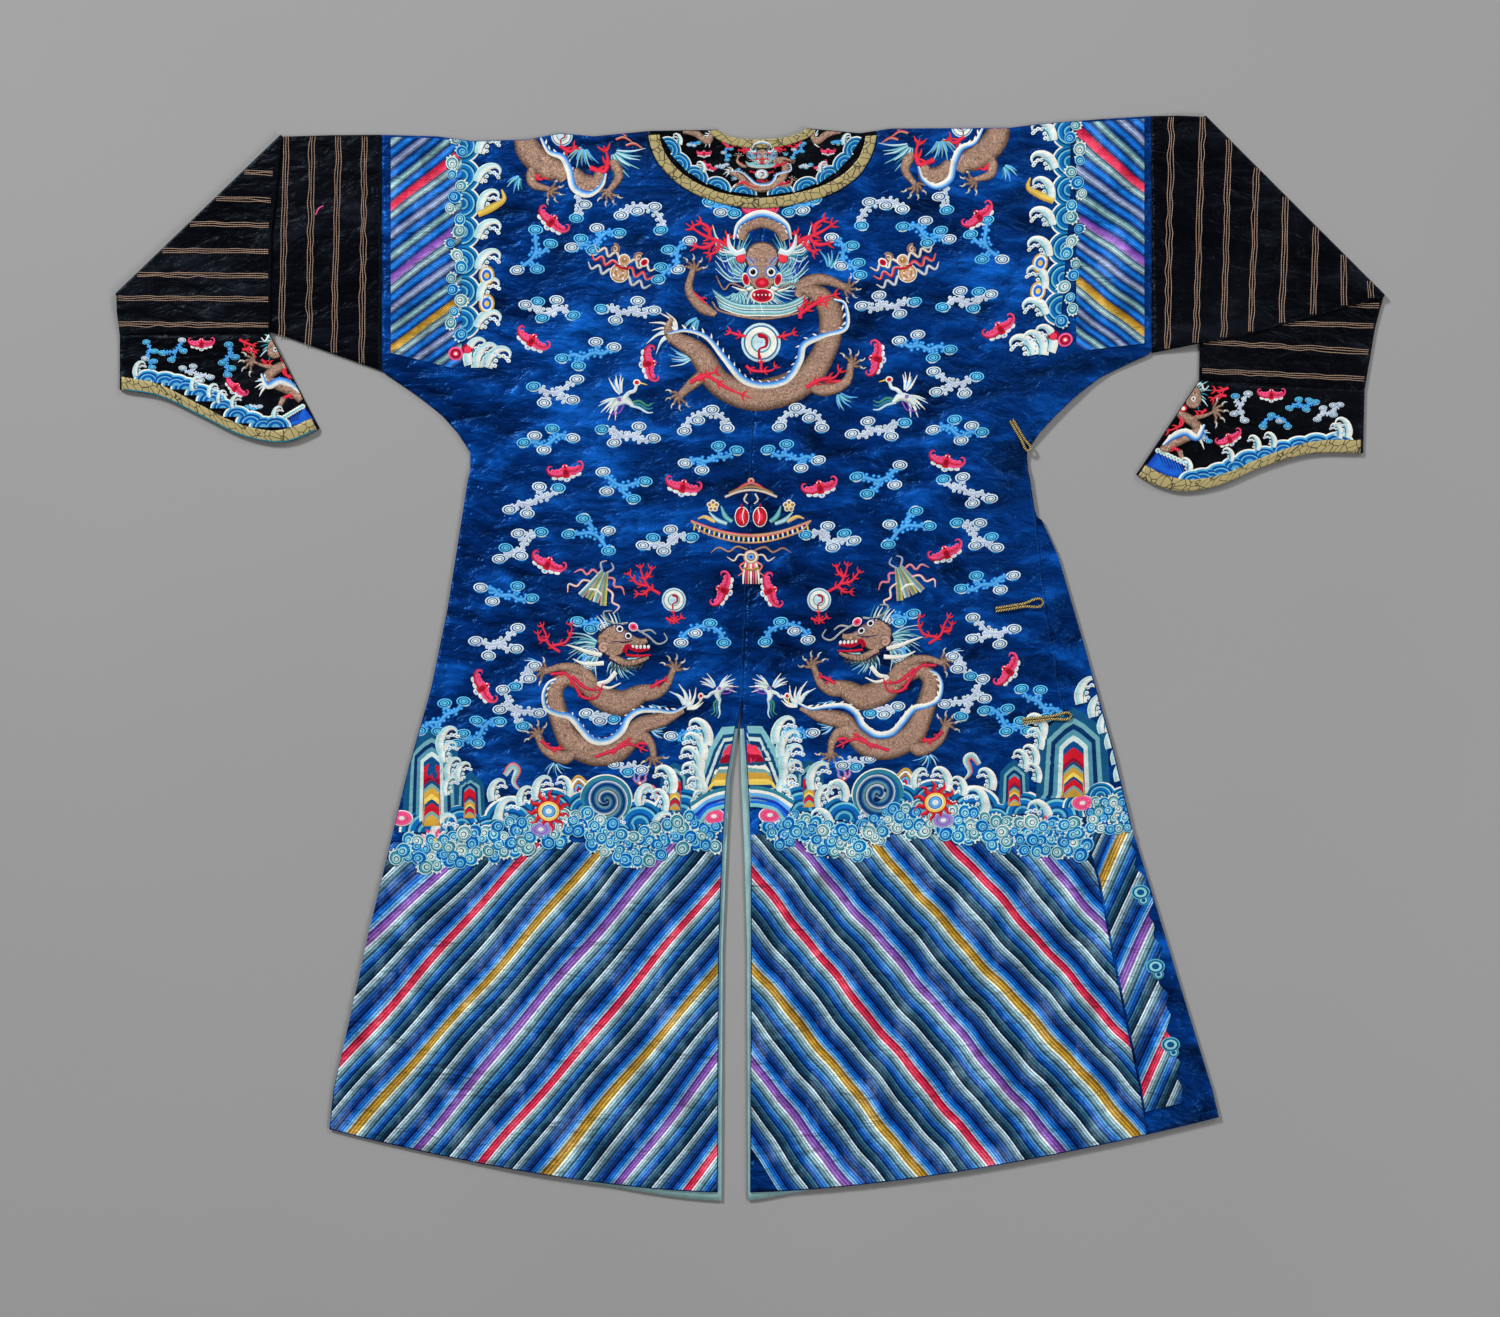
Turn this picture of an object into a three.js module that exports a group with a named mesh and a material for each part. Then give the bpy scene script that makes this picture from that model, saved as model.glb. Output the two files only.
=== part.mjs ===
// A Chinese dragon robe laid flat with its back upwards, built from the pieces a tailor cuts.
// Millimetres. +X is the wearer's right, +Y runs from the hem to the collar, +Z is up off the table.
// The origin is the middle of the flat face that the robe rests on.
import * as THREE from "three";

// Driving dimensions
const SHOULDER_Y = 674; // level from which drops are measured
const CLOTH = 1.3; // wall of every cloth piece
const TRIM_WALL = 1.0; // wall of the brocade and the lining
const SEAM_GAP = 0.3; // clearance between pieces that are sewn together
const LAYER_GAP = 0.4; // clearance between cloth that lies on cloth
const OVERLAP_RISE = 1.6; // how far the underflap is lifted by the outer overlap below it
const BACK_LENGTH = 1360; // shoulder to hem along the centre back
const FRONT_LENGTH = 1371; // the front hangs a little below the back at the vent
const LEFT_SLEEVE_X = -471; // where the black sleeve joins the blue one
const RIGHT_SLEEVE_X = 514;
const SHOULDER_FADE = 290; // below this drop the rows are level
const LEFT_HEM_RISE = 81; // how far the hem climbs towards each side
const RIGHT_HEM_RISE = 72;
const HEM_REACH = 502; // distance from the vent over which the hem climbs
const HEM_POWER = 1.6;
const HEM_START = 800; // rows below this drop bend towards the hem's curve
const FRONT_TUCK = 14; // the front's hem is hidden by this much away from the vent
const VENT_SHOW = { left: 165, right: 80 }; // reach beside the vent where the front's hem shows

const CENTRING = { x: -0.1, y: 2.9 }; // brings the middle of the laid-out robe to the origin

// The neck band is an oval ring, measured from the shoulder fold
const NECK = { x: 16, innerHalf: 55, outerHalf: 146, backInner: 14, backOuter: 102, frontInner: 75, frontOuter: 150 };

// The shoulder fold, slightly uneven as the cloth lies
const SHOULDER = [
  { x: -471, y: 667 },
  { x: -400, y: 665 },
  { x: -356, y: 659 },
  { x: -285, y: 661 },
  { x: -243, y: 669 },
  { x: -200, y: 665 },
  { x: -128, y: 672 },
  { x: 0, y: 674 },
  { x: 64, y: 676 },
  { x: 141, y: 669 },
  { x: 180, y: 675 },
  { x: 333, y: 676 },
  { x: 371, y: 681 },
  { x: 448, y: 687 },
  { x: 514, y: 691 },
];
// Sides of the back at each drop: sleeve end, underarm, waist, hem
const LEFT_SIDE = [
  { drop: 310, x: LEFT_SLEEVE_X },
  { drop: 332, x: -438 },
  { drop: 358, x: -402 },
  { drop: 383, x: -378 },
  { drop: 409, x: -360 },
  { drop: 423, x: -354 },
  { drop: 449, x: -361 },
  { drop: 614, x: -387 },
  { drop: 716, x: -408 },
  { drop: 818, x: -437 },
  { drop: 1023, x: -488 },
  { drop: 1228, x: -533 },
  { drop: 1277, x: -538 },
];
const RIGHT_SIDE = [
  { drop: 287, x: RIGHT_SLEEVE_X },
  { drop: 309, x: 461 },
  { drop: 328, x: 433 },
  { drop: 353, x: 404 },
  { drop: 378, x: 380 },
  { drop: 404, x: 357 },
  { drop: 422, x: 352 },
  { drop: 446, x: 358 },
  { drop: 500, x: 366 },
  { drop: 613, x: 379 },
  { drop: 737, x: 401 },
  { drop: 903, x: 427 },
  { drop: 962, x: 446 },
  { drop: 1086, x: 470 },
  { drop: 1222, x: 498 },
  { drop: 1284, x: 508 },
];
// The fold of the underflap that shows beyond the right side seam
const RIGHT_FOLD = [
  { drop: 470, x: 362 },
  { drop: 500, x: 373.5 },
  { drop: 545, x: 394 },
  { drop: 665, x: 429 },
  { drop: 793, x: 465 },
  { drop: 895, x: 489 },
  { drop: 972, x: 513 },
  { drop: 1100, x: 552 },
  { drop: 1228, x: 592 },
  { drop: 1264, x: 600 },
];
// Centre seam, then the edges of the vent, for the back and for the front below it
const CENTRE = [
  { drop: 97, backLeft: 16, backRight: 16, frontLeft: 16, frontRight: 16 },
  { drop: 449, backLeft: 1.2, backRight: 1.2, frontLeft: 1.2, frontRight: 1.2 },
  { drop: 732, backLeft: -9.8, backRight: -9.8, frontLeft: -9.8, frontRight: -9.8 },
  { drop: 767, backLeft: -19, backRight: -8, frontLeft: -15.5, frontRight: -13 },
  { drop: 834, backLeft: -30, backRight: -3, frontLeft: -25.5, frontRight: -11.5 },
  { drop: 923, backLeft: -35, backRight: 1, frontLeft: -29.5, frontRight: -7.5 },
  { drop: 1048, backLeft: -39.5, backRight: 1, frontLeft: -34.5, frontRight: -4 },
  { drop: 1371, backLeft: -41, backRight: 0, frontLeft: -36, frontRight: -2.5 },
];
// Upper edge of the outer overlap, from below the front neck to the right underarm
const OVERLAP_EDGE = { x: 14, y: 522, endX: 366, endY: 300, softness: 62, margin: 40 };
const UNDERFLAP = { top: 45, hem: 120, tuck: 8 }; // inner edge of the underflap, and how far its hem is hidden
// Over this stretch the left back climbs to the level of the right back
const CENTRE_RAMP = { from: -400, to: -262 };

// The largest creases of the back: centre, direction in degrees, half length, half width, height
const CREASES = [
  { x: -405, y: 332, turn: -24, long: 95, wide: 26, high: 2.5 },
  { x: -330, y: 352, turn: -14, long: 90, wide: 26, high: 2.2 },
  { x: 400, y: 362, turn: 24, long: 105, wide: 26, high: 2.6 },
  { x: 320, y: 310, turn: 20, long: 100, wide: 28, high: 2.5 },
  { x: 300, y: 228, turn: 16, long: 95, wide: 28, high: 2.6 },
  { x: 190, y: 150, turn: 24, long: 150, wide: 36, high: 2.4 },
  { x: 60, y: 70, turn: 26, long: 120, wide: 36, high: 1.5 },
  { x: -260, y: 190, turn: 8, long: 130, wide: 32, high: 1.5 },
  { x: -250, y: 30, turn: -4, long: 120, wide: 34, high: 1.3 },
  { x: -300, y: -60, turn: 14, long: 110, wide: 32, high: 1.4 },
  { x: 300, y: -330, turn: 52, long: 150, wide: 38, high: 2.5 },
  { x: 190, y: -410, turn: 48, long: 160, wide: 38, high: 2.2 },
  { x: 330, y: -520, turn: 60, long: 110, wide: 36, high: 2.0 },
  { x: 90, y: -560, turn: 50, long: 120, wide: 36, high: 1.4 },
  { x: -330, y: -430, turn: 52, long: 190, wide: 38, high: 2.0 },
  { x: -190, y: -520, turn: 50, long: 150, wide: 38, high: 1.5 },
  { x: -420, y: -480, turn: 58, long: 120, wide: 36, high: 1.8 },
];

const COLOURS = {
  satin: { color: 0x0b3f9c, roughness: 0.42 },
  black: { color: 0x0d0f18, roughness: 0.5 },
  brocade: { color: 0xa1975a, roughness: 0.6 },
  lining: { color: 0xa9d8d4, roughness: 0.6 },
  gold: { color: 0xa98a45, roughness: 0.45 },
};

const clamp = (v, low = 0, high = 1) => Math.min(high, Math.max(low, v));
const lerp = (a, b, t) => a + (b - a) * t;
const smooth = (t) => clamp(t) ** 2 * (3 - 2 * clamp(t));
const radians = (degrees) => (degrees * Math.PI) / 180;

// Value of one column of a table, straight between its rows.
function lookUp(table, at, column = "x", key = "drop") {
  const last = table.length - 1;
  if (at <= table[0][key]) return table[0][column];
  if (at >= table[last][key]) return table[last][column];
  const k = table.findIndex((row) => row[key] > at);
  const t = (at - table[k - 1][key]) / (table[k][key] - table[k - 1][key]);
  return lerp(table[k - 1][column], table[k][column], t);
}

const hemCurve = (x) => clamp((Math.abs(x + 20) - 18) / HEM_REACH, 0, 1.2) ** HEM_POWER;
const hemRise = (x) => hemCurve(x) * (x < 0 ? LEFT_HEM_RISE : RIGHT_HEM_RISE);
const hemBend = (s, length) => smooth((s - HEM_START) / (length - HEM_START));

// Y of a point x from the centre and s down the cloth from the shoulder fold.
function levelY(x, s, length = BACK_LENGTH) {
  const shoulder = lookUp(SHOULDER, x, "y", "x") - SHOULDER_Y;
  return SHOULDER_Y + shoulder * (1 - smooth(s / SHOULDER_FADE)) - s + hemBend(s, length) * hemRise(x);
}

// The same for the front, whose hem is hidden away from the vent.
function frontY(x, s) {
  const reach = x < -20 ? VENT_SHOW.left : VENT_SHOW.right;
  const hidden = FRONT_TUCK * (1 - Math.exp(-(((x + 20) / reach) ** 2)));
  return levelY(x, s, FRONT_LENGTH) + hemBend(s, FRONT_LENGTH) * hidden;
}

// Share of the full lift at a point: 1 over the outer overlap, 0 over the sleeves and the far left.
function liftShare(x, y) {
  const slope = (OVERLAP_EDGE.y - OVERLAP_EDGE.endY) / (OVERLAP_EDGE.endX - OVERLAP_EDGE.x);
  const edgeY = OVERLAP_EDGE.y - slope * Math.max(0, x - OVERLAP_EDGE.x);
  const above = (y - edgeY) / Math.hypot(1, slope);
  const belowEdge = 1 - smooth((above - OVERLAP_EDGE.margin) / OVERLAP_EDGE.softness);
  return belowEdge * smooth((x - CENTRE_RAMP.from) / (CENTRE_RAMP.to - CENTRE_RAMP.from));
}

// Height of the creases at a point, fading out at the sides and the shoulder.
function creaseHeight(x, y) {
  const drop = SHOULDER_Y - y;
  const side = x < 0 ? x - lookUp(LEFT_SIDE, drop) : lookUp(RIGHT_SIDE, drop) - x;
  const hem = BACK_LENGTH - hemRise(x) - drop;
  const fade = smooth(side / 45) * smooth((drop - 20) / 60) * smooth((hem + 25) / 60);
  let high = 0;
  for (const crease of CREASES) {
    const along = radians(crease.turn);
    const dx = x - crease.x;
    const dy = y - crease.y;
    const lengthwise = (dx * Math.cos(along) + dy * Math.sin(along)) / crease.long;
    const across = (dy * Math.cos(along) - dx * Math.sin(along)) / crease.wide;
    high += crease.high * Math.exp(-(lengthwise ** 2) - across ** 2);
  }
  return fade * Math.min(high, 3);
}

const innerFrontFloor = (x, y) => OVERLAP_RISE * liftShare(x, y);
const backFloor = (x, y) => innerFrontFloor(x, y) + CLOTH + LAYER_GAP + creaseHeight(x, y);
const backTop = (x, y) => backFloor(x, y) + CLOTH;

// Builds one closed mesh from named vertices and faces.
class Shell {
  constructor() {
    this.points = [];
    this.faces = [];
  }
  add(x, y, z) {
    this.points.push(x, y, z);
    return this.points.length / 3 - 1;
  }
  quad(a, b, c, d) {
    this.faces.push(a, b, c, a, c, d);
  }
  mesh(name, look) {
    const geometry = new THREE.BufferGeometry();
    geometry.setAttribute("position", new THREE.Float32BufferAttribute(this.points, 3));
    geometry.setIndex(this.faces);
    let volume = 0;
    const [a, b, c] = [new THREE.Vector3(), new THREE.Vector3(), new THREE.Vector3()];
    for (let i = 0; i < this.faces.length; i += 3) {
      a.fromArray(this.points, this.faces[i] * 3);
      b.fromArray(this.points, this.faces[i + 1] * 3);
      c.fromArray(this.points, this.faces[i + 2] * 3);
      volume += a.dot(b.cross(c));
    }
    if (volume < 0) geometry.setIndex([...this.faces].reverse());
    geometry.computeVertexNormals();
    const material = new THREE.MeshStandardMaterial({ ...look, metalness: 0 });
    const mesh = new THREE.Mesh(geometry, material);
    mesh.name = name;
    return mesh;
  }
}

// Shares of the way along a row of points at each of them.
function sharesAlong(row) {
  const sums = [0];
  for (let k = 1; k < row.length; k++) {
    const [a, b] = [row[k - 1], row[k]];
    sums.push(sums[k - 1] + Math.hypot(b.x - a.x, b.y - a.y, b.z - a.z));
  }
  return sums.map((sum) => sum / sums[row.length - 1]);
}

// Closes the strip between two rows of vertices that may differ in number.
function zipRows(shell, a, b, shareA, shareB, flip) {
  let [i, j] = [0, 0];
  while (i < a.length - 1 || j < b.length - 1) {
    const stepA = j === b.length - 1 || (i < a.length - 1 && shareA[i + 1] <= shareB[j + 1] + 1e-6);
    const face = stepA ? [a[i], a[i + 1], b[j]] : [a[i], b[j + 1], b[j]];
    shell.faces.push(...(flip ? face.reverse() : face));
    if (stepA) i++;
    else j++;
  }
}

// A wall of cloth from rows of mid-surface points {x, y, z, n}, with n the unit normal.
function sheetWall(name, look, rows, wall = CLOTH) {
  const shell = new Shell();
  const face = (sign) =>
    rows.map((row) =>
      row.map((p) => {
        const [dx, dy, dz] = p.n.map((v) => (sign * v * wall) / 2);
        return shell.add(p.x + dx, p.y + dy, p.z + dz);
      }),
    );
  const outer = face(1);
  const inner = face(-1);
  const shares = rows.map(sharesAlong);
  const lastRow = rows.length - 1;
  for (let r = 0; r < lastRow; r++) {
    const [outerEnd, outerNext] = [outer[r].at(-1), outer[r + 1].at(-1)];
    zipRows(shell, outer[r], outer[r + 1], shares[r], shares[r + 1], false);
    zipRows(shell, inner[r], inner[r + 1], shares[r], shares[r + 1], true);
    shell.quad(outer[r][0], outer[r + 1][0], inner[r + 1][0], inner[r][0]);
    shell.quad(outerNext, outerEnd, inner[r].at(-1), inner[r + 1].at(-1));
  }
  for (let c = 0; c < rows[0].length - 1; c++) {
    shell.quad(outer[0][c + 1], outer[0][c], inner[0][c], inner[0][c + 1]);
  }
  for (let c = 0; c < rows[lastRow].length - 1; c++) {
    shell.quad(outer[lastRow][c], outer[lastRow][c + 1], inner[lastRow][c + 1], inner[lastRow][c]);
  }
  return shell.mesh(name, look);
}

const UP = [0, 0, 1];
const DOWN = [0, 0, -1];

// A flattened tube from rings of mid-plane points, open at both ends.
function flatTube(name, look, rings, edgeRound = 2) {
  const shell = new Shell();
  const half = CLOTH + LAYER_GAP / 2;
  const loop = (ring, high, inset) => {
    const last = ring.length - 1;
    const width = Math.hypot(ring[last].x - ring[0].x, ring[last].y - ring[0].y);
    const at = (t, h) => {
      const place = clamp(t) * last;
      const k = Math.min(last - 1, Math.floor(place));
      const f = place - k;
      const p = [0, 1, 2].map((i) => {
        const [from, to] = [ring[k], ring[k + 1]].map((q) => [q.x, q.y, q.z][i] + q.n[i] * h);
        return lerp(from, to, f);
      });
      return shell.add(...p);
    };
    const edge = inset / width;
    const shoulder = (inset + edgeRound) / width;
    const stops = [shoulder];
    for (let k = 1; k < last; k++) stops.push(k / last);
    stops.push(1 - shoulder);
    return [
      at(edge, 0),
      ...stops.map((t) => at(t, -high)),
      at(1 - edge, 0),
      ...[...stops].reverse().map((t) => at(t, high)),
    ];
  };
  const outer = rings.map((ring) => loop(ring, half, 0));
  const inner = rings.map((ring) => loop(ring, LAYER_GAP / 2, CLOTH));
  const count = outer[0].length;
  const last = rings.length - 1;
  for (let i = 0; i < count; i++) {
    const j = (i + 1) % count;
    for (let r = 0; r < last; r++) {
      shell.quad(outer[r][i], outer[r][j], outer[r + 1][j], outer[r + 1][i]);
      shell.quad(inner[r][j], inner[r][i], inner[r + 1][i], inner[r + 1][j]);
    }
    shell.quad(outer[0][j], outer[0][i], inner[0][i], inner[0][j]);
    shell.quad(outer[last][i], outer[last][j], inner[last][j], inner[last][i]);
  }
  return shell.mesh(name, look);
}

// Body halves, each one length of cloth from the back hem over the shoulder to the front hem
const NECK_ROWS = [0.15, 0.32, 0.5, 0.66, 0.8, 0.9, 0.97, 1]; // shares of the neck oval's depth
const BEND_TURNS = [30, 90, 150];
const LEFT_UPPER_ROWS = [130, 165, 200, 238, 275, 310, 332, 358, 383, 409, 423, 449];
const RIGHT_UPPER_ROWS = [130, 168, 208, 248, 287, 309, 328, 353, 378, 404, 422, 446];
const WAIST_ROWS = [500, 545, 590, 640, 690, 732, 767, 800, 834];
const SKIRT_ROWS = [878, 923, 965, 1007, 1048, 1093, 1138, 1183, 1228, 1272, 1316];
const LEFT_FRONT_ROWS = [190, 250, 310, 332, 358, 383, 409, 423, 449, 590, 732, 767, 834, 923, 1048, 1138, 1228];
const BACK_STEP = 44; // spacing of the columns on the back
const HIDDEN_STEP = 75; // spacing on the hidden front

// Outer edge of a body row; the lower rows follow the hem's climb at the side.
function outerEdge(side, s, extra = 0, length = BACK_LENGTH) {
  const rise = side < 0 ? LEFT_HEM_RISE : RIGHT_HEM_RISE;
  return lookUp(side < 0 ? LEFT_SIDE : RIGHT_SIDE, s - hemBend(s, length) * (rise + extra));
}

// Inner edge of a body row: the neck band's oval, then the centre seam or the vent.
function innerEdge(side, s, depth, column) {
  const centre = lookUp(CENTRE, s, column) + (side * SEAM_GAP) / 2;
  const reach = depth + SEAM_GAP;
  if (s > reach + 1e-6) return centre;
  const oval = (NECK.outerHalf + SEAM_GAP) * Math.sqrt(Math.max(0, 1 - (s / reach) ** 2));
  const band = NECK.x + side * (oval + SEAM_GAP / 2);
  return side < 0 ? Math.min(centre, band) : Math.max(centre, band);
}

// Evenly spaced stops from one x to another, about a step apart.
function spread(from, to, step) {
  const count = Math.max(2, Math.round(Math.abs(to - from) / step));
  return Array.from({ length: count + 1 }, (_, k) => lerp(from, to, k / count));
}

function backRows(side) {
  const upper = side < 0 ? LEFT_UPPER_ROWS : RIGHT_UPPER_ROWS;
  const drops = [...NECK_ROWS.map((k) => k * (NECK.backOuter + SEAM_GAP)), ...upper, ...WAIST_ROWS, ...SKIRT_ROWS, BACK_LENGTH];
  return drops.reverse().map((s) => {
    const inner = innerEdge(side, s, NECK.backOuter, side < 0 ? "backLeft" : "backRight");
    return spread(outerEdge(side, s), inner, BACK_STEP).map((x) => {
      const y = levelY(x, s);
      return { x, y, z: backFloor(x, y) + CLOTH / 2, n: UP };
    });
  });
}

// The fold over the shoulder, between an outer and an inner x.
function shoulderBend(from, to, step) {
  const radius = (CLOTH + LAYER_GAP) / 2;
  return BEND_TURNS.map((turn) => {
    const [sin, cos] = [Math.sin(radians(turn)), Math.cos(radians(turn))];
    return spread(from, to, step).map((x) => ({
      x,
      y: levelY(x, 0) - radius - CLOTH / 2 + radius * sin,
      z: CLOTH + LAYER_GAP / 2 + radius * cos,
      n: [0, sin, cos],
    }));
  });
}

function leftBody() {
  const bend = shoulderBend(outerEdge(-1, 0), innerEdge(-1, 0, NECK.backOuter, "backLeft"), BACK_STEP);
  const drops = [...NECK_ROWS.map((k) => k * (NECK.frontOuter + SEAM_GAP)), ...LEFT_FRONT_ROWS, FRONT_LENGTH];
  const front = drops.map((s) => {
    const inner = innerEdge(-1, s, NECK.frontOuter, "frontLeft");
    return spread(outerEdge(-1, s, FRONT_TUCK, FRONT_LENGTH), inner, HIDDEN_STEP).map((x) => {
      return { x, y: frontY(x, s), z: CLOTH / 2, n: DOWN };
    });
  });
  return sheetWall("left_body", COLOURS.satin, [...backRows(-1), ...bend, ...front]);
}

// One row of the underflap: level below the back, then folded round to the side seam.
function underflapRow(s) {
  const tucked = (x) => UNDERFLAP.tuck * hemBend(s, BACK_LENGTH) * (1 - smooth((x - 280) / 80));
  const low = OVERLAP_RISE + CLOTH / 2;
  const radius = (CLOTH + LAYER_GAP) / 2;
  const seam = outerEdge(1, s) + SEAM_GAP;
  const guess = lookUp(RIGHT_FOLD, SHOULDER_Y - levelY(seam, s));
  const fold = lookUp(RIGHT_FOLD, SHOULDER_Y - levelY(guess, s)) - radius - CLOTH / 2;
  const inner = lerp(UNDERFLAP.top, UNDERFLAP.hem, s / BACK_LENGTH);
  const under = spread(fold, inner, HIDDEN_STEP).map((x) => ({ x, y: levelY(x, s) + tucked(x), z: low, n: DOWN }));
  const bend = [135, 90, 45].map((turn) => {
    const [sin, cos] = [Math.sin(radians(turn)), Math.cos(radians(turn))];
    return { x: fold + radius * sin, y: levelY(fold, s), z: low + radius + radius * cos, n: [sin, 0, cos] };
  });
  const shown = [0, 0.33, 0.67, 1].map((t) => {
    const x = lerp(seam, fold, t);
    return { x, y: levelY(x, s), z: low + 2 * radius, n: UP };
  });
  return [...shown, ...bend.reverse(), ...under];
}

function rightBody() {
  const bend = shoulderBend(outerEdge(1, 0), innerEdge(1, 0, NECK.backOuter, "backRight"), BACK_STEP);
  const upper = RIGHT_UPPER_ROWS.filter((s) => s > NECK.frontOuter);
  const front = [...NECK_ROWS.map((k) => k * (NECK.frontOuter + SEAM_GAP)), ...upper].map((s) => {
    const edge = innerEdge(1, s, NECK.frontOuter, "frontRight");
    const inner = Math.max(edge, lerp(UNDERFLAP.top, UNDERFLAP.hem, s / BACK_LENGTH));
    const outer = outerEdge(1, s) + (s > 440 ? SEAM_GAP : 0);
    return spread(outer, inner, HIDDEN_STEP).map((x) => {
      const y = levelY(x, s);
      return { x, y, z: innerFrontFloor(x, y) + CLOTH / 2, n: DOWN };
    });
  });
  const lower = [...WAIST_ROWS, ...SKIRT_ROWS, BACK_LENGTH].map(underflapRow);
  return sheetWall("right_body", COLOURS.satin, [...backRows(1), ...bend, ...front, ...lower]);
}

// The outer right front: a panel on the table, from its slanting upper edge to the hem.
function overlapPanel() {
  const top = SHOULDER_Y - OVERLAP_EDGE.y;
  const topRight = SHOULDER_Y - OVERLAP_EDGE.endY;
  const slanted = [top, 200, 320, 449, 590].map((s) => [s, lerp(topRight, 732, (s - top) / (732 - top))]);
  const level = [732, 767, 834, 923, 1048, 1138, 1228, FRONT_LENGTH].map((s) => [s, s]);
  const rows = [...slanted, ...level].map(([sLeft, sRight]) => {
    const from = lookUp(CENTRE, sLeft, "frontRight") + SEAM_GAP / 2;
    const drop = sRight - hemBend(sRight, FRONT_LENGTH) * (RIGHT_HEM_RISE + 38);
    const side = drop > RIGHT_FOLD[0].drop ? lookUp(RIGHT_FOLD, drop) : lookUp(RIGHT_SIDE, drop);
    return spread(from, side - 4, HIDDEN_STEP).map((x) => {
      const s = lerp(sLeft, sRight, (x - from) / (side - 4 - from));
      return { x, y: frontY(x, s), z: CLOTH / 2, n: DOWN };
    });
  });
  return sheetWall("outer_overlap", COLOURS.satin, rows);
}

// Neck band: one strip round the neck, from the front centre over the back to the front again
const BAND_SHARES = [0, 0.125, 0.33, 0.58, 0.845, 1]; // columns across the band
const BAND_ANGLES = [...NECK_ROWS.map(Math.asin), ...NECK_ROWS.slice(0, -1).reverse().map((k) => Math.PI - Math.asin(k))];

// Point of the ring at an angle and at a share from its inner to its outer edge.
function ringPoint(angle, share, front) {
  const half = lerp(NECK.innerHalf, NECK.outerHalf, share);
  const [inner, outer] = front ? [NECK.frontInner, NECK.frontOuter] : [NECK.backInner, NECK.backOuter];
  const x = NECK.x + half * Math.cos(angle);
  return { x, y: levelY(x, lerp(inner, outer, share) * Math.sin(angle)) };
}

const bandBackRows = (shares, place) =>
  BAND_ANGLES.map((angle) =>
    shares.map((share) => {
      const { x, y } = ringPoint(angle, share, false);
      return { x, y, z: place(x, y), n: UP };
    }),
  );

function neckPieces() {
  const frontRows = (angles) =>
    angles.map((angle) =>
      BAND_SHARES.map((share) => {
        const { x, y } = ringPoint(angle, share, true);
        return { x, y, z: CLOTH / 2, n: DOWN };
      }),
    );
  const half = [...NECK_ROWS.slice(0, -1).map(Math.asin), Math.PI / 2 - 0.008];
  const radius = (CLOTH + LAYER_GAP) / 2;
  const bend = (side, turns) =>
    turns.map((turn) => {
      const [sin, cos] = [Math.sin(radians(turn)), Math.cos(radians(turn))];
      return BAND_SHARES.map((share) => {
        const x = NECK.x + side * lerp(NECK.innerHalf, NECK.outerHalf, share);
        const y = levelY(x, 0) - radius - CLOTH / 2 + radius * sin;
        return { x, y, z: CLOTH + LAYER_GAP / 2 + radius * cos, n: [0, sin, cos] };
      });
    });
  const rows = [
    ...frontRows([...half].reverse()),
    ...bend(1, [...BEND_TURNS].reverse()),
    ...bandBackRows(BAND_SHARES, (x, y) => backFloor(x, y) + CLOTH / 2),
    ...bend(-1, BEND_TURNS),
    ...frontRows(half.map((angle) => Math.PI - angle)),
  ];
  const onBand = (x, y) => backTop(x, y) + SEAM_GAP + TRIM_WALL / 2;
  const trim = (name, shares) => sheetWall(name, COLOURS.brocade, bandBackRows(shares, onBand), TRIM_WALL);
  return [
    sheetWall("neck_band", COLOURS.black, rows),
    trim("neck_trim_outer", [BAND_SHARES[4], 1]),
    trim("neck_trim_inner", [0, BAND_SHARES[1]]),
  ];
}

// Lining that shows along the vent and along the hem beside it
const LINING = [
  { name: "lining_left", side: -1, column: "frontLeft", width: 30, hemWidth: 212 },
  { name: "lining_right", side: 1, column: "frontRight", width: 40, hemWidth: 98 },
];

function liningStrip({ name, side, column, width, hemWidth }) {
  const rows = [767, 834, 923, 1048, 1138, 1228, 1300, FRONT_LENGTH].map((s) => {
    const edge = lookUp(CENTRE, s, column) + side * SEAM_GAP;
    const wide = s > 1250 ? hemWidth : width;
    return spread(edge, edge + side * wide, 36).map((x) => {
      return { x, y: frontY(x, s), z: CLOTH + SEAM_GAP + TRIM_WALL / 2, n: UP };
    });
  });
  return sheetWall(name, COLOURS.lining, rows, TRIM_WALL);
}

// Sleeves: each is a flattened tube that runs outwards and is folded along a slanting line
const SLEEVE_COLUMNS = 8;
const TUBE_MID = CLOTH + LAYER_GAP / 2;
const FOLD_RADIUS = TUBE_MID + 0.2;
const LEFT_SLEEVE = {
  side: -1,
  seam: { top: [LEFT_SLEEVE_X - SEAM_GAP, 667], bottom: [LEFT_SLEEVE_X - SEAM_GAP, 364.4] },
  middle: { top: [-536, 666.5], bottom: [-600, 410.5] },
  fold: { top: [-600.3, 667], bottom: [-812.4, 463] },
  after: { top: [-612, 540], bottom: [-810, 440] },
  cuffSeam: { top: [-614, 412.2], bottom: [-806.5, 410.3] },
};
const RIGHT_SLEEVE = {
  side: 1,
  seam: { top: [RIGHT_SLEEVE_X + SEAM_GAP, 691], bottom: [RIGHT_SLEEVE_X + SEAM_GAP, 387.5] },
  middle: { top: [548, 691.2], bottom: [640, 412] },
  fold: { top: [582.4, 691.8], bottom: [812.8, 461.4] },
  after: { top: [577, 560], bottom: [800, 420] },
  cuffSeam: { top: [574.5, 353], bottom: [786.5, 340.5] },
};

// How far the left sleeve's folded end is held up by the sleeve below it.
function leftFoldLift(x, y) {
  const edgeY = lerp(463, 364.4, clamp((x + 812.4) / (812.4 + LEFT_SLEEVE_X)));
  return 2 * FOLD_RADIUS * smooth((y - edgeY + 62) / 58);
}

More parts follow.
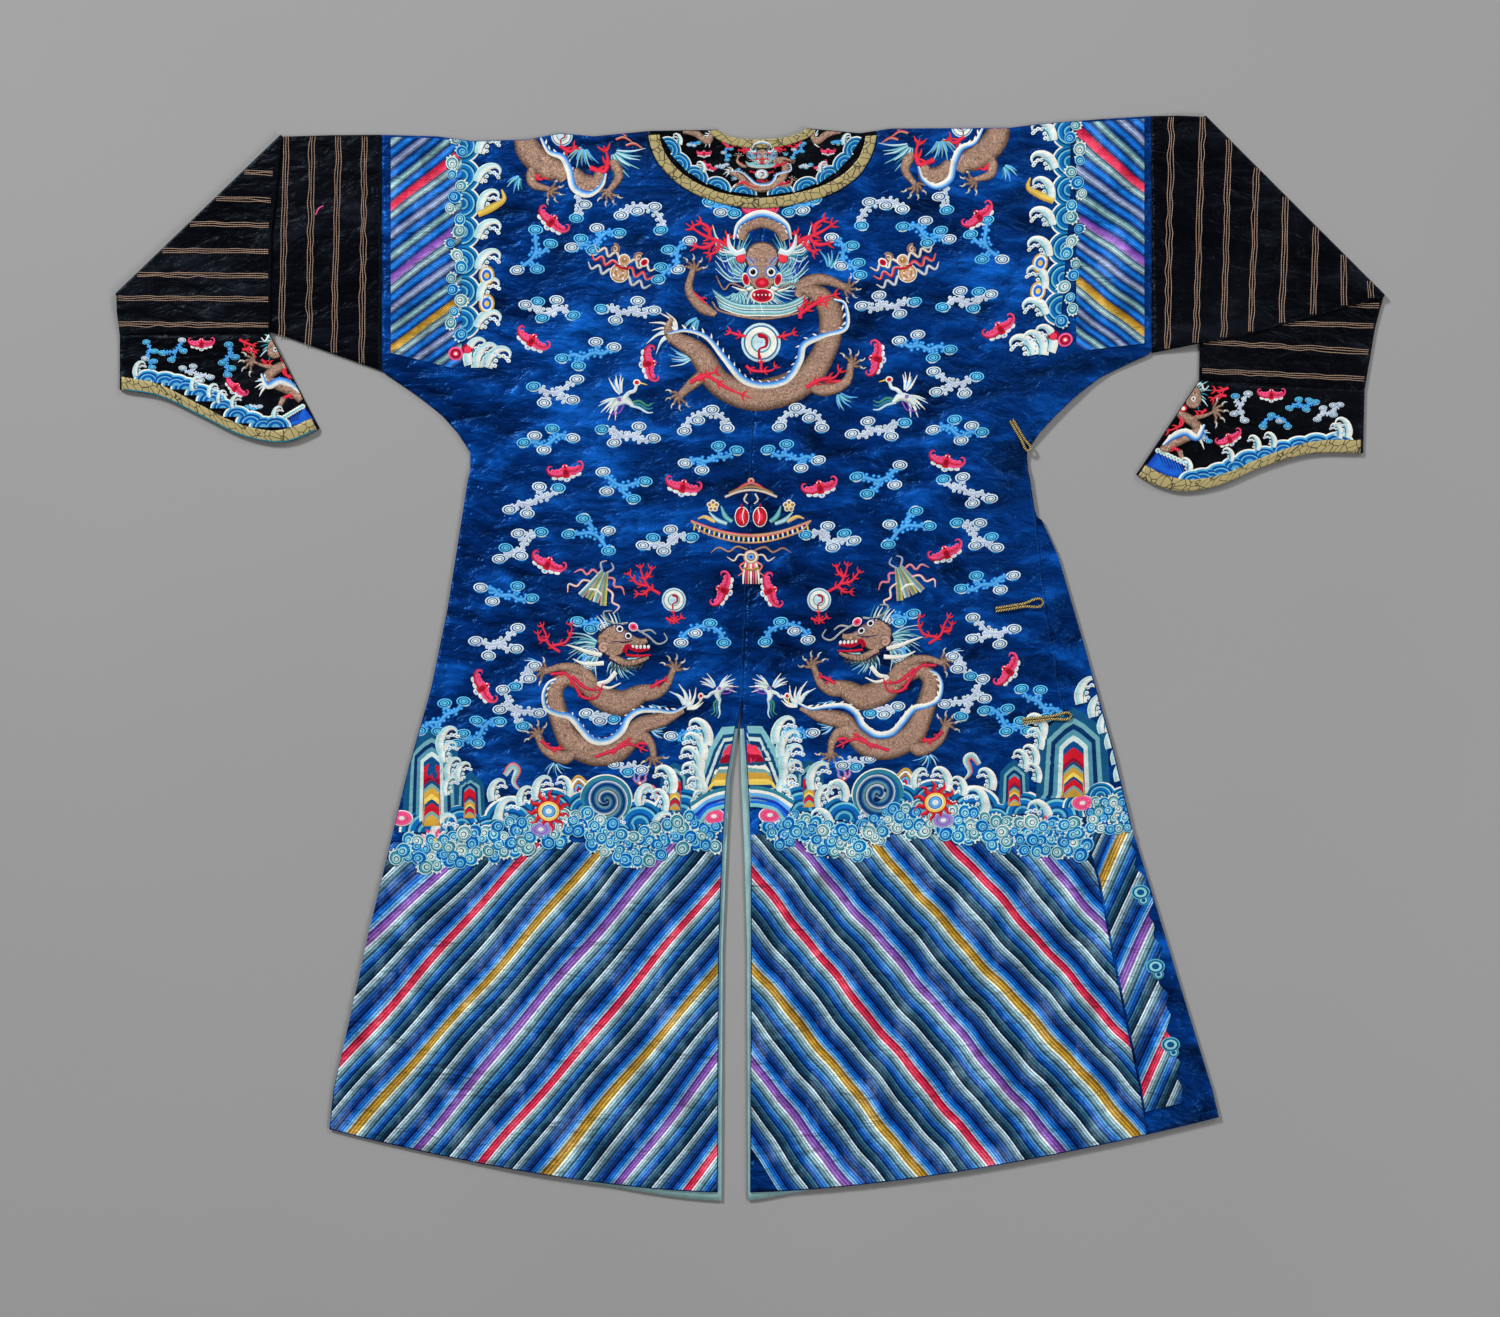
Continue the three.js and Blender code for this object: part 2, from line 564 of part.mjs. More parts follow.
// How far the right sleeve is lifted by its own end folded below it.
const rightFoldLift = (x) => 2 * FOLD_RADIUS * smooth((x - RIGHT_SLEEVE_X - 2) / 52);

const lineAt = (line, t, n, z) => {
  const x = lerp(line.top[0], line.bottom[0], t);
  const y = lerp(line.top[1], line.bottom[1], t);
  return { x, y, z: typeof z === "function" ? z(x, y) : z, n };
};
const blendLines = (a, b, t) => ({
  top: [0, 1].map((k) => lerp(a.top[k], b.top[k], t)),
  bottom: [0, 1].map((k) => lerp(a.bottom[k], b.bottom[k], t)),
});
const ringAlong = (line, n, z) =>
  Array.from({ length: SLEEVE_COLUMNS }, (_, c) => lineAt(line, c / (SLEEVE_COLUMNS - 1), n, z));

function sleeve(name, cut) {
  const over = cut.side < 0; // the left end is folded over, the right end under
  const foldX = cut.fold.bottom[0] - cut.fold.top[0];
  const foldY = cut.fold.bottom[1] - cut.fold.top[1];
  const run = Math.hypot(foldX, foldY);
  const outward = [(cut.side * -foldY) / run, (cut.side * foldX) / run]; // square to the fold, away from the body
  const inset = (line, d) => ({
    top: line.top.map((v, k) => v - outward[k] * d),
    bottom: line.bottom.map((v, k) => v - outward[k] * d),
  });
  const axis = inset(cut.fold, FOLD_RADIUS + TUBE_MID);
  const before = (x) => TUBE_MID + (over ? 0 : rightFoldLift(x));
  const after = (x, y) => TUBE_MID + (over ? leftFoldLift(x, y) : 0);
  const rings = [];
  for (const t of [0, 0.25, 0.5, 0.75]) rings.push(ringAlong(blendLines(cut.seam, cut.middle, t), UP, before));
  for (const t of [0, 0.45]) rings.push(ringAlong(blendLines(cut.middle, axis, t), UP, before));
  const start = over ? -1 : 1; // the sleeve comes to the fold below its end, or above it
  for (const turn of [0, 30, 60, 90, 120, 150, 180]) {
    const [sin, cos] = [Math.sin(radians(turn)), Math.cos(radians(turn))];
    const n = [-start * -outward[0] * sin, -start * -outward[1] * sin, cos];
    rings.push(ringAlong(inset(axis, -FOLD_RADIUS * sin), n, TUBE_MID + FOLD_RADIUS + start * FOLD_RADIUS * cos));
  }
  for (const t of [0.5, 1]) rings.push(ringAlong(blendLines(axis, cut.after, t), DOWN, after));
  for (const t of [0.34, 0.67, 1]) rings.push(ringAlong(blendLines(cut.after, cut.cuffSeam, t), DOWN, after));
  return flatTube(name, COLOURS.black, rings);
}

// Horse-hoof cuffs: from the seam to an S-shaped edge, longest on the hand's back
const LEFT_CUFF = {
  cut: LEFT_SLEEVE,
  edge: [
    { across: 0, x: -550.5, y: 290.8 },
    { across: 0.12, x: -582, y: 276.5 },
    { across: 0.25, x: -611, y: 272.8 },
    { across: 0.42, x: -654, y: 283 },
    { across: 0.6, x: -704, y: 307.5 },
    { across: 0.8, x: -755, y: 331.5 },
    { across: 1, x: -806.5, y: 340.7 },
  ],
};
const RIGHT_CUFF = {
  cut: RIGHT_SLEEVE,
  edge: [
    { across: 0, x: 494, y: 232 },
    { across: 0.12, x: 521, y: 217.5 },
    { across: 0.25, x: 556, y: 210.5 },
    { across: 0.42, x: 602, y: 219 },
    { across: 0.6, x: 655, y: 241.5 },
    { across: 0.8, x: 716, y: 258.5 },
    { across: 1, x: 784.6, y: 259.5 },
  ],
};
const CUFF_TRIM = 17; // width of the gold edging

// A smooth curve through the cuff's edge, seen as a function of the share across it.
function cuffEdge(cuff) {
  const curve = new THREE.CatmullRomCurve3(cuff.edge.map((p) => new THREE.Vector3(p.x, p.y, 0)));
  const shares = cuff.edge.map((p) => p.across);
  return (t) => {
    const k = Math.max(1, shares.findIndex((s) => s >= t));
    const f = (t - shares[k - 1]) / (shares[k] - shares[k - 1]);
    return curve.getPoint((k - 1 + f) / (shares.length - 1));
  };
}

function cuffPoint(cuff, edgeAt, t, down, gap) {
  const seam = lineAt(cuff.cut.cuffSeam, t, UP, 0);
  const edge = edgeAt(t);
  const x = lerp(seam.x, edge.x, down);
  const y = lerp(seam.y - gap, edge.y, down);
  return { x, y, z: TUBE_MID + (cuff.cut.side < 0 ? leftFoldLift(x, y) : 0), n: DOWN };
}

function cuffPieces(name, cuff) {
  const edgeAt = cuffEdge(cuff);
  const columns = 13;
  const across = (make) => Array.from({ length: columns }, (_, c) => make(c / (columns - 1)));
  const rings = [0, 0.25, 0.5, 0.75, 1].map((down) => across((t) => cuffPoint(cuff, edgeAt, t, down, SEAM_GAP)));
  const tube = flatTube(name, COLOURS.black, rings);
  const wall = TRIM_WALL;
  const rows = [1, 0.5, 0].map((k) =>
    across((t) => {
      const seam = lineAt(cuff.cut.cuffSeam, t, UP, 0);
      const edge = edgeAt(t);
      const long = Math.hypot(seam.x - edge.x, seam.y - edge.y);
      const place = clamp(t, 0.012, 0.988);
      const p = cuffPoint(cuff, edgeAt, place, 1 - (k * CUFF_TRIM) / long, SEAM_GAP);
      return { ...p, z: p.z + TUBE_MID + SEAM_GAP + wall / 2, n: UP };
    }),
  );
  return [tube, sheetWall(`${name}_trim`, COLOURS.brocade, rows, wall)];
}

// Fastening loops: a gold cord doubled back on itself, with a small eye at its free end
const LOOP_CORD = 3.2;
const LOOP_RISE = 0.8; // clears the creases of the cloth below
const LOOPS = [
  { name: "loop_underarm", from: [334, 301], to: [357, 263], eye: 3.6 },
  { name: "loop_waist", from: [314, 59], to: [374, 69], eye: 5.5 },
  { name: "loop_hip", from: [348, -83], to: [410, -76], eye: 4.5 },
];

function cordLoop({ name, from, to, eye }) {
  const along = [to[0] - from[0], to[1] - from[1]];
  const long = Math.hypot(...along);
  const [ux, uy] = along.map((v) => v / long);
  const gap = (LOOP_CORD + SEAM_GAP) / 2 + 0.2;
  const outline = [
    [0, gap], [0.22, gap], [0.44, gap], [0.62, gap], [0.78, eye * 0.75], [0.9, eye], [1, eye * 0.45],
    [1, -eye * 0.45], [0.9, -eye], [0.78, -eye * 0.75], [0.62, -gap], [0.44, -gap], [0.22, -gap], [0, -gap],
  ];
  const points = outline.map(([share, side]) => {
    const x = from[0] + ux * long * share - uy * side;
    const y = from[1] + uy * long * share + ux * side;
    return new THREE.Vector3(x, y, backTop(x, y) + LOOP_RISE + LOOP_CORD / 2);
  });
  const section = new THREE.Shape();
  const sides = 8;
  for (let k = 0; k < sides; k++) {
    const turn = (k / sides) * Math.PI * 2;
    const at = [(Math.cos(turn) * LOOP_CORD) / 2, (Math.sin(turn) * LOOP_CORD) / 2];
    if (k === 0) section.moveTo(...at);
    else section.lineTo(...at);
  }
  section.closePath();
  const path = new THREE.CatmullRomCurve3(points, false, "centripetal");
  const geometry = new THREE.ExtrudeGeometry(section, { steps: 30, extrudePath: path, curveSegments: 1 });
  const mesh = new THREE.Mesh(geometry, new THREE.MeshStandardMaterial({ ...COLOURS.gold, metalness: 0.3 }));
  mesh.name = name;
  return mesh;
}

const robe = new THREE.Group();
robe.add(
  leftBody(),
  rightBody(),
  overlapPanel(),
  ...neckPieces(),
  ...LINING.map(liningStrip),
  sleeve("left_sleeve", LEFT_SLEEVE),
  sleeve("right_sleeve", RIGHT_SLEEVE),
  ...cuffPieces("left_cuff", LEFT_CUFF),
  ...cuffPieces("right_cuff", RIGHT_CUFF),
  ...LOOPS.map(cordLoop),
);

for (const piece of robe.children) piece.position.set(CENTRING.x, CENTRING.y, 0);

export default robe;
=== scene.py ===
import math
import random

import bpy
import numpy as np
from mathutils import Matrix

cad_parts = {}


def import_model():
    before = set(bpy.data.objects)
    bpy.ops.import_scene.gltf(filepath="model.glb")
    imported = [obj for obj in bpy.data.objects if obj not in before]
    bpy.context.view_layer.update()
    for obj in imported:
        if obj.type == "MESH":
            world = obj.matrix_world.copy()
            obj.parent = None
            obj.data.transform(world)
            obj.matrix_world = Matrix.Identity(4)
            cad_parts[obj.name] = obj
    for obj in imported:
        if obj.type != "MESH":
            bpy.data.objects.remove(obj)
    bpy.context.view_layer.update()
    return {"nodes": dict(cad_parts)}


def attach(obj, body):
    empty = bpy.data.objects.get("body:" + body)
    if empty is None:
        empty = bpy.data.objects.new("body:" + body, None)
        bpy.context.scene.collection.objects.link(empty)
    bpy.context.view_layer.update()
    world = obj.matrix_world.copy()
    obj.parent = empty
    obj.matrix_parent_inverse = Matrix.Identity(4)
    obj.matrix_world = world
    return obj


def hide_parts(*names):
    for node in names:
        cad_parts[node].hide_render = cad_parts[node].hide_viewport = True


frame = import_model()

MM = 0.001
UNIT = 1.28  # millimetres for one unit of the embroidery layout
LAYOUT_ORIGIN = (750.0, 656.0)  # layout units, from the left edge and from the top
SENSOR = 36
LENS = 85
PICTURE_WIDTH = 1.92  # metres

# Camera straight above the robe
camera_data = bpy.data.cameras.new("camera")
camera = bpy.data.objects.new("camera", camera_data)
bpy.context.scene.collection.objects.link(camera)
bpy.context.scene.camera = camera
camera_data.sensor_fit = "HORIZONTAL"
camera_data.sensor_width = SENSOR
camera_data.lens = LENS
camera.location = (-0.0001, -0.0003, PICTURE_WIDTH * LENS / SENSOR)
camera.rotation_euler = (0, 0, 0)
camera_data.clip_end = 50
bpy.context.scene.view_settings.view_transform = "Standard"


def table(columns, *rows):
    """Rows of values as dictionaries, with the names of the columns given once."""
    return [dict(zip(columns.split(), row)) for row in rows]


# Sizes of the cloth, in millimetres, the same as the solid parts have
SHOULDER_Y = 674.0
CLOTH = 1.3
TRIM_WALL = 1.0
SEAM_GAP = 0.3
LAYER_GAP = 0.4
OVERLAP_RISE = 1.6
BACK_LENGTH = 1360.0
FRONT_LENGTH = 1371.0
LEFT_SLEEVE_X = -471.0
RIGHT_SLEEVE_X = 514.0
SHOULDER_FADE = 290.0
LEFT_HEM_RISE = 81.0
RIGHT_HEM_RISE = 72.0
HEM_REACH = 502.0
HEM_POWER = 1.6
HEM_START = 800.0
FRONT_TUCK = 14.0
VENT_SHOW = (165.0, 80.0)
VENT_TOP = 732
CENTRING = (-0.1, 2.9)
TUBE_COLUMNS = 46
EDGING_COLUMNS = 90
OVERLAP_COLUMNS = 36
FLAP_SHOWN = 26  # columns of the underflap beside the seam
FLAP_BEND = 6  # columns round its fold
NECK = dict(x=16, inner=55, outer=146, back_inner=14, back_outer=102, front_inner=75, front_outer=150)
SHOULDER = table("x y", (-471, 667), (-400, 665), (-356, 659), (-285, 661), (-243, 669), (-200, 665),
    (-128, 672), (0, 674), (64, 676), (141, 669), (180, 675), (333, 676), (371, 681), (448, 687),
    (514, 691))
LEFT_SIDE = table("drop x", (310, -471), (332, -438), (358, -402), (383, -378), (409, -360), (423, -354),
    (449, -361), (614, -387), (716, -408), (818, -437), (1023, -488), (1228, -533), (1277, -538))
RIGHT_SIDE = table("drop x", (287, 514), (309, 461), (328, 433), (353, 404), (378, 380), (404, 357),
    (422, 352), (446, 358), (500, 366), (613, 379), (737, 401), (903, 427), (962, 446), (1086, 470),
    (1222, 498), (1284, 508))
RIGHT_FOLD = table("drop x", (470, 362), (500, 373.5), (545, 394), (665, 429), (793, 465), (895, 489),
    (972, 513), (1100, 552), (1228, 592), (1264, 600))
CENTRE = table("drop back_left back_right front_left front_right", (97, 16, 16, 16, 16),
    (449, 1.2, 1.2, 1.2, 1.2), (732, -9.8, -9.8, -9.8, -9.8), (767, -19, -8, -15.5, -13),
    (834, -30, -3, -25.5, -11.5), (923, -35, 1, -29.5, -7.5), (1048, -39.5, 1, -34.5, -4),
    (1371, -41, 0, -36, -2.5))
OVERLAP_EDGE = dict(x=14.0, y=522.0, end_x=366.0, end_y=300.0, softness=62.0, margin=40.0)
UNDERFLAP = dict(top=45.0, hem=120.0, tuck=8.0)
CENTRE_RAMP = (-400.0, -262.0)
CREASES = table("x y turn long wide high", (-405, 332, -24, 95, 26, 2.5), (-330, 352, -14, 90, 26, 2.2),
    (400, 362, 24, 105, 26, 2.6), (320, 310, 20, 100, 28, 2.5), (300, 228, 16, 95, 28, 2.6),
    (190, 150, 24, 150, 36, 2.4), (60, 70, 26, 120, 36, 1.5), (-260, 190, 8, 130, 32, 1.5),
    (-250, 30, -4, 120, 34, 1.3), (-300, -60, 14, 110, 32, 1.4), (300, -330, 52, 150, 38, 2.5),
    (190, -410, 48, 160, 38, 2.2), (330, -520, 60, 110, 36, 2.0), (90, -560, 50, 120, 36, 1.4),
    (-330, -430, 52, 190, 38, 2.0), (-190, -520, 50, 150, 38, 1.5), (-420, -480, 58, 120, 36, 1.8))


def smooth(t):
    """From 0 to 1 without a kink at either end."""
    t = np.clip(t, 0.0, 1.0)
    return t * t * (3 - 2 * t)


def look_up(rows, at, column="x", key="drop"):
    """Value of one column of a table, straight between its rows."""
    return np.interp(at, [row[key] for row in rows], [row[column] for row in rows])


def hem_rise(x):
    """How far the hem's line curves up at x."""
    curve = np.clip((np.abs(x + 20) - 18) / HEM_REACH, 0, 1.2) ** HEM_POWER
    return curve * np.where(x < 0, LEFT_HEM_RISE, RIGHT_HEM_RISE)


def hem_bend(s, length):
    """Share of the hem's curve that a row s down the cloth takes part in."""
    return smooth((s - HEM_START) / (length - HEM_START))


def level_y(x, s, length=BACK_LENGTH):
    """Y of a point x from the centre and s down the cloth from the shoulder fold."""
    shoulder = look_up(SHOULDER, x, "y", "x") - SHOULDER_Y
    level = SHOULDER_Y + shoulder * (1 - smooth(s / SHOULDER_FADE)) - s
    return level + hem_bend(s, length) * hem_rise(x)


def front_y(x, s):
    """As level_y, for the front, which is tucked in at the hem except beside the vent."""
    reach = np.where(x < -20, VENT_SHOW[0], VENT_SHOW[1])
    hidden = FRONT_TUCK * (1 - np.exp(-(((x + 20) / reach) ** 2)))
    return level_y(x, s, FRONT_LENGTH) + hem_bend(s, FRONT_LENGTH) * hidden


def lift_share(x, y):
    """1 over the outer overlap, 0 over the sleeves and the far left."""
    edge = OVERLAP_EDGE
    slope = (edge["y"] - edge["end_y"]) / (edge["end_x"] - edge["x"])
    edge_y = edge["y"] - slope * np.maximum(0, x - edge["x"])
    above = (y - edge_y) / math.hypot(1, slope)
    below = 1 - smooth((above - edge["margin"]) / edge["softness"])
    return below * smooth((x - CENTRE_RAMP[0]) / (CENTRE_RAMP[1] - CENTRE_RAMP[0]))


def ridge(x, y, crease):
    """Height of one crease, a long low bump across the cloth."""
    turn = math.radians(crease["turn"])
    dx = x - crease["x"]
    dy = y - crease["y"]
    along = (dx * math.cos(turn) + dy * math.sin(turn)) / crease["long"]
    across = (dy * math.cos(turn) - dx * math.sin(turn)) / crease["wide"]
    return crease["high"] * np.exp(-(along**2) - across**2)


def side_distance(x, y):
    """Distance in from the nearer side seam."""
    drop = SHOULDER_Y - y
    return np.where(x < 0, x - look_up(LEFT_SIDE, drop), look_up(RIGHT_SIDE, drop) - x)


def crease_fade(x, y):
    """Keeps the creases off the seams, the hem and the shoulder."""
    drop = SHOULDER_Y - y
    hem = BACK_LENGTH - hem_rise(x) - drop
    edges = smooth(side_distance(x, y) / 45) * smooth((hem + 25) / 60)
    return edges * smooth((drop - 20) / 60)


def crease_height(x, y):
    high = sum(ridge(x, y, crease) for crease in CREASES)
    return crease_fade(x, y) * np.minimum(high, 3.0)


def small_creases(seed):
    """Short shallow creases, mostly level, as silk has that was long folded."""
    rng = random.Random(seed)
    rows = []
    for _ in range(150):
        y = rng.uniform(-230, 650)
        half = 330 + max(0, 200 - y) * 0.2
        rows.append(
            dict(
                x=rng.uniform(-half, half),
                y=y,
                turn=rng.gauss(0, 10) + (12 if rng.random() < 0.3 else 0),
                long=rng.uniform(22, 60),
                wide=rng.uniform(5.5, 9),
                high=rng.uniform(0.35, 0.9),
            )
        )
    return rows


SMALL_CREASES = small_creases(7)


def small_height(x, y):
    high = np.zeros_like(x)
    for crease in SMALL_CREASES:
        near = np.abs(y - crease["y"]) < 70
        if near.any():
            high[near] += ridge(x[near], y[near], crease)
    return smooth(side_distance(x, y) / 25) * smooth((SHOULDER_Y - y - 12) / 30) * np.minimum(high, 1.3)


def back_floor(x, y):
    """Height of the lower face of the back."""
    return OVERLAP_RISE * lift_share(x, y) + CLOTH + LAYER_GAP + crease_height(x, y)


def body_top_flat(x, y):
    """Height of the upper face of the back alone."""
    return back_floor(x, y) + CLOTH + small_height(x, y)


def body_top(x, y):
    """Height of the upper face of the back, and of the underflap beside it."""
    x = np.asarray(x, float)
    y = np.asarray(y, float)
    back = body_top_flat(x, y)
    flap = OVERLAP_RISE + 2 * CLOTH + LAYER_GAP
    beyond = (x > 0) & (x > look_up(RIGHT_SIDE, SHOULDER_Y - y)) & (y < SHOULDER_Y - RIGHT_FOLD[0]["drop"])
    return np.where(beyond, flap, back)


# Meshes


def sin_cos(degrees):
    return math.sin(math.radians(degrees)), math.cos(math.radians(degrees))


def travelled(points):
    """Distance along a line of points, from its start."""
    return np.concatenate([[0], np.cumsum(np.linalg.norm(np.diff(points, axis=0), axis=1))])


def make_object(name, vertices, faces, smooth_shade=True):
    """A mesh object from points in millimetres of the robe's own frame."""
    points = np.asarray(vertices, float).reshape(-1, 3).copy()
    points[:, 0] += CENTRING[0]
    points[:, 1] += CENTRING[1]
    mesh = bpy.data.meshes.new(name)
    faces = np.asarray(faces, int)
    count, corners = faces.shape
    mesh.vertices.add(len(points))
    mesh.vertices.foreach_set("co", (points * MM).ravel())
    mesh.loops.add(count * corners)
    mesh.loops.foreach_set("vertex_index", faces.ravel())
    mesh.polygons.add(count)
    mesh.polygons.foreach_set("loop_start", np.arange(0, count * corners, corners))
    mesh.polygons.foreach_set("loop_total", np.full(count, corners))
    mesh.update(calc_edges=True)
    mesh.validate()
    if smooth_shade:
        mesh.shade_smooth()
    piece = bpy.data.objects.new(name, mesh)
    bpy.context.scene.collection.objects.link(piece)
    return piece


def set_attribute(piece, name, kind, values):
    """Stores a value for each point of a mesh, for its material to read."""
    data = piece.data.attributes.new(name, kind, "POINT")
    key = {"FLOAT": "value", "FLOAT_COLOR": "color", "FLOAT_VECTOR": "vector"}[kind]
    data.data.foreach_set(key, np.asarray(values, float).ravel())


def grid_faces(rows, columns, start=0, flip=False):
    """Four-cornered faces between the points of a grid."""
    r, c = np.meshgrid(np.arange(rows - 1), np.arange(columns - 1), indexing="ij")
    a = (start + r * columns + c).ravel()
    quads = np.stack([a, a + 1, a + columns + 1, a + columns], 1)
    return quads[:, ::-1] if flip else quads


def wall(name, points, normals, thickness):
    """A closed wall of cloth round a grid of mid-surface points."""
    rows, columns = points.shape[:2]
    upper = points + normals * thickness / 2
    lower = points - normals * thickness / 2
    count = rows * columns
    faces = [grid_faces(rows, columns), grid_faces(rows, columns, count, True)]
    index = np.arange(count).reshape(rows, columns)
    loop = np.concatenate([index[0, :-1], index[:-1, -1], index[-1, :0:-1], index[:0:-1, 0]])
    after = np.roll(loop, -1)
    faces.append(np.stack([after, loop, loop + count, after + count], 1))
    faces = np.concatenate(faces)
    piece = make_object(name, np.concatenate([upper.reshape(-1, 3), lower.reshape(-1, 3)]), faces)
    make_outward(piece)
    return piece


def make_outward(piece):
    """Turns every face outwards if the closed mesh is inside out."""
    mesh = piece.data
    mesh.calc_loop_triangles()
    co = np.empty(len(mesh.vertices) * 3)
    mesh.vertices.foreach_get("co", co)
    co = co.reshape(-1, 3)
    tri = np.empty(len(mesh.loop_triangles) * 3, int)
    mesh.loop_triangles.foreach_get("vertices", tri)
    a, b, c = (co[tri[k::3]] for k in range(3))
    if np.einsum("ij,ij->i", a, np.cross(b, c)).sum() < 0:
        mesh.flip_normals()


def cut_area(points):
    """Area in square metres of the flattened cut that a grid of points was folded from."""
    a = points[1:, 1:] - points[:-1, :-1]
    b = points[1:, :-1] - points[:-1, 1:]
    return float(np.linalg.norm(np.cross(a, b), axis=-1).sum() / 2 * MM * MM)


# Body halves

ROW_STEP = 5.5
COLUMNS = 92


def outer_edge(side, s, extra=0.0, length=BACK_LENGTH):
    """X of the side seam or sleeve end at s down the cloth."""
    rise = LEFT_HEM_RISE if side < 0 else RIGHT_HEM_RISE
    return look_up(LEFT_SIDE if side < 0 else RIGHT_SIDE, s - hem_bend(s, length) * (rise + extra))


def inner_edge(side, s, depth, column):
    """X of the centre seam, the vent or the neck's oval at s down the cloth."""
    centre = look_up(CENTRE, s, column) + side * SEAM_GAP / 2
    reach = depth + SEAM_GAP
    if s > reach + 1e-6:
        return centre
    oval = (NECK["outer"] + SEAM_GAP) * math.sqrt(max(0.0, 1 - (s / reach) ** 2))
    band = NECK["x"] + side * (oval + SEAM_GAP / 2)
    return min(centre, band) if side < 0 else max(centre, band)


def row_drops(depth, length, step):
    """Drops of the rows: close together round the neck's oval, then evenly spaced."""
    reach = depth + SEAM_GAP
    neck = [reach * math.sin(k / 16 * math.pi / 2) for k in range(1, 17)]
    count = round((length - reach) / step)
    return neck + [reach + (length - reach) * k / count for k in range(1, count + 1)]


def underflap_inner(s):
    """X of the underflap's hidden inner edge."""
    return UNDERFLAP["top"] + (UNDERFLAP["hem"] - UNDERFLAP["top"]) * s / BACK_LENGTH


def body_half(name, side):
    """Back and front of one half in one length of cloth, folded over the shoulder."""
    rows = []
    normals = []
    up = np.array([0, 0, 1.0])
    share = np.linspace(0, 1, COLUMNS)

    def add(x, y, z, normal):
        rows.append(np.stack([x, y, z], 1))
        normals.append(np.broadcast_to(normal, (COLUMNS, 3)) if np.ndim(normal) == 1 else normal)

    column = "back_left" if side < 0 else "back_right"
    for s in reversed(row_drops(NECK["back_outer"], BACK_LENGTH, ROW_STEP)):
        first = outer_edge(side, s)
        x = first + (inner_edge(side, s, NECK["back_outer"], column) - first) * share
        y = level_y(x, s)
        add(x, y, body_top_flat(x, y) - CLOTH / 2, up)
    radius = (CLOTH + LAYER_GAP) / 2
    first = outer_edge(side, 0)
    x = first + (inner_edge(side, 0, NECK["back_outer"], column) - first) * share
    for turn in (20, 55, 90, 125, 160):
        sin, cos = sin_cos(turn)
        y = level_y(x, 0) - radius - CLOTH / 2 + radius * sin
        add(x, y, np.full(COLUMNS, CLOTH + LAYER_GAP / 2 + radius * cos), np.array([0, sin, cos]))
    front_column = "front_left" if side < 0 else "front_right"
    hidden = [s for s in row_drops(NECK["front_outer"], FRONT_LENGTH, 24) if side < 0 or s < 448]
    for s in hidden:
        if side < 0:
            first = outer_edge(side, s, FRONT_TUCK, FRONT_LENGTH)
            last = inner_edge(side, s, NECK["front_outer"], front_column)
            x = first + (last - first) * share
            add(x, front_y(x, s), np.full(COLUMNS, CLOTH / 2), -up)
        else:
            first = outer_edge(side, s) + (SEAM_GAP if s > 440 else 0)
            edge = inner_edge(side, s, NECK["front_outer"], front_column)
            x = first + (max(edge, underflap_inner(s)) - first) * share
            y = level_y(x, s)
            add(x, y, OVERLAP_RISE * lift_share(x, y) + CLOTH / 2, -up)
    if side > 0:
        for s in np.arange(500, BACK_LENGTH + 1, 10.0):
            add(*underflap_row(s))
    points = np.stack(rows)
    return wall(name, points, np.stack(normals), CLOTH), cut_area(points)


def underflap_row(s):
    """One row of the underflap: shown beside the side seam, folded round, then level below."""
    low = OVERLAP_RISE + CLOTH / 2
    radius = (CLOTH + LAYER_GAP) / 2
    seam = outer_edge(1, s) + SEAM_GAP
    guess = look_up(RIGHT_FOLD, SHOULDER_Y - level_y(seam, s))
    fold = look_up(RIGHT_FOLD, SHOULDER_Y - level_y(guess, s)) - radius - CLOTH / 2
    above = FLAP_SHOWN + FLAP_BEND
    shown = np.linspace(seam, fold, FLAP_SHOWN)
    turn = np.radians(np.linspace(0, 180, FLAP_BEND + 2))[1:-1]
    under = np.linspace(fold, underflap_inner(s), COLUMNS - above)
    x = np.concatenate([shown, fold + radius * np.sin(turn), under])
    high = np.full(FLAP_SHOWN, low + 2 * radius)
    z = np.concatenate([high, low + radius + radius * np.cos(turn), np.full(len(under), low)])
    flat_x = np.concatenate([shown, np.full(FLAP_BEND, fold), under])
    tuck = UNDERFLAP["tuck"] * hem_bend(s, BACK_LENGTH) * (1 - smooth((flat_x - 280) / 80))
    tuck[:above] = 0
    normal = np.zeros((COLUMNS, 3))
    normal[:FLAP_SHOWN, 2] = 1
    normal[FLAP_SHOWN:above, 0] = np.sin(turn)
    normal[FLAP_SHOWN:above, 2] = np.cos(turn)
    normal[above:, 2] = -1
    return x, level_y(flat_x, s) + tuck, z, normal


left_body = body_half("back_left_cloth", -1)
right_body = body_half("back_right_cloth", 1)


def plain_panel(name, rows, normal, thickness):
    """A sheet of cloth through rows of points, with one direction for its wall."""
    points = np.stack(rows)
    normals = np.broadcast_to(np.array(normal, float), points.shape)
    return wall(name, points, normals, thickness), cut_area(points)


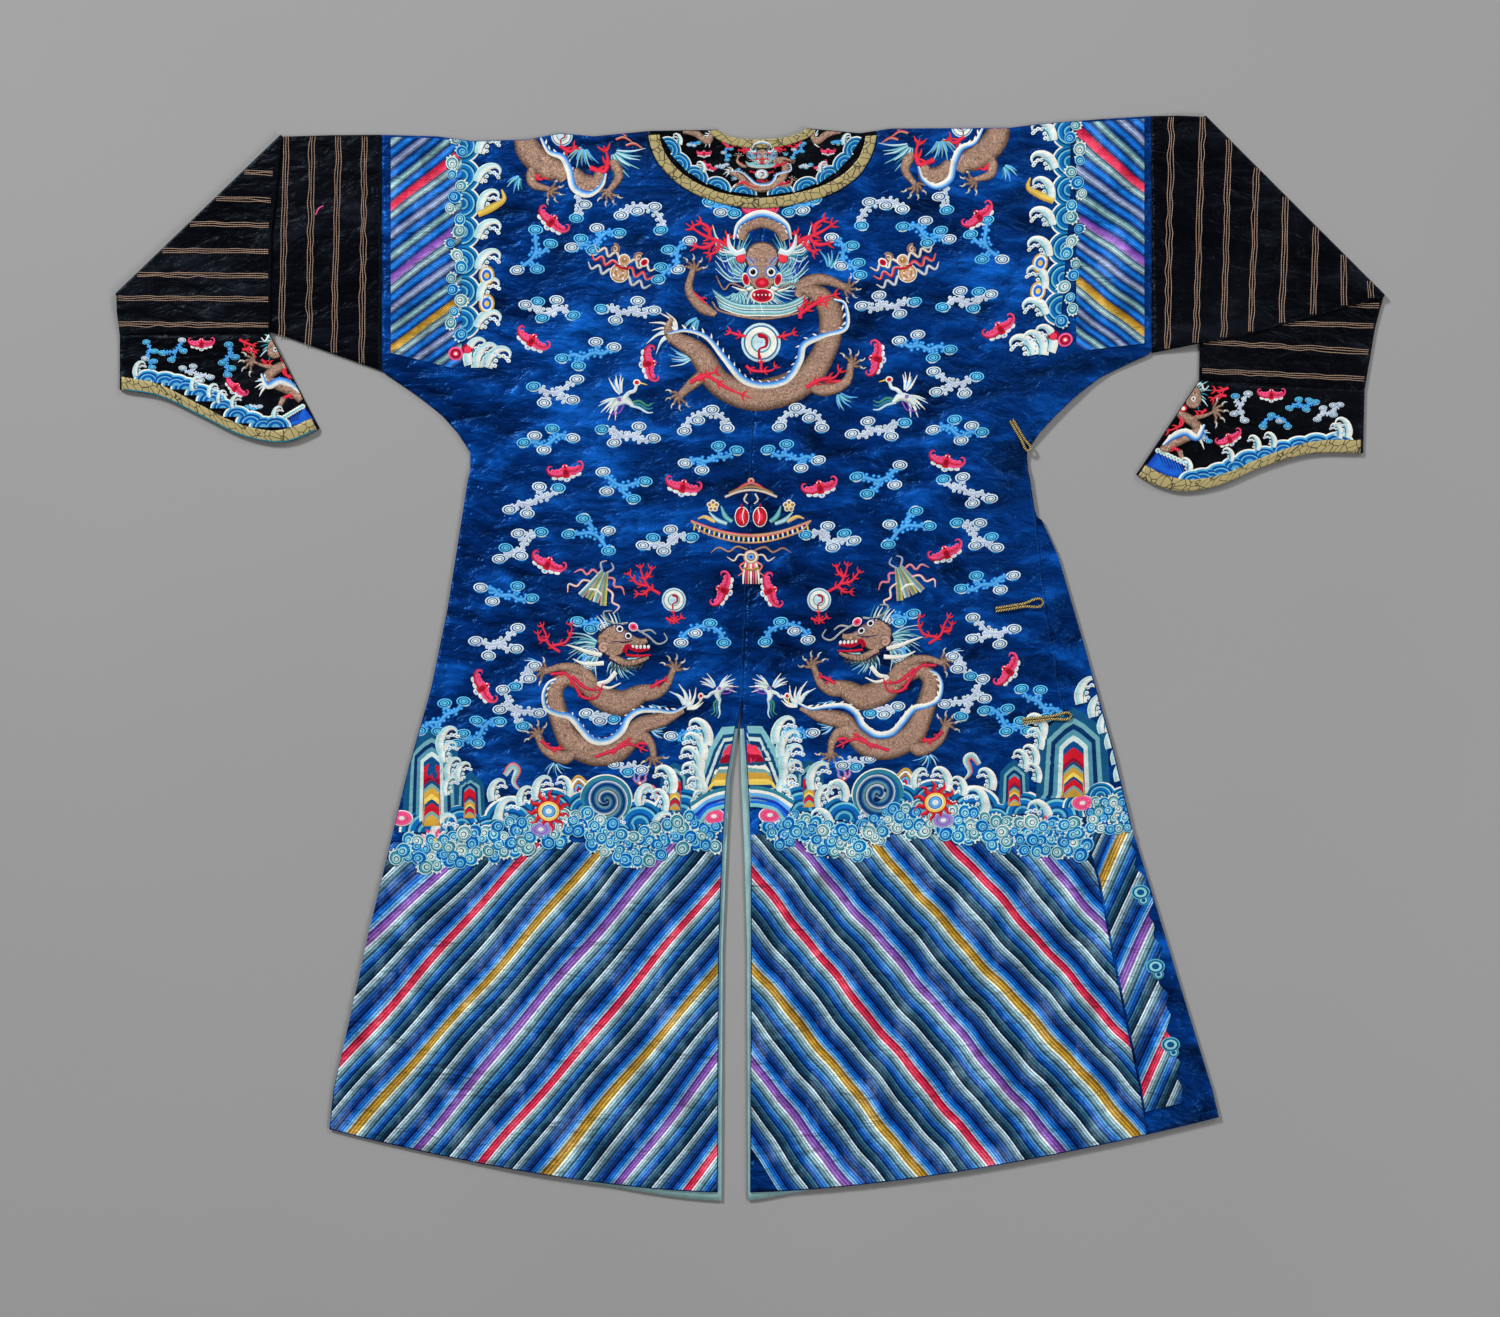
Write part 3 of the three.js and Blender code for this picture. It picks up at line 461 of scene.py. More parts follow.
def overlap_rows():
    """Rows of the outer overlap, slanting at its upper curve and level below."""
    top = SHOULDER_Y - OVERLAP_EDGE["y"]
    top_right = SHOULDER_Y - OVERLAP_EDGE["end_y"]
    fall = (VENT_TOP - top_right) / (VENT_TOP - top)
    levels = [(s, top_right + fall * (s - top)) for s in np.linspace(top, VENT_TOP - 12, 12)]
    levels += [(s, s) for s in np.linspace(VENT_TOP, FRONT_LENGTH, 36)]
    rows = []
    for s_left, s_right in levels:
        first = look_up(CENTRE, s_left, "front_right") + SEAM_GAP / 2
        drop = s_right - hem_bend(s_right, FRONT_LENGTH) * (RIGHT_HEM_RISE + 38)
        side = look_up(RIGHT_FOLD if drop > RIGHT_FOLD[0]["drop"] else RIGHT_SIDE, drop) - 4
        t = np.linspace(0, 1, OVERLAP_COLUMNS)
        x = first + (side - first) * t
        y = front_y(x, s_left + (s_right - s_left) * t)
        rows.append(np.stack([x, y, np.full(OVERLAP_COLUMNS, CLOTH / 2)], 1))
    return rows


overlap = plain_panel("outer_overlap_cloth", overlap_rows(), (0, 0, -1), CLOTH)

# Neck band and its edgings
BAND_COLUMNS = 24
BAND_ANGLES = np.linspace(0.06, math.pi - 0.06, 72)


def ring_points(angles, shares, front=False):
    """X and y round the neck's oval, at shares from its inner to its outer edge."""
    angle, share = np.meshgrid(angles, shares, indexing="ij")
    half = NECK["inner"] + (NECK["outer"] - NECK["inner"]) * share
    ends = (NECK["front_inner"], NECK["front_outer"]) if front else (NECK["back_inner"], NECK["back_outer"])
    depth = ends[0] + (ends[1] - ends[0]) * share
    x = NECK["x"] + half * np.cos(angle)
    return x, level_y(x, depth * np.sin(angle))


def band_bend(side, turns, shares):
    """Rows of the neck band where it folds over one shoulder."""
    radius = (CLOTH + LAYER_GAP) / 2
    rows = []
    normals = []
    for turn in turns:
        sin, cos = sin_cos(turn)
        x = NECK["x"] + side * (NECK["inner"] + (NECK["outer"] - NECK["inner"]) * shares)
        y = level_y(x, 0) - radius - CLOTH / 2 + radius * sin
        rows.append(np.stack([x, y, np.full(len(x), CLOTH + LAYER_GAP / 2 + radius * cos)], 1))
        normals.append(np.tile([0, sin, cos], (len(x), 1)))
    return np.stack(rows), np.stack(normals)


def neck_band():
    """The whole ring: half of the front, a shoulder, the back, the other shoulder and the front again."""
    shares = np.linspace(0, 1, BAND_COLUMNS)
    front = np.linspace(math.pi / 2 - 0.008, 0.06, 16)
    parts = []
    for angles, low in ((front, True), (None, False), (BAND_ANGLES, False), (None, True),
                        (math.pi - front[::-1], True)):
        if angles is None:
            turns = (30, 60, 90, 120, 150) if low else (150, 120, 90, 60, 30)
            parts.append(band_bend(-1 if low else 1, turns, shares))
            continue
        x, y = ring_points(angles, shares, low)
        z = np.full_like(x, CLOTH / 2) if low else body_top_flat(x, y) - CLOTH / 2
        normal = np.zeros(x.shape + (3,))
        normal[..., 2] = -1 if low else 1
        parts.append((np.stack([x, y, z], -1), normal))
    points = np.concatenate([p for p, _ in parts])
    normals = np.concatenate([n for _, n in parts])
    return wall("neck_band_cloth", points, normals, CLOTH), cut_area(points)


band = neck_band()


def ring_trim(name, first, last):
    """Brocade edging on the back of the neck band, between two shares of its width."""
    x, y = ring_points(BAND_ANGLES, np.linspace(first, last, 7))
    crown = np.sin(np.linspace(0, math.pi, 7)) * 0.3
    z = body_top_flat(x, y) + SEAM_GAP + TRIM_WALL / 2 + crown
    points = np.stack([x, y, z], -1)
    normals = np.zeros_like(points)
    normals[..., 2] = 1
    piece = wall(name, points, normals, TRIM_WALL)
    along = travelled(points[:, 3])[:, None] + np.zeros(7)
    across = np.linspace(0, (last - first) * (NECK["outer"] - NECK["inner"]), 7) + np.zeros((len(along), 1))
    flat = np.stack([along, across, np.zeros_like(along)], -1)
    set_attribute(piece, "flat", "FLOAT_VECTOR", np.concatenate([flat, flat]))
    return piece, cut_area(points)


trim_outer = ring_trim("neck_edging_outer", 0.845, 1.0)
trim_inner = ring_trim("neck_edging_inner", 0.0, 0.125)

# Lining that shows at the vent and the hem


def lining_panel(name, side, column, width, hem_width):
    """Lining as wide as shows beside the vent, and wider along the hem."""
    rows = []
    for s in np.linspace(767, FRONT_LENGTH, 60):
        edge = look_up(CENTRE, s, column) + side * SEAM_GAP
        wide = width + (hem_width - width) * float(smooth((s - 1230) / 20))
        x = edge + side * wide * np.linspace(0, 1, 40)
        y = front_y(x, s)
        z = CLOTH + SEAM_GAP + TRIM_WALL / 2 + 0.12 * np.sin(s / 9 + x / 23)
        rows.append(np.stack([x, y, z], 1))
    return plain_panel(name, rows, (0, 0, 1), TRIM_WALL)


lining_left = lining_panel("lining_left_silk", -1, "front_left", 30, 212)
lining_right = lining_panel("lining_right_silk", 1, "front_right", 40, 98)

# Sleeves and cuffs, flattened tubes folded along a slanting line
TUBE_MID = CLOTH + LAYER_GAP / 2  # height of a flattened tube's middle
TUBE_HALF = TUBE_MID  # from its middle to its upper face
FOLD_RADIUS = TUBE_MID + 0.2
LEFT_SLEEVE = dict(
    side=-1,
    seam=((LEFT_SLEEVE_X - SEAM_GAP, 667), (LEFT_SLEEVE_X - SEAM_GAP, 364.4)),
    middle=((-536, 666.5), (-600, 410.5)),
    fold=((-600.3, 667), (-812.4, 463)),
    after=((-612, 540), (-810, 440)),
    cuff=((-614, 412.2), (-806.5, 410.3)),
    edge=((-550.5, 290.8), (-582, 276.5), (-611, 272.8), (-654, 283), (-704, 307.5), (-755, 331.5),
          (-806.5, 340.7)),
)
RIGHT_SLEEVE = dict(
    side=1,
    seam=((RIGHT_SLEEVE_X + SEAM_GAP, 691), (RIGHT_SLEEVE_X + SEAM_GAP, 387.5)),
    middle=((548, 691.2), (640, 412)),
    fold=((582.4, 691.8), (812.8, 461.4)),
    after=((577, 560), (800, 420)),
    cuff=((574.5, 353), (786.5, 340.5)),
    edge=((494, 232), (521, 217.5), (556, 210.5), (602, 219), (655, 241.5), (716, 258.5), (784.6, 259.5)),
)
EDGE_SHARES = (0, 0.12, 0.25, 0.42, 0.6, 0.8, 1)


def left_fold_lift(x, y):
    """How far the folded end of the left sleeve rises over the part below it."""
    share = np.clip((x + 812.4) / (812.4 + LEFT_SLEEVE_X), 0, 1)
    edge_y = 463 + (364.4 - 463) * share
    return 2 * FOLD_RADIUS * smooth((y - edge_y + 62) / 58)


def right_fold_lift(x):
    """How far the right sleeve rises over its own folded end."""
    return 2 * FOLD_RADIUS * smooth((x - RIGHT_SLEEVE_X - 2) / 52)


def line_points(line):
    t = np.linspace(0, 1, TUBE_COLUMNS)[:, None]
    return np.array(line[0], float) * (1 - t) + np.array(line[1], float) * t


def mix_lines(a, b, t):
    return tuple(tuple((1 - t) * p + t * q for p, q in zip(u, v)) for u, v in zip(a, b))


def flat_tube(name, rings, normals):
    """A closed wall round a flattened tube, from mid-plane rings and their normals."""

    def loop(ring, normal, high, inset):
        width = np.linalg.norm(ring[-1] - ring[0])
        place = np.array([0, 0.5, 1.6]) / width + inset / width
        stops = np.concatenate([place, np.linspace(place[-1], 1 - place[-1], 40)[1:-1], 1 - place[::-1]])
        rise = np.ones(len(stops))
        rise[[0, -1]] = 0.0
        rise[[1, -2]] = 0.72
        t = np.concatenate([stops, stops[-2:0:-1]])
        h = np.concatenate([-rise, rise[-2:0:-1]]) * high
        at = t * (len(ring) - 1)
        k = np.clip(at.astype(int), 0, len(ring) - 2)
        f = (at - k)[:, None]
        return ring[k] * (1 - f) + ring[k + 1] * f + normal * h[:, None]

    outer = np.stack([loop(r, n, TUBE_HALF, 0) for r, n in zip(rings, normals)])
    inner = np.stack([loop(r, n, LAYER_GAP / 2, CLOTH) for r, n in zip(rings, normals)])
    count, around = outer.shape[:2]
    k = np.arange(around)
    j = (k + 1) % around
    faces = []
    for r in range(count - 1):
        a = r * around
        b = a + around
        faces.append(np.stack([a + k, a + j, b + j, b + k], 1))
        start = count * around
        faces.append(np.stack([start + a + j, start + a + k, start + b + k, start + b + j], 1))
    start = count * around
    end = (count - 1) * around
    faces.append(np.stack([j, k, start + k, start + j], 1))
    faces.append(np.stack([end + k, end + j, start + end + j, start + end + k], 1))
    piece = make_object(name, np.concatenate([outer.reshape(-1, 3), inner.reshape(-1, 3)]),
                        np.concatenate(faces))
    make_outward(piece)
    return piece, 2 * cut_area(np.stack(rings))


def sleeve(name, cut):
    """A black sleeve end: level to its slanting fold, round the fold, and level to the cuff."""
    side = cut["side"]
    over = side < 0
    top, bottom = (np.array(p, float) for p in cut["fold"])
    along = (bottom - top) / np.linalg.norm(bottom - top)
    outward = np.array([-side * along[1], side * along[0]])

    def inset(line, d):
        return tuple(tuple(np.array(p) - outward * d) for p in line)

    axis = inset(cut["fold"], FOLD_RADIUS + TUBE_MID)
    rings = []
    normals = []

    def ring(line, normal, z):
        flat = line_points(line)
        high = z(flat[:, 0], flat[:, 1]) if callable(z) else np.full(len(flat), z)
        rings.append(np.column_stack([flat, high]))
        normals.append(np.array(normal, float))

    def before(x, y):
        return TUBE_MID + (0 * x if over else right_fold_lift(x))

    def after(x, y):
        return TUBE_MID + (left_fold_lift(x, y) if over else 0 * x)

    for t in np.linspace(0, 1, 17)[:-1]:
        ring(mix_lines(cut["seam"], cut["middle"], t), (0, 0, 1), before)
    for t in np.linspace(0, 1, 15)[:-1]:
        ring(mix_lines(cut["middle"], axis, t), (0, 0, 1), before)
    start = -1 if over else 1
    for turn in np.linspace(0, 180, 15):
        sin, cos = sin_cos(turn)
        normal = (start * outward[0] * sin, start * outward[1] * sin, cos)
        ring(inset(axis, -FOLD_RADIUS * sin), normal, TUBE_MID + FOLD_RADIUS + start * FOLD_RADIUS * cos)
    for t in np.linspace(0, 1, 11)[1:]:
        ring(mix_lines(axis, cut["after"], t), (0, 0, -1), after)
    for t in np.linspace(0, 1, 15)[1:]:
        ring(mix_lines(cut["after"], cut["cuff"], t), (0, 0, -1), after)
    return flat_tube(name, rings, normals)


left_sleeve = sleeve("left_sleeve_cloth", LEFT_SLEEVE)
right_sleeve = sleeve("right_sleeve_cloth", RIGHT_SLEEVE)


def curve_through(points, samples):
    """A smooth curve through points, even in its own parameter, as an array."""
    p = np.asarray(points, float)
    p = np.concatenate([[2 * p[0] - p[1]], p, [2 * p[-1] - p[-2]]])
    t = np.linspace(0, len(p) - 3, samples)
    k = np.minimum(t.astype(int), len(p) - 4)
    f = (t - k)[:, None]
    a, b, c, d = p[k], p[k + 1], p[k + 2], p[k + 3]
    return 0.5 * ((2 * b) + (c - a) * f + (2 * a - 5 * b + 4 * c - d) * f**2 + (3 * b - a - 3 * c + d) * f**3)


def cuff_edge(cut, t):
    """Points of a cuff's hoof-shaped lower edge at shares across it."""
    place = np.interp(t, EDGE_SHARES, np.arange(7) / 6)
    dense = curve_through(cut["edge"], 241)
    at = np.clip(place, 0, 1) * 240
    k = np.minimum(at.astype(int), 239)
    f = (at - k)[:, None]
    return dense[k] * (1 - f) + dense[k + 1] * f


def cuff_points(cut, t, down, gap=SEAM_GAP):
    """Points of a cuff at shares across it and a share down from its seam."""
    t = np.asarray(t, float)
    top, bottom = (np.array(p, float) for p in cut["cuff"])
    seam = top * (1 - t)[:, None] + bottom * t[:, None]
    seam[:, 1] -= gap
    return seam + (cuff_edge(cut, t) - seam) * np.asarray(down)[..., None]


def cuff_mid(cut, x, y):
    return TUBE_MID + (left_fold_lift(x, y) if cut["side"] < 0 else 0 * x)


def cuff(name, cut):
    rings = []
    t = np.linspace(0, 1, TUBE_COLUMNS)
    for down in np.linspace(0, 1, 18):
        flat = cuff_points(cut, t, np.full(TUBE_COLUMNS, down))
        rings.append(np.column_stack([flat, cuff_mid(cut, flat[:, 0], flat[:, 1])]))
    return flat_tube(name, rings, [np.array([0, 0, -1.0])] * len(rings))


def cuff_edging(name, cut):
    """Brocade edging along a cuff's lower edge."""
    wide = 17.0
    t = np.linspace(0.012, 0.988, EDGING_COLUMNS)
    seam = cuff_points(cut, t, np.zeros(EDGING_COLUMNS), 0)
    long = np.linalg.norm(cuff_edge(cut, t) - seam, axis=1)
    rows = []
    flats = []
    for k in np.linspace(1, 0, 7):
        flat = cuff_points(cut, t, 1 - k * wide / long)
        z = cuff_mid(cut, flat[:, 0],
                     flat[:, 1]) + TUBE_HALF + SEAM_GAP + TRIM_WALL / 2 + 0.3 * math.sin(math.pi * k)
        rows.append(np.column_stack([flat, z]))
        flats.append(np.column_stack([travelled(flat), np.full(EDGING_COLUMNS, k * wide),
                                      np.zeros(EDGING_COLUMNS)]))
    piece, area = plain_panel(name, rows, (0, 0, 1), TRIM_WALL)
    set_attribute(piece, "flat", "FLOAT_VECTOR", np.concatenate([np.stack(flats).reshape(-1, 3)] * 2))
    return piece, area


left_cuff = cuff("left_cuff_cloth", LEFT_SLEEVE)
right_cuff = cuff("right_cuff_cloth", RIGHT_SLEEVE)
left_edging = cuff_edging("left_cuff_edging", LEFT_SLEEVE)
right_edging = cuff_edging("right_cuff_edging", RIGHT_SLEEVE)


def sleeve_top(cut, folded):
    """Height of the upper face of a sleeve, before or after its fold."""

    def height(x, y):
        x = np.asarray(x, float)
        y = np.asarray(y, float)
        if cut["side"] < 0:
            lift = left_fold_lift(x, y) if folded else 0 * x
        else:
            lift = 0 * x if folded else right_fold_lift(x)
        return TUBE_MID + TUBE_HALF + lift

    return height


# Materials


class Value:
    """A node's output, which adds and multiplies as a number does, through math nodes."""

    def __init__(self, paint, socket):
        self.paint = paint
        self.socket = socket

    def math(self, operation, *values):
        return self.paint.made("ShaderNodeMath", dict(enumerate(values)), operation=operation)

    def __add__(self, other):
        return self.math("ADD", self, other)

    def __sub__(self, other):
        return self.math("SUBTRACT", self, other)

    def __rsub__(self, other):
        return self.math("SUBTRACT", other, self)

    def __mul__(self, other):
        return self.math("MULTIPLY", self, other)

    def __pow__(self, other):
        return self.math("POWER", self, other)

    def __abs__(self):
        return self.math("ABSOLUTE", self)

    def __lt__(self, other):
        return self.math("LESS_THAN", self, other)

    def sine(self):
        return self.math("SINE", self)

    def clamped(self):
        """Keeps the last sum or product from 0 to 1."""
        self.socket.node.use_clamp = True
        return self


class Paint:
    """A new material: its shader, and the nodes that feed it."""

    def __init__(self, name):
        self.material = bpy.data.materials.new(name)
        self.material.use_nodes = True
        self.tree = self.material.node_tree
        self.shader = self.tree.nodes["Principled BSDF"]

    def feed(self, socket, value):
        """Links a Value to a socket, or sets the socket's number, vector or colour."""
        if isinstance(value, Value):
            self.tree.links.new(value.socket, socket)
        else:
            socket.default_value = (*value, 1) if socket.type == "RGBA" else value

    def made(self, kind, inputs, output=0, **settings):
        """One output of a new node, with some of its inputs fed."""
        node = self.tree.nodes.new(kind)
        for key, value in settings.items():
            setattr(node, key, value)
        for name, value in inputs.items():
            self.feed(node.inputs[name], value)
        return Value(self, node.outputs[output])

    def attribute(self, name, output):
        return self.made("ShaderNodeAttribute", {}, output, attribute_name=name)

    def position(self, scale=(1, 1, 1), turn=0.0):
        place = self.made("ShaderNodeTexCoord", {}, "Object")
        return self.made("ShaderNodeMapping", {"Vector": place, "Scale": scale, "Rotation": (0, 0, turn)},
                         "Vector")

    def noise(self, vector, scale, detail=2.0, rough=0.5, distortion=0.0):
        inputs = {"Vector": vector, "Scale": scale, "Detail": detail, "Roughness": rough,
                  "Distortion": distortion}
        return self.made("ShaderNodeTexNoise", inputs, "Fac")

    def ramp(self, factor, *stops):
        colour = self.made("ShaderNodeValToRGB", {"Fac": factor}, "Color")
        elements = colour.socket.node.color_ramp.elements
        while len(elements) < len(stops):
            elements.new(0.5)
        for element, (place, shade) in zip(elements, stops):
            element.position = place
            element.color = (*shade, 1)
        return colour

    def mix(self, factor, a, b, blend="MIX"):
        return self.made("ShaderNodeMix", {0: factor, 6: a, 7: b}, 2, data_type="RGBA", blend_type=blend)

    def times(self, colour, light):
        """A colour multiplied by a grey."""
        grey = self.made("ShaderNodeCombineColor", {0: light, 1: light, 2: light})
        return self.mix(1.0, colour, grey, "MULTIPLY")

    def bump(self, height, distance, strength=1.0, normal=None):
        inputs = {"Height": height, "Distance": distance, "Strength": strength}
        if normal is not None:
            inputs["Normal"] = normal
        return self.made("ShaderNodeBump", inputs, "Normal")

    def crumple(self):
        """Relief of long-folded silk: level creases above, slanting ones in the skirt."""
        level = self.noise(self.position((1, 2.1, 1), 0.36), 12, 3, 0.55, 0.8)
        fine = self.noise(self.position((1, 1.7, 1), -0.3), 40, 3, 0.6, 1.0)
        slanted = self.noise(self.position((1, 2.4, 1), -0.7), 8, 2, 0.5, 0.8)
        return level * 0.8 + fine * 0.32 + slanted * 0.8

    def sharp_creases(self, scale, stretch, turn):
        """Thin ridges, 0 to 1, along the middle level of a noise, which the satin uses as relief and as
        painted highlights.
        """
        field = self.noise(self.position((1, stretch, 1), turn), scale, 2, 0.5, 0.7)
        return (1.0 - abs(field - 0.5) * 2.0).clamped() ** 4.5

    def finish(self, inputs):
        for name, value in inputs.items():
            self.feed(self.shader.inputs[name], value)
        return self.material


def satin(name, dark, middle, bright, distance, roughness, gloss_level, gloss_tint):
    """Silk satin with wide soft folds, sharp creases and fine threads; its colour is painted darker in the
    hollows of the relief and brighter on its ridges, as painted shade and painted highlights.
    """
    paint = Paint(name)
    sharp = (paint.sharp_creases(11, 1.8, 0.4) + paint.sharp_creases(9, 1.8, -0.65) * 0.7) * 0.5
    relief = paint.crumple() + sharp * 0.2
    area = paint.noise(paint.position((1, 1, 1), 0.5), 2.6)
    # Painted shade and painted highlights: the colour follows the fold relief and the sharp creases, dark in
    # the hollows and bright on the ridges.
    painted_satin_light = ((relief - 1.05) * 1.3 + 0.42 + (area - 0.5) * 0.9).clamped()
    warp = paint.noise(paint.position((1, 0.02, 1)), 900, 1)
    colour = paint.ramp(painted_satin_light, (0.12, dark), (0.5, middle), (0.92, bright))
    threads = paint.noise(paint.position((1, 0.05, 1)), 1500, 1)
    return paint.finish({
        "Base Color": paint.times(colour, warp * 0.3 + 0.85),
        "Normal": paint.bump(threads, 0.00006, 0.5, paint.bump(relief, distance)),
        "Roughness": warp * 0.12 + (roughness - 0.06),
        "Anisotropic": 0.45,
        "Specular IOR Level": gloss_level,
        "Specular Tint": gloss_tint,
    })


def floss(name, distance=0.0035, thread=0.00011, pitch=1.7, roughness=0.5, depth=0.3, swing=0.3,
          turn=0.0, shine=0.0):
    """Silk floss in each point's own dye, with lines of thread and soft relief of the cloth below, painted
    darker in the grooves between threads, with painted fold shade, painted highlight streaks and mottling,
    and a painted sheen that pales it.
    """
    paint = Paint(name)
    own_dye = paint.attribute("dye", "Color")
    lay = paint.attribute("lay", "Fac")
    jitter = paint.noise(paint.position(), 260, 2, 0.6)
    wave = (lay * (2 * math.pi / pitch) + jitter).sine() * 0.5 + 0.5
    speckle = paint.noise(paint.position(), 620, 2, 0.6)
    patch = paint.noise(paint.position((1, 1.6, 1)), 34, 3, 0.55)
    broad = paint.noise(paint.position((2.0, 1, 1), turn), 14, 4, 0.6)
    painted_streaks = paint.noise(paint.position((1, 0.16, 1), 0.12), 420, 2, 0.6)
    # Painted light: the grooves between threads painted darker, and painted shade and highlights in broad
    # folds, streaks and mottled patches, over a fine speckle.
    light = (wave * depth + (1.0 - depth * 0.75)) * (broad * swing + (1 - swing / 2))
    light = light * (painted_streaks * (0.7 * depth) + (1 - 0.35 * depth))
    light = light * (speckle * 0.5 + 0.75) * (patch * 0.6 + 0.84)
    # Painted sheen: where the broad folds and the patches are brightest, the dye turns pale aqua.
    painted_sheen = ((broad - 0.5) * (patch + 0.3) * shine).clamped()
    return paint.finish({
        "Base Color": paint.times(paint.mix(painted_sheen, own_dye, (0.5, 0.72, 0.74)), light),
        "Specular Tint": paint.mix(0.25, own_dye, (1.0, 1.0, 1.0)),
        "Normal": paint.bump(wave, thread, 0.8, paint.bump(paint.crumple(), distance)),
        "Roughness": speckle * 0.2 + (roughness - 0.1),
        "Sheen Weight": 0.05,
        "Specular IOR Level": 0.15,
    })


def couched_gold(name):
    """Gold thread laid in small curls and sewn down, with brown silk showing between."""
    paint = Paint(name)
    swirl = paint.noise(paint.position(), 70, 2, 0.5, 4.0)
    lines = (swirl * 44).sine() * 0.5 + 0.5
    fleck = paint.noise(paint.position(), 330, 3, 0.75)
    light = (lines * 0.6 + 0.35) * (fleck * 2.4 + -0.1)
    return paint.finish({
        "Base Color": paint.times(paint.attribute("dye", "Color"), light),
        "Normal": paint.bump(lines, 0.0003, 0.8, paint.bump(paint.crumple(), 0.003)),
        "Roughness": fleck * 0.3 + 0.3,
        "Metallic": 0.25,
    })


def brocade(name):
    """Khaki gold weave with a dark crackle and small five-petalled blossoms."""
    paint = Paint(name)
    flat = paint.attribute("flat", "Vector")
    cracks = paint.made("ShaderNodeTexVoronoi", {"Vector": flat, "Scale": 0.105}, "Distance",
                        feature="DISTANCE_TO_EDGE")
    blossoms = paint.made("ShaderNodeTexVoronoi", {"Vector": flat, "Scale": 0.045, "Randomness": 0.7},
                          "Distance", feature="F1")
    ring = abs(blossoms - 0.13) < 0.028
    open_line = (cracks < 0.045) * (1.0 - (blossoms < 0.13))
    dark = open_line.math("MAXIMUM", open_line, ring)
    weave = paint.noise(flat, 3.0, 2, 0.6)
    patch = paint.noise(flat, 0.25)
    gold = paint.ramp(weave, (0.3, (0.34, 0.25, 0.08)), (0.7, (0.66, 0.54, 0.24)))
    gold = paint.mix(patch * 0.5, gold, (0.44, 0.4, 0.2))
    return paint.finish({
        "Base Color": paint.mix(dark * 0.88, gold, (0.02, 0.016, 0.01)),
        "Normal": paint.bump(weave - dark, 0.00015),
        "Roughness": weave * 0.25 + 0.38,
        "Metallic": 0.15,
    })


def plain_silk(name, light, dark):
    """Thin silk with a level weave and soft shading."""
    paint = Paint(name)
    weave = paint.noise(paint.position((1, 0.08, 1)), 900, 2, 0.6)
    soft = paint.noise(paint.position((2.2, 1, 1)), 26, 3)
    return paint.finish({
        "Base Color": paint.ramp(soft * 0.6 + weave * 0.4, (0.3, dark), (0.7, light)),
        "Normal": paint.bump(weave, 0.00008, 0.6, paint.bump(soft, 0.002)),
        "Roughness": weave * 0.2 + 0.45,
        "Sheen Weight": 0.3,
    })


def twisted_cord(name, turn):
    """Gold cord of slanting strands, with painted brown shade in the valleys between them."""
    paint = Paint(name)
    inputs = {"Vector": paint.position((1, 1, 1), turn), "Scale": 130, "Distortion": 1.2,
              "Detail Scale": 40}
    wave = paint.made("ShaderNodeTexWave", inputs, "Fac", wave_type="BANDS", bands_direction="X",
                      wave_profile="SIN")
    fleck = paint.noise(paint.position(), 700, 2, 0.6)
    # Painted shade: near-black brown in the valleys between strands, gold on the strands.
    stops = ((0.1, (0.03, 0.016, 0.004)), (0.4, (0.36, 0.23, 0.05)), (0.85, (0.86, 0.66, 0.26)))
    return paint.finish({
        "Base Color": paint.ramp(wave * 0.75 + fleck * 0.35, *stops),
        "Normal": paint.bump(wave, 0.0012),
        "Roughness": fleck * 0.3 + 0.25,
        "Metallic": 0.45,
    })


def pale_ground(name):
    """Even grey with a faint cloudiness."""
    paint = Paint(name)
    stops = ((0.3, (0.355, 0.355, 0.355)), (0.7, (0.368, 0.368, 0.368)))
    return paint.finish({
        "Base Color": paint.ramp(paint.noise(paint.position(), 1.4), *stops),
        "Roughness": 0.9,
        "Specular IOR Level": 0.1,
    })


# Satins: painted-shade, middle and painted-highlight colours of the fold relief, then bump distance,
# roughness, gloss level and gloss tint.
BLUE = satin("blue_satin_silk", (0.0001, 0.0022, 0.03), (0.0005, 0.025, 0.172), (0.005, 0.125, 0.62),
             0.012, 0.38, 0.75, (0.03, 0.32, 1.0))
BLACK = satin("black_satin_silk", (0.0003, 0.0004, 0.001), (0.0012, 0.0014, 0.003), (0.008, 0.0095, 0.016),
              0.008, 0.4, 0.12, (0.6, 0.75, 1.0))
LINING = plain_silk("aqua_lining_silk", (0.42, 0.68, 0.66), (0.2, 0.42, 0.44))
BROCADE = brocade("crackle_brocade")
FLOSS = floss("silk_floss")
# Stripe and sleeve-end floss: strong painted fold shade (swing 2.2) and painted sheen (shine 0.8 and 0.6).
STRIPE_FLOSS = floss("stripe_floss", 0.012, 0.0004, 2.6, 0.42, 0.86, 2.2, 0.9, 0.8)
END_FLOSS = floss("sleeve_end_floss", 0.012, 0.0002, 2.0, 0.34, 0.5, 2.2, 0.9, 0.6)
GOLD = couched_gold("couched_gold_thread")
RIB_FLOSS = floss("couched_rib_thread", 0.002, 0.0003, 2.1, 0.4, 0.9, 0.6)


def dress(cloth, material, node_name):
    """Gives a sheet its material and its place among the solids, whose own part it hides."""
    piece, area = cloth
    piece.data.materials.append(material)
    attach(piece, "root")
    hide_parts(node_name)


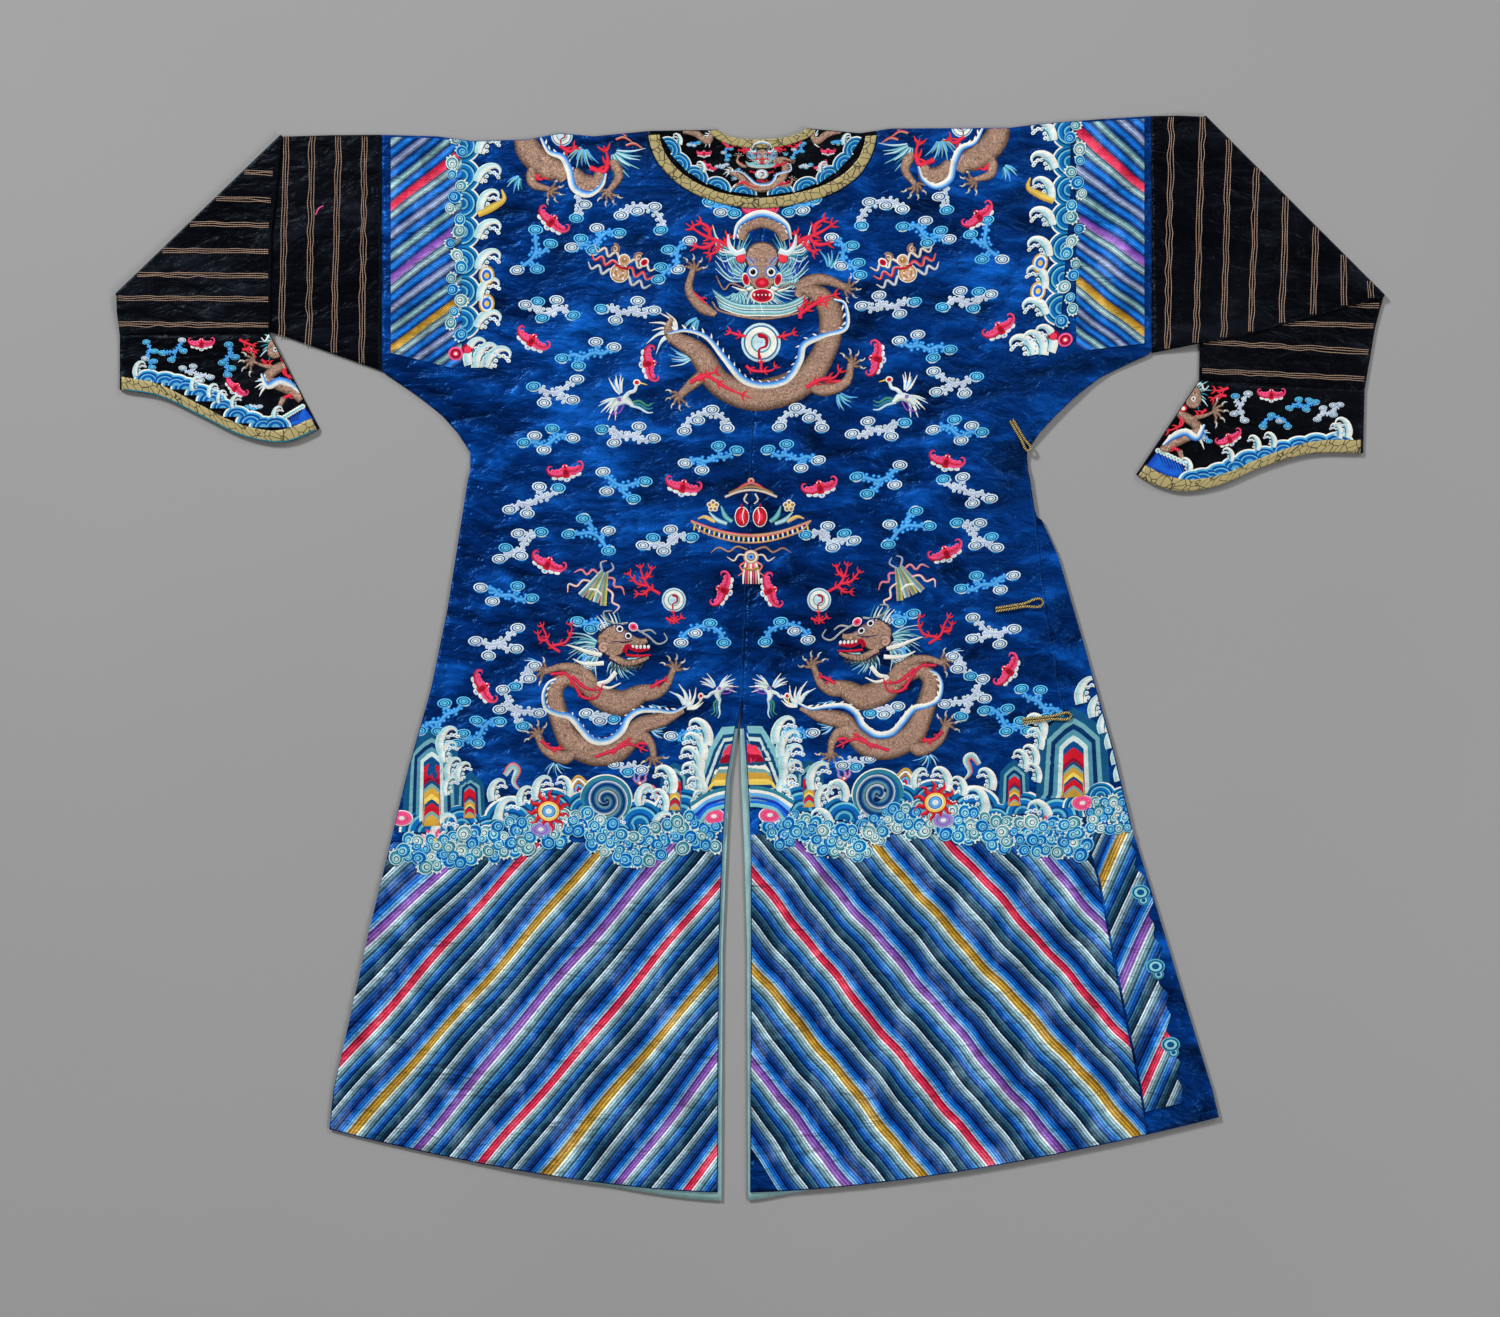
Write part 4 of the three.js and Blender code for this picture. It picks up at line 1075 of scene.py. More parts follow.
dress(left_body, BLUE, "left_body")
dress(right_body, BLUE, "right_body")
dress(overlap, BLUE, "outer_overlap")
dress(band, BLACK, "neck_band")
dress(trim_outer, BROCADE, "neck_trim_outer")
dress(trim_inner, BROCADE, "neck_trim_inner")
dress(lining_left, LINING, "lining_left")
dress(lining_right, LINING, "lining_right")
dress(left_sleeve, BLACK, "left_sleeve")
dress(right_sleeve, BLACK, "right_sleeve")
dress(left_cuff, BLACK, "left_cuff")
dress(right_cuff, BLACK, "right_cuff")
dress(left_edging, BROCADE, "left_cuff_trim")
dress(right_edging, BROCADE, "right_cuff_trim")

# Cord loops: the solids of the frame, twisted in their material
for loop_name, loop_turn in (("loop_underarm", 0.9), ("loop_waist", 0.6), ("loop_hip", 0.6)):
    loop = frame["nodes"][loop_name]
    loop.data.materials.clear()
    loop.data.materials.append(twisted_cord(loop_name + "_cord", loop_turn))

# Embroidery, drawn in layout units and laid over the cloth


def dye(red, green, blue):
    """A colour as it looks on a screen, 0 to 255, as linear light."""
    values = np.array([red, green, blue]) / 255
    return np.where(values <= 0.04045, values / 12.92, ((values + 0.055) / 1.055) ** 2.4)


NAVY = dye(14, 24, 84)
ROYAL = dye(22, 62, 178)
BRIGHT = dye(30, 112, 226)
SKY = dye(96, 176, 242)
ICE = dye(196, 226, 240)
WHITE = dye(238, 238, 228)
AQUA = dye(128, 200, 204)
TEAL = dye(48, 128, 150)
TEAL_GREY = dye(120, 166, 164)
LAVENDER = dye(150, 138, 206)
PURPLE = dye(142, 82, 190)
RED = dye(206, 26, 46)
CRIMSON = dye(150, 14, 48)
PINK = dye(236, 92, 150)
ROSE = dye(240, 60, 92)
CORAL = dye(236, 66, 62)
GOLD_DYE = dye(206, 160, 62)
OCHRE = dye(170, 124, 62)
COUCHED = dye(206, 164, 140)
BROWN = dye(84, 52, 30)
YELLOW = dye(238, 208, 96)
GREEN = dye(70, 140, 110)
BLACK_DYE = dye(16, 18, 26)

AXIS = table("y x", (205, 762), (410, 754), (480, 751), (668, 743.5), (710, 742), (1200, 742))
RIGHT_RISE = 0.045


def back_clamp(flat, edge=1.2):
    """Moves points that lie off the back's cloth to its nearest edge."""
    x, y = flat[..., 0], flat[..., 1]
    y = np.minimum(y, look_up(SHOULDER, x, "y", "x") - edge)
    drop = SHOULDER_Y - y
    x = np.clip(x, look_up(LEFT_SIDE, drop) + edge, look_up(RIGHT_SIDE, drop) - edge)
    left, right = look_up(CENTRE, drop, "back_left") - edge, look_up(CENTRE, drop, "back_right") + edge
    in_vent = (drop > VENT_TOP + 1) & (x > left) & (x < right)
    x = np.where(in_vent, np.where(x < (left + right) / 2, left, right), x)
    return np.stack([x, y], -1)


def flap_clamp(flat, edge=2.0):
    """As back_clamp, but on the right as far as the front's folded edge."""
    x, y = flat[..., 0], flat[..., 1]
    drop = SHOULDER_Y - y
    low = (x > 250) & (drop > 560)
    reach = np.clip(x, None, look_up(RIGHT_FOLD, drop) - edge)
    return np.where(low[..., None], np.stack([reach, y], -1), back_clamp(flat))


class Work:
    """One joined piece of embroidery, made of grids of points laid over a surface."""

    def __init__(self, name, surface, clamp=None):
        self.name = name
        self.surface = surface
        self.points = []
        self.faces = []
        self.dyes = []
        self.lays = []
        self.count = 0
        self.clamp = clamp

    def grid(self, flat, lift, dyes, lay, wrap=False):
        """One grid; what would pass the cloth's edge is cut off there."""
        rows, columns = flat.shape[:2]
        kept = np.ones((rows, columns), bool)
        if self.clamp:
            moved = self.clamp(flat)
            kept = np.abs(moved - flat).max(axis=-1) < 1e-6
            flat = moved
        z = self.surface(flat[..., 0], flat[..., 1]) + lift
        self.points.append(np.concatenate([flat, z[..., None]], -1).reshape(-1, 3))
        self.dyes.append(np.broadcast_to(dyes, (rows, columns, 3)).reshape(-1, 3))
        self.lays.append(np.broadcast_to(lay, (rows, columns)).reshape(-1))
        r, c = np.meshgrid(np.arange(rows - 1), np.arange(columns if wrap else columns - 1), indexing="ij")
        n = (c + 1) % columns
        a = self.count + r * columns
        quads = np.stack([a + c, a + n, a + columns + n, a + columns + c], -1).reshape(-1, 4)
        corners = flat.reshape(-1, 2)[quads[len(quads) // 2] - self.count]
        p, q = corners[1] - corners[0], corners[2] - corners[0]
        if p[0] * q[1] - p[1] * q[0] < 0:
            quads = quads[:, ::-1]
        self.faces.append(quads[kept.reshape(-1)[quads - self.count].any(axis=1)])
        self.count += rows * columns

    def finish(self, material):
        piece = make_object(self.name, np.concatenate(self.points), np.concatenate(self.faces))
        colours = np.concatenate(self.dyes)
        set_attribute(piece, "dye", "FLOAT_COLOR", np.column_stack([colours, np.ones(len(colours))]))
        set_attribute(piece, "lay", "FLOAT", np.concatenate(self.lays))
        piece.data.materials.append(material)
        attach(piece, "root")


def robe_xy(px, py):
    """Layout units as millimetres of the robe's frame."""
    return (px - LAYOUT_ORIGIN[0]) * UNIT, (LAYOUT_ORIGIN[1] - py) * UNIT


def layout_mm(points):
    points = np.asarray(points, float)
    return np.stack(robe_xy(points[..., 0], points[..., 1]), -1)


def blend(at, colours):
    """Colours spread evenly from 0 to 1, read at the given shares."""
    colours = np.atleast_2d(colours)
    stops = np.linspace(0, 1, len(colours))
    return np.stack([np.interp(at, stops, colours[:, k]) for k in range(3)], -1)


def mirrored(side):
    """Places points given as distance from the centre seam and height in the layout."""

    def place(points):
        points = np.asarray(points, float)
        y = points[..., 1] - (RIGHT_RISE * points[..., 0] if side > 0 else 0)
        x = look_up(AXIS, y, "x", "y") + side * points[..., 0]
        return layout_mm(np.stack([x, y], -1))

    return place


EDGE_SINK = 0.25  # how far the rim of a motif goes into the cloth
END_SINK = 0.2  # and the two ends of a ribbon
MOST_STEPS = 260  # rows of points along one ribbon
FINE_RINGS = (1, 0.9, 0.75, 0.55, 0.35, 0.15, 0.02)  # shares of an outline from its rim in
PLAIN_RINGS = (1, 0.88, 0.62, 0.3, 0.02)


class Pen:
    """Draws shapes of laid thread into a Work; at() gives a moved, turned and scaled pen."""

    def __init__(self, work, place=layout_mm, size=1.0, level=0.2):
        self.work = work
        self.place = place
        self.size = size
        self.level = level

    def at(self, x, y, turn=0.0, size=1.0, flip=1, raise_by=0.0):
        s, c = sin_cos(turn)

        def place(points):
            p = np.asarray(points, float) * size * np.array([flip, 1])
            moved = np.stack([p[..., 0] * c - p[..., 1] * s + x, p[..., 0] * s + p[..., 1] * c + y], -1)
            return self.place(moved)

        return Pen(self.work, place, self.size * size, self.level + raise_by)

    def ribbon(self, path, width, colours, lift=0.0, dome=0.25, columns=5, step=2.2):
        """A band along a smooth path, with widths along it and colours across it."""
        path = np.asarray(path, float)
        line = curve_through(path, max(8, 14 * len(path))) if len(path) > 2 else path
        line = self.place(line)
        travel = travelled(line)
        count = int(max(4, min(MOST_STEPS, travel[-1] / step)))
        u = np.linspace(0, 1, count)
        line = np.stack([np.interp(u * travel[-1], travel, line[:, k]) for k in (0, 1)], 1)
        run = np.gradient(line, axis=0)
        run /= np.maximum(1e-9, np.linalg.norm(run, axis=1))[:, None]
        across = np.stack([-run[:, 1], run[:, 0]], 1)
        widths = np.atleast_1d(np.asarray(width, float))
        half = np.interp(u, np.linspace(0, 1, len(widths)), widths) * UNIT * self.size / 2
        v = np.linspace(-1, 1, columns)
        flat = line[:, None] + across[:, None] * (half[:, None] * v)[..., None]
        lifts = np.full((count, columns), self.level + lift) + dome * np.sqrt(np.clip(1 - v**2, 0, 1))
        lifts[:, [0, -1]] -= EDGE_SINK
        lifts[[0, -1]] -= END_SINK
        shades = blend((v + 1) / 2, colours)[None]
        lay = (u * travel[-1])[:, None] + 0 * v
        self.work.grid(flat, lifts, shades, lay)

    def disc(self, x, y, rx, ry, bands, turn=0.0, lift=0.0, dome=0.3, around=20, sweep=(0, 360), lean=0.0):
        """An oval of rings; bands name each ring's outer share and its colour, from the rim in."""
        shares = []
        colours = []
        for k, (share, colour) in enumerate(bands):
            inner = bands[k + 1][0] if k + 1 < len(bands) else 0.02
            shares += [share, inner + 0.001]
            colours += [colour, colour]
        shares = np.array(shares)[:, None]
        full = sweep[1] - sweep[0] >= 360
        angle = np.radians(np.linspace(sweep[0], sweep[1], around, endpoint=not full))[None]
        s, c = sin_cos(turn)
        px, py = rx * (shares * np.cos(angle) + lean * (1 - shares)), -ry * shares * np.sin(angle)
        flat = self.place(np.stack([x + px * c - py * s, y + px * s + py * c], -1))
        lifts = self.level + lift + dome * np.sqrt(np.clip(1 - shares**2, 0, 1)) + 0 * angle
        lifts[0] -= EDGE_SINK
        lay = shares * (rx + ry) / 2 * UNIT * self.size + 0 * angle
        self.work.grid(flat, lifts, np.array(colours)[:, None], lay, full)

    def spiral(self, x, y, radius, turns, colours, start=0.0, flip=1, lift=0.0, columns=7):
        """A coil one pitch wide, with colours across it from the outside in."""
        count = int(26 * turns)
        t = np.linspace(0, 1, count)[:, None]
        pitch = radius / (turns + 0.35)
        v = np.linspace(0, 1, columns)[None]
        r = np.clip(radius - pitch * turns * t - pitch * v, 0.05, None)
        angle = np.radians(start) + flip * 2 * math.pi * turns * t
        flat = self.place(np.stack([x + r * np.cos(angle), y - r * np.sin(angle)], -1))
        lifts = self.level + lift + 0.3 * np.sin(np.pi * v) + 0 * t
        self.work.grid(flat, lifts, blend(v[0], colours)[None], r * UNIT * self.size)

    def shape(self, outline, colours, lift=0.0, dome=0.3, centre=None, smooth_edge=True):
        """A filled outline shrinking to its middle, with colours from the rim in."""
        outline = np.asarray(outline, float)
        if smooth_edge:
            closed = np.concatenate([outline[-1:], outline, outline[:2]])
            outline = curve_through(closed, 6 * len(outline) + 13)[6:-7]
        middle = outline.mean(axis=0) if centre is None else np.array(centre, float)
        shares = np.array(FINE_RINGS if smooth_edge else PLAIN_RINGS)
        flat = self.place(middle + (outline - middle)[None] * shares[:, None, None])
        lifts = np.repeat((self.level + lift + dome * np.sqrt(1 - shares**2))[:, None], len(outline), 1)
        lifts[0] -= EDGE_SINK
        self.work.grid(flat, lifts, blend(1 - shares, colours)[:, None],
                       flat[..., 1] * 0.8 + flat[..., 0] * 0.5, True)


def halves(pen):
    """The pen's mirror image, then the pen."""
    return [pen.at(0, 0, 0, 1, flip) for flip in (-1, 1)]


# Small motifs, each about its own origin


def cloud_head(pen, x, y, turn, rim, core, under):
    """One curled lobe of a cloud, with its shadow and two spots."""
    pen.disc(x, y + 2.6, 5.6, 3.4, [(1, under), (0.6, core)], turn, 0.0, 0.2, 10)
    rings = [(1, rim), (0.82, core), (0.62, rim), (0.44, core), (0.3, rim)]
    pen.disc(x, y, 7.8, 4.9, rings, turn, 0.12, 0.4, 14)
    for shift in (-1.7, 1.7):
        pen.disc(x + shift, y + 0.4, 1.0, 1.1, [(1, core)], turn, 0.5, 0.1, 6)


CLOUD_FORMS = dict(
    zig=dict(
        stems=[[(-21, -6), (-13, -8), (-6, -3), (-2, 3), (4, 7), (12, 5), (20, 8)], [(-6, -3), (-2, -10)]],
        heads=[(-24, -7), (-1, -12), (2, 11), (24, 8), (15, -1)],
    ),
    fork=dict(
        stems=[[(-21, -8), (-12, -4), (-3, 0), (7, -2), (18, -9)], [(-3, 0), (-4, 6), (-12, 10)],
               [(7, -2), (12, 6)]],
        heads=[(-24, -9), (21, -11), (-16, 11), (13, 8)],
    ),
    bar=dict(
        stems=[[(-24, -1), (-15, 3), (-5, 1), (5, 4), (14, 0), (24, 2)], [(-8, 1), (-9, -7)],
               [(9, 3), (11, 10)]],
        heads=[(-27, -2), (27, 2), (-9, -10), (11, 12)],
    ),
    arch=dict(
        stems=[[(-22, 8), (-19, 1), (-11, -5), (0, -7), (11, -4), (19, 2), (22, 9)]],
        heads=[(-22, 10), (22, 10), (-7, -10), (8, 0)],
    ),
    small=dict(stems=[[(-12, 2), (-4, -2), (4, 1), (12, -2)]], heads=[(-14, 3), (14, -3), (0, 5)]),
)


def cloud(pen, form, warm, seed, turn=0.0):
    """A cloud of knobbed stems with curled heads that stay level when the cloud is turned."""
    rng = random.Random(seed)
    shape = CLOUD_FORMS[form]
    stem_dye, core_dye = dye(28, 132, 220), dye(104, 188, 240)
    if warm:
        stem_dye, core_dye = dye(210, 230, 230), dye(176, 178, 222)
    heads = ((dye(226, 240, 238), dye(16, 84, 150), dye(50, 160, 220)),
             (dye(100, 204, 240), dye(2, 58, 140), dye(204, 226, 226)))
    for stem in shape["stems"]:
        for k in range(3 * (len(stem) - 1)):
            t = (k + rng.random()) / 3
            a, b = np.array(stem[int(t)], float), np.array(stem[int(t) + 1], float)
            at = a + (b - a) * (t - int(t))
            run = (b - a) / np.linalg.norm(b - a)
            out = np.array([-run[1], run[0]]) * (1 if k % 2 else -1) + run * rng.uniform(-0.5, 0.5)
            tip = at + out * rng.uniform(2.4, 4.0)
            pen.disc(tip[0], tip[1], 2.1, 1.9, [(1, stem_dye), (0.5, core_dye)], 0, 0.05, 0.25, 7)
        pen.ribbon(stem, [3, 4.4, 3.4, 4.6, 3.4, 4.4, 3], [stem_dye, core_dye, stem_dye], 0.08, 0.25, 4,
                   2.8)
    for k, (x, y) in enumerate(shape["heads"]):
        rim, middle, under = heads[(k + seed + warm) % 2] if rng.random() < 0.6 else heads[1 - warm]
        cloud_head(pen, x, y, -turn + rng.uniform(-7, 7), rim, middle, under)


def bat(pen):
    """A red bat with scalloped pink and white wings."""
    for wing in halves(pen):
        for x, y in ((6, 5.4), (12, 4.0)):
            wing.disc(x, y, 3.6, 2.8, [(1, WHITE), (0.5, ICE)], 0, 0.0, 0.2, 9)
        wing.ribbon([(0, 1), (5, 2), (10, 2), (15, 0), (18, -4), (16, -8), (13, -7)],
                    [8, 7.4, 6.4, 5, 3.2, 2.4, 1], [ROSE, PINK, RED, CRIMSON], 0.1, 0.3, 6)
        for x, y, r in ((4, -2.4, 2.8), (8.6, -1.6, 2.8), (13, -2.6, 2.4)):
            wing.disc(x, y, r, r * 0.9, [(1, PINK), (0.6, ROSE)], 0, 0.2, 0.25, 8)
    pen.disc(0, 1, 4.2, 6.0, [(1, RED), (0.55, CRIMSON)], 0, 0.35, 0.4, 14)
    pen.disc(0, -5, 3.2, 2.8, [(1, ROSE), (0.5, CRIMSON)], 0, 0.45, 0.3, 10)
    for x in (-1.6, 1.6):
        pen.disc(x, -5.6, 1.0, 1.0, [(1, WHITE)], 0, 0.8, 0.1, 6)
    pen.disc(0, 8, 3.4, 2.4, [(1, WHITE), (0.5, SKY)], 0, 0.1, 0.2, 10)


def coral_flame(pen, colour, inner):
    """Three tongues over a round bud."""
    tongues = ([(0, 8), (-2, 1), (1, -6), (-1, -14)], [(-2, 7), (-8, 2), (-8, -4), (-12, -8)],
               [(2, 7), (8, 3), (8, -3), (12, -7)])
    for path in tongues:
        pen.ribbon(path, [4.6, 4.4, 3, 0.6], [colour, inner, colour], 0.1, 0.2)
    pen.disc(0, 7, 4.4, 3.6, [(1, colour), (0.5, WHITE)], 0, 0.2, 0.3, 12)


def crest(pen, height):
    """White hooked wave crest that leans to +x, with fingers of foam under the hook."""
    k = height / 33
    path = [(-4 * k, 16 * k), (-7 * k, 4 * k), (-4 * k, -8 * k), (4 * k, -15 * k), (12 * k, -14 * k),
            (15 * k, -8 * k)]
    pen.ribbon(path, [15 * k, 14 * k, 11 * k, 8 * k, 5 * k, 2 * k], [WHITE, WHITE, WHITE, ICE, AQUA, WHITE],
               0.15, 0.5, 7)
    pen.ribbon([(-1 * k, 16 * k), (-2 * k, 4 * k), (3 * k, -6 * k)], [2.2, 2, 1], TEAL, 0.55, 0.1, 3)
    for x, y in ((3, -4), (7.5, -6.5), (12, -6), (15.5, -4.5), (2, 3), (4, 9)):
        pen.disc(x * k, y * k, 2.9 * k, 2.6 * k, [(1, WHITE), (0.45, SKY)], 0, 0.4, 0.25, 9)


def hill(pen, radius, tall):
    """Half of a ringed scallop of water."""
    bands = [(1, WHITE), (0.91, dye(16, 120, 180)), (0.78, dye(4, 60, 120)), (0.68, dye(120, 200, 214)),
             (0.6, dye(14, 110, 186)), (0.44, dye(6, 70, 140)), (0.34, dye(96, 180, 206)),
             (0.24, dye(10, 96, 160))]
    pen.disc(0, 0, radius, radius * tall, bands, 0, 0.1, 0.5, 22, (0, 180))


def curl_ball(pen, radius, kind):
    """A rolled curl of foam, its rings off centre, with three white spots."""
    rim, body, line = (
        (dye(190, 226, 226), dye(70, 150, 166), dye(6, 54, 96)),
        (dye(110, 200, 240), dye(4, 100, 190), dye(0, 26, 84)),
        (dye(226, 240, 236), dye(120, 184, 188), dye(14, 76, 112)),
        (dye(150, 224, 240), dye(10, 124, 200), dye(0, 40, 104)),
    )[kind]
    rings = [(1, line), (0.84, rim), (0.7, line), (0.62, body), (0.44, rim), (0.3, line), (0.2, rim)]
    pen.disc(0, 0, radius, radius * 0.92, rings, 0, 0, 0.9, 13, (0, 360), 0.28)
    for k in range(3):
        a = math.radians(150 + 34 * k)
        pen.disc(0.83 * radius * math.cos(a), -0.78 * radius * math.sin(a), 1.1, 1.1, [(1, WHITE)], 0, 0.9,
                 0.2, 6)


def along_sides(corners, gap=6.0):
    """Points along the straight sides of a closed outline."""
    corners = np.asarray(corners, float)
    points = []
    for a, b in zip(corners, np.roll(corners, -1, axis=0)):
        count = max(1, int(np.linalg.norm(b - a) / gap))
        points += [a + (b - a) * k / count for k in range(count)]
    return np.array(points)


def mountain(pen, width, height, core_width=0.42, steps=4):
    """Pointed peak: bands of blue and grey round stepped red and gold blocks; its foot is at y 0."""
    def peak(wide, tall, colour, lift):
        half = wide / 2
        roof = half * 0.8
        corners = [(-half * 1.14, 0), (-half, roof - tall), (-half * 0.4, roof * 0.3 - tall), (0, -tall)]
        corners += [(-x, y) for x, y in corners[-2::-1]]
        pen.shape(along_sides(corners), [colour, colour], lift, 0.12, (0, -tall * 0.4), False)

    bands = (dye(18, 84, 128), dye(112, 170, 180), dye(6, 48, 100), dye(84, 150, 172), dye(206, 226, 222),
             dye(10, 76, 136))
    inner = width * core_width
    step = (width - inner) / 2 / steps
    for k in range(steps + 1):
        peak(width - 2 * step * k, height - 1.4 * step * k, bands[k % len(bands)], 0.12 + 0.09 * k)
    top = height - 1.4 * step * (steps + 1)
    blocks = ((1.0, RED), (0.8, CRIMSON), (0.72, dye(16, 70, 120)), (0.66, TEAL_GREY), (0.6, GOLD_DYE),
              (0.5, YELLOW), (0.42, dye(16, 70, 120)), (0.36, RED), (0.24, TEAL_GREY), (0.18, GOLD_DYE))
    for k, (share, colour) in enumerate(blocks):
        peak(inner * (1 - 0.015 * k), top * share, colour, 0.6 + 0.05 * k)


def flaming_wheel(pen):
    """A ringed disc with eleven flames."""
    for k in range(11):
        spin = pen.at(0, 0, k * 360 / 11)
        spin.ribbon([(0, -8), (2, -13), (0, -17), (4, -22)], [6, 5, 3, 0.6], [CORAL, RED, CRIMSON], 0.1,
                    0.2, 4)
    bands = [(1, RED), (0.88, YELLOW), (0.68, WHITE), (0.58, BROWN), (0.5, SKY), (0.25, WHITE)]
    pen.disc(0, 0, 12, 11, bands, 0, 0.35, 0.4, 22)


def pearl(pen):
    """A ringed pearl with a red swirl."""
    rings = [(1, ICE), (0.88, dye(40, 110, 150)), (0.8, WHITE), (0.52, dye(90, 160, 160)), (0.44, ICE)]
    pen.disc(0, 0, 12, 12, rings, 0, 0.25, 0.5, 22)
    pen.ribbon([(-2, -5), (3, -3), (3, 2), (-1, 4), (-1, 10)], [4, 4, 3, 2.4, 2], [CRIMSON, RED], 0.7, 0.2,
               4)


def lotus(pen):
    """Seven pink petals over two green leaves."""
    for k, turn in enumerate((-78, -52, -26, 0, 26, 52, 78)):
        petal = pen.at(0, 4, turn)
        colours = [PINK, WHITE, ROSE] if k % 2 else [ROSE, PINK, CRIMSON]
        petal.ribbon([(0, 0), (0, -7), (0, -15)], [3, 8, 1], colours, 0.1 + 0.04 * (k % 2), 0.3)
    pen.disc(0, 2, 5, 4, [(1, GREEN), (0.6, YELLOW)], 0, 0.4, 0.3, 12)
    for half in halves(pen):
        half.ribbon([(2, 6), (9, 9), (15, 5)], [4, 5, 1], [TEAL, GREEN], 0.05)


def crane(pen):
    """A crane in flight: two fans of feathers, a bent neck, a red crown and green tail plumes."""
    strokes(pen, 9, (-1, 0), 2, 22, 172, 246, [WHITE, ICE, WHITE], 14, 1.7)
    strokes(pen, 8, (0, -3), 2, 19, 96, 152, [WHITE, WHITE, SKY], -14, 1.7)
    pen.ribbon([(-9, 8), (-4, 3), (3, 1), (10, 6)], [3, 7.5, 7, 3], [ICE, WHITE, TEAL_GREY], 0.5, 0.4)
    pen.ribbon([(1, 1), (6, -5), (11, -7), (13, -13)], [4.6, 3.4, 3, 2.6], [WHITE, ICE], 0.6, 0.3)
    pen.disc(13, -14, 3.4, 3, [(1, WHITE), (0.6, RED)], 0, 0.8, 0.3, 10)
    pen.ribbon([(15, -14), (22, -12)], [1.6, 0.5], YELLOW, 0.7, 0.1, 3)
    for k in range(3):
        pen.ribbon([(7, 4 + k), (15, 2 + 3 * k), (22, 6 + 3 * k), (27, 4 + 4 * k)], [1.8, 2, 1.8, 0.8],
                   (GREEN, TEAL, ICE)[k], 0.4, 0.2, 3)
    for x in (-2, 2):
        pen.ribbon([(x, 5), (x - 4, 12), (x - 9, 14)], [1.4, 1.2, 0.8], PURPLE, 0.45, 0.1, 3)
    pen.disc(-2, 1, 2.4, 2, [(1, PURPLE), (0.5, LAVENDER)], 0, 0.95, 0.2, 9)


def gourd(pen):
    """A gourd with waving ribbons and a peach."""
    for half in halves(pen):
        for shift, colours in ((-7, [COUCHED, WHITE, BROWN]), (1, [COUCHED, ROSE, BROWN]),
                               (9, [COUCHED, ICE, BROWN])):
            wave = [(3, shift * 0.5), (9, shift - 3), (14, shift + 3), (19, shift - 3), (24, shift + 2),
                    (29, shift - 3)]
            half.ribbon(wave, [2.4, 2.8, 2.6, 2.6, 2.4, 1], colours, 0.2, 0.3, 5, 1.8)
        half.spiral(11, -12, 5.4, 1.5, [COUCHED, BROWN, COUCHED, WHITE], 60, 1, 0.2)
    pen.disc(0, 6, 8.4, 8.4, [(1, WHITE), (0.9, OCHRE), (0.76, COUCHED), (0.5, OCHRE), (0.3, COUCHED)], 0,
             0.5, 0.5, 18)
    pen.disc(0, -6, 5.4, 5.4, [(1, WHITE), (0.84, COUCHED), (0.5, OCHRE)], 0, 0.5, 0.5, 14)
    pen.ribbon([(-6, 0), (0, 1.4), (6, 0)], [2.6, 3, 2.6], [RED, CRIMSON], 1.0, 0.2, 3)
    for x, y in ((-3, 4), (3, 5), (0, 9), (-4, 9.5), (4.4, 9.5), (0, -7)):
        pen.disc(x, y, 1.3, 1.3, [(1, WHITE)], 0, 1.1, 0.1, 6)
    pen.disc(17, -10, 3.6, 4.6, [(1, WHITE), (0.7, RED), (0.4, CRIMSON)], 30, 0.4, 0.4, 12)


def castanets(pen):
    """Four tied slats with ribbons on both sides."""
    for k, x in enumerate((-9, -3, 3, 9)):
        colours = [COUCHED, GREEN, YELLOW] if k % 2 else [WHITE, dye(60, 150, 160), COUCHED]
        pen.ribbon([(x * 0.25, -14), (x * 0.7, 0), (x * 1.2, 13)], [2.6, 5, 5.6], colours, 0.2)
    pen.ribbon([(-6, 5), (0, 3), (6, 5)], [2.2, 2.2, 2.2], WHITE, 0.5)
    for half in halves(pen):
        half.ribbon([(3, -10), (10, -12), (13, -6), (19, -8), (24, -3)], [1.8, 2, 2, 1.8, 0.8],
                    [PINK, COUCHED], 0.2)
        half.ribbon([(6, -2), (14, 0), (17, 7), (24, 8), (22, 15)], [1.8, 2, 2, 1.8, 0.8],
                    [COUCHED, WHITE, ROSE], 0.2)
        half.ribbon([(2, -14), (6, -20), (2, -24)], [1.8, 1.8, 0.8], [SKY, COUCHED], 0.2)


def blossom(pen, x, y, colour):
    """Five round petals about a yellow eye."""
    for k in range(5):
        a = math.radians(90 + 72 * k)
        pen.disc(x + 3.6 * math.cos(a), y - 3.6 * math.sin(a), 2.8, 2.8, [(1, WHITE), (0.6, colour)], 0,
                 0.4, 0.2, 9)
    pen.disc(x, y, 1.8, 1.8, [(1, YELLOW)], 0, 0.6, 0.2, 8)


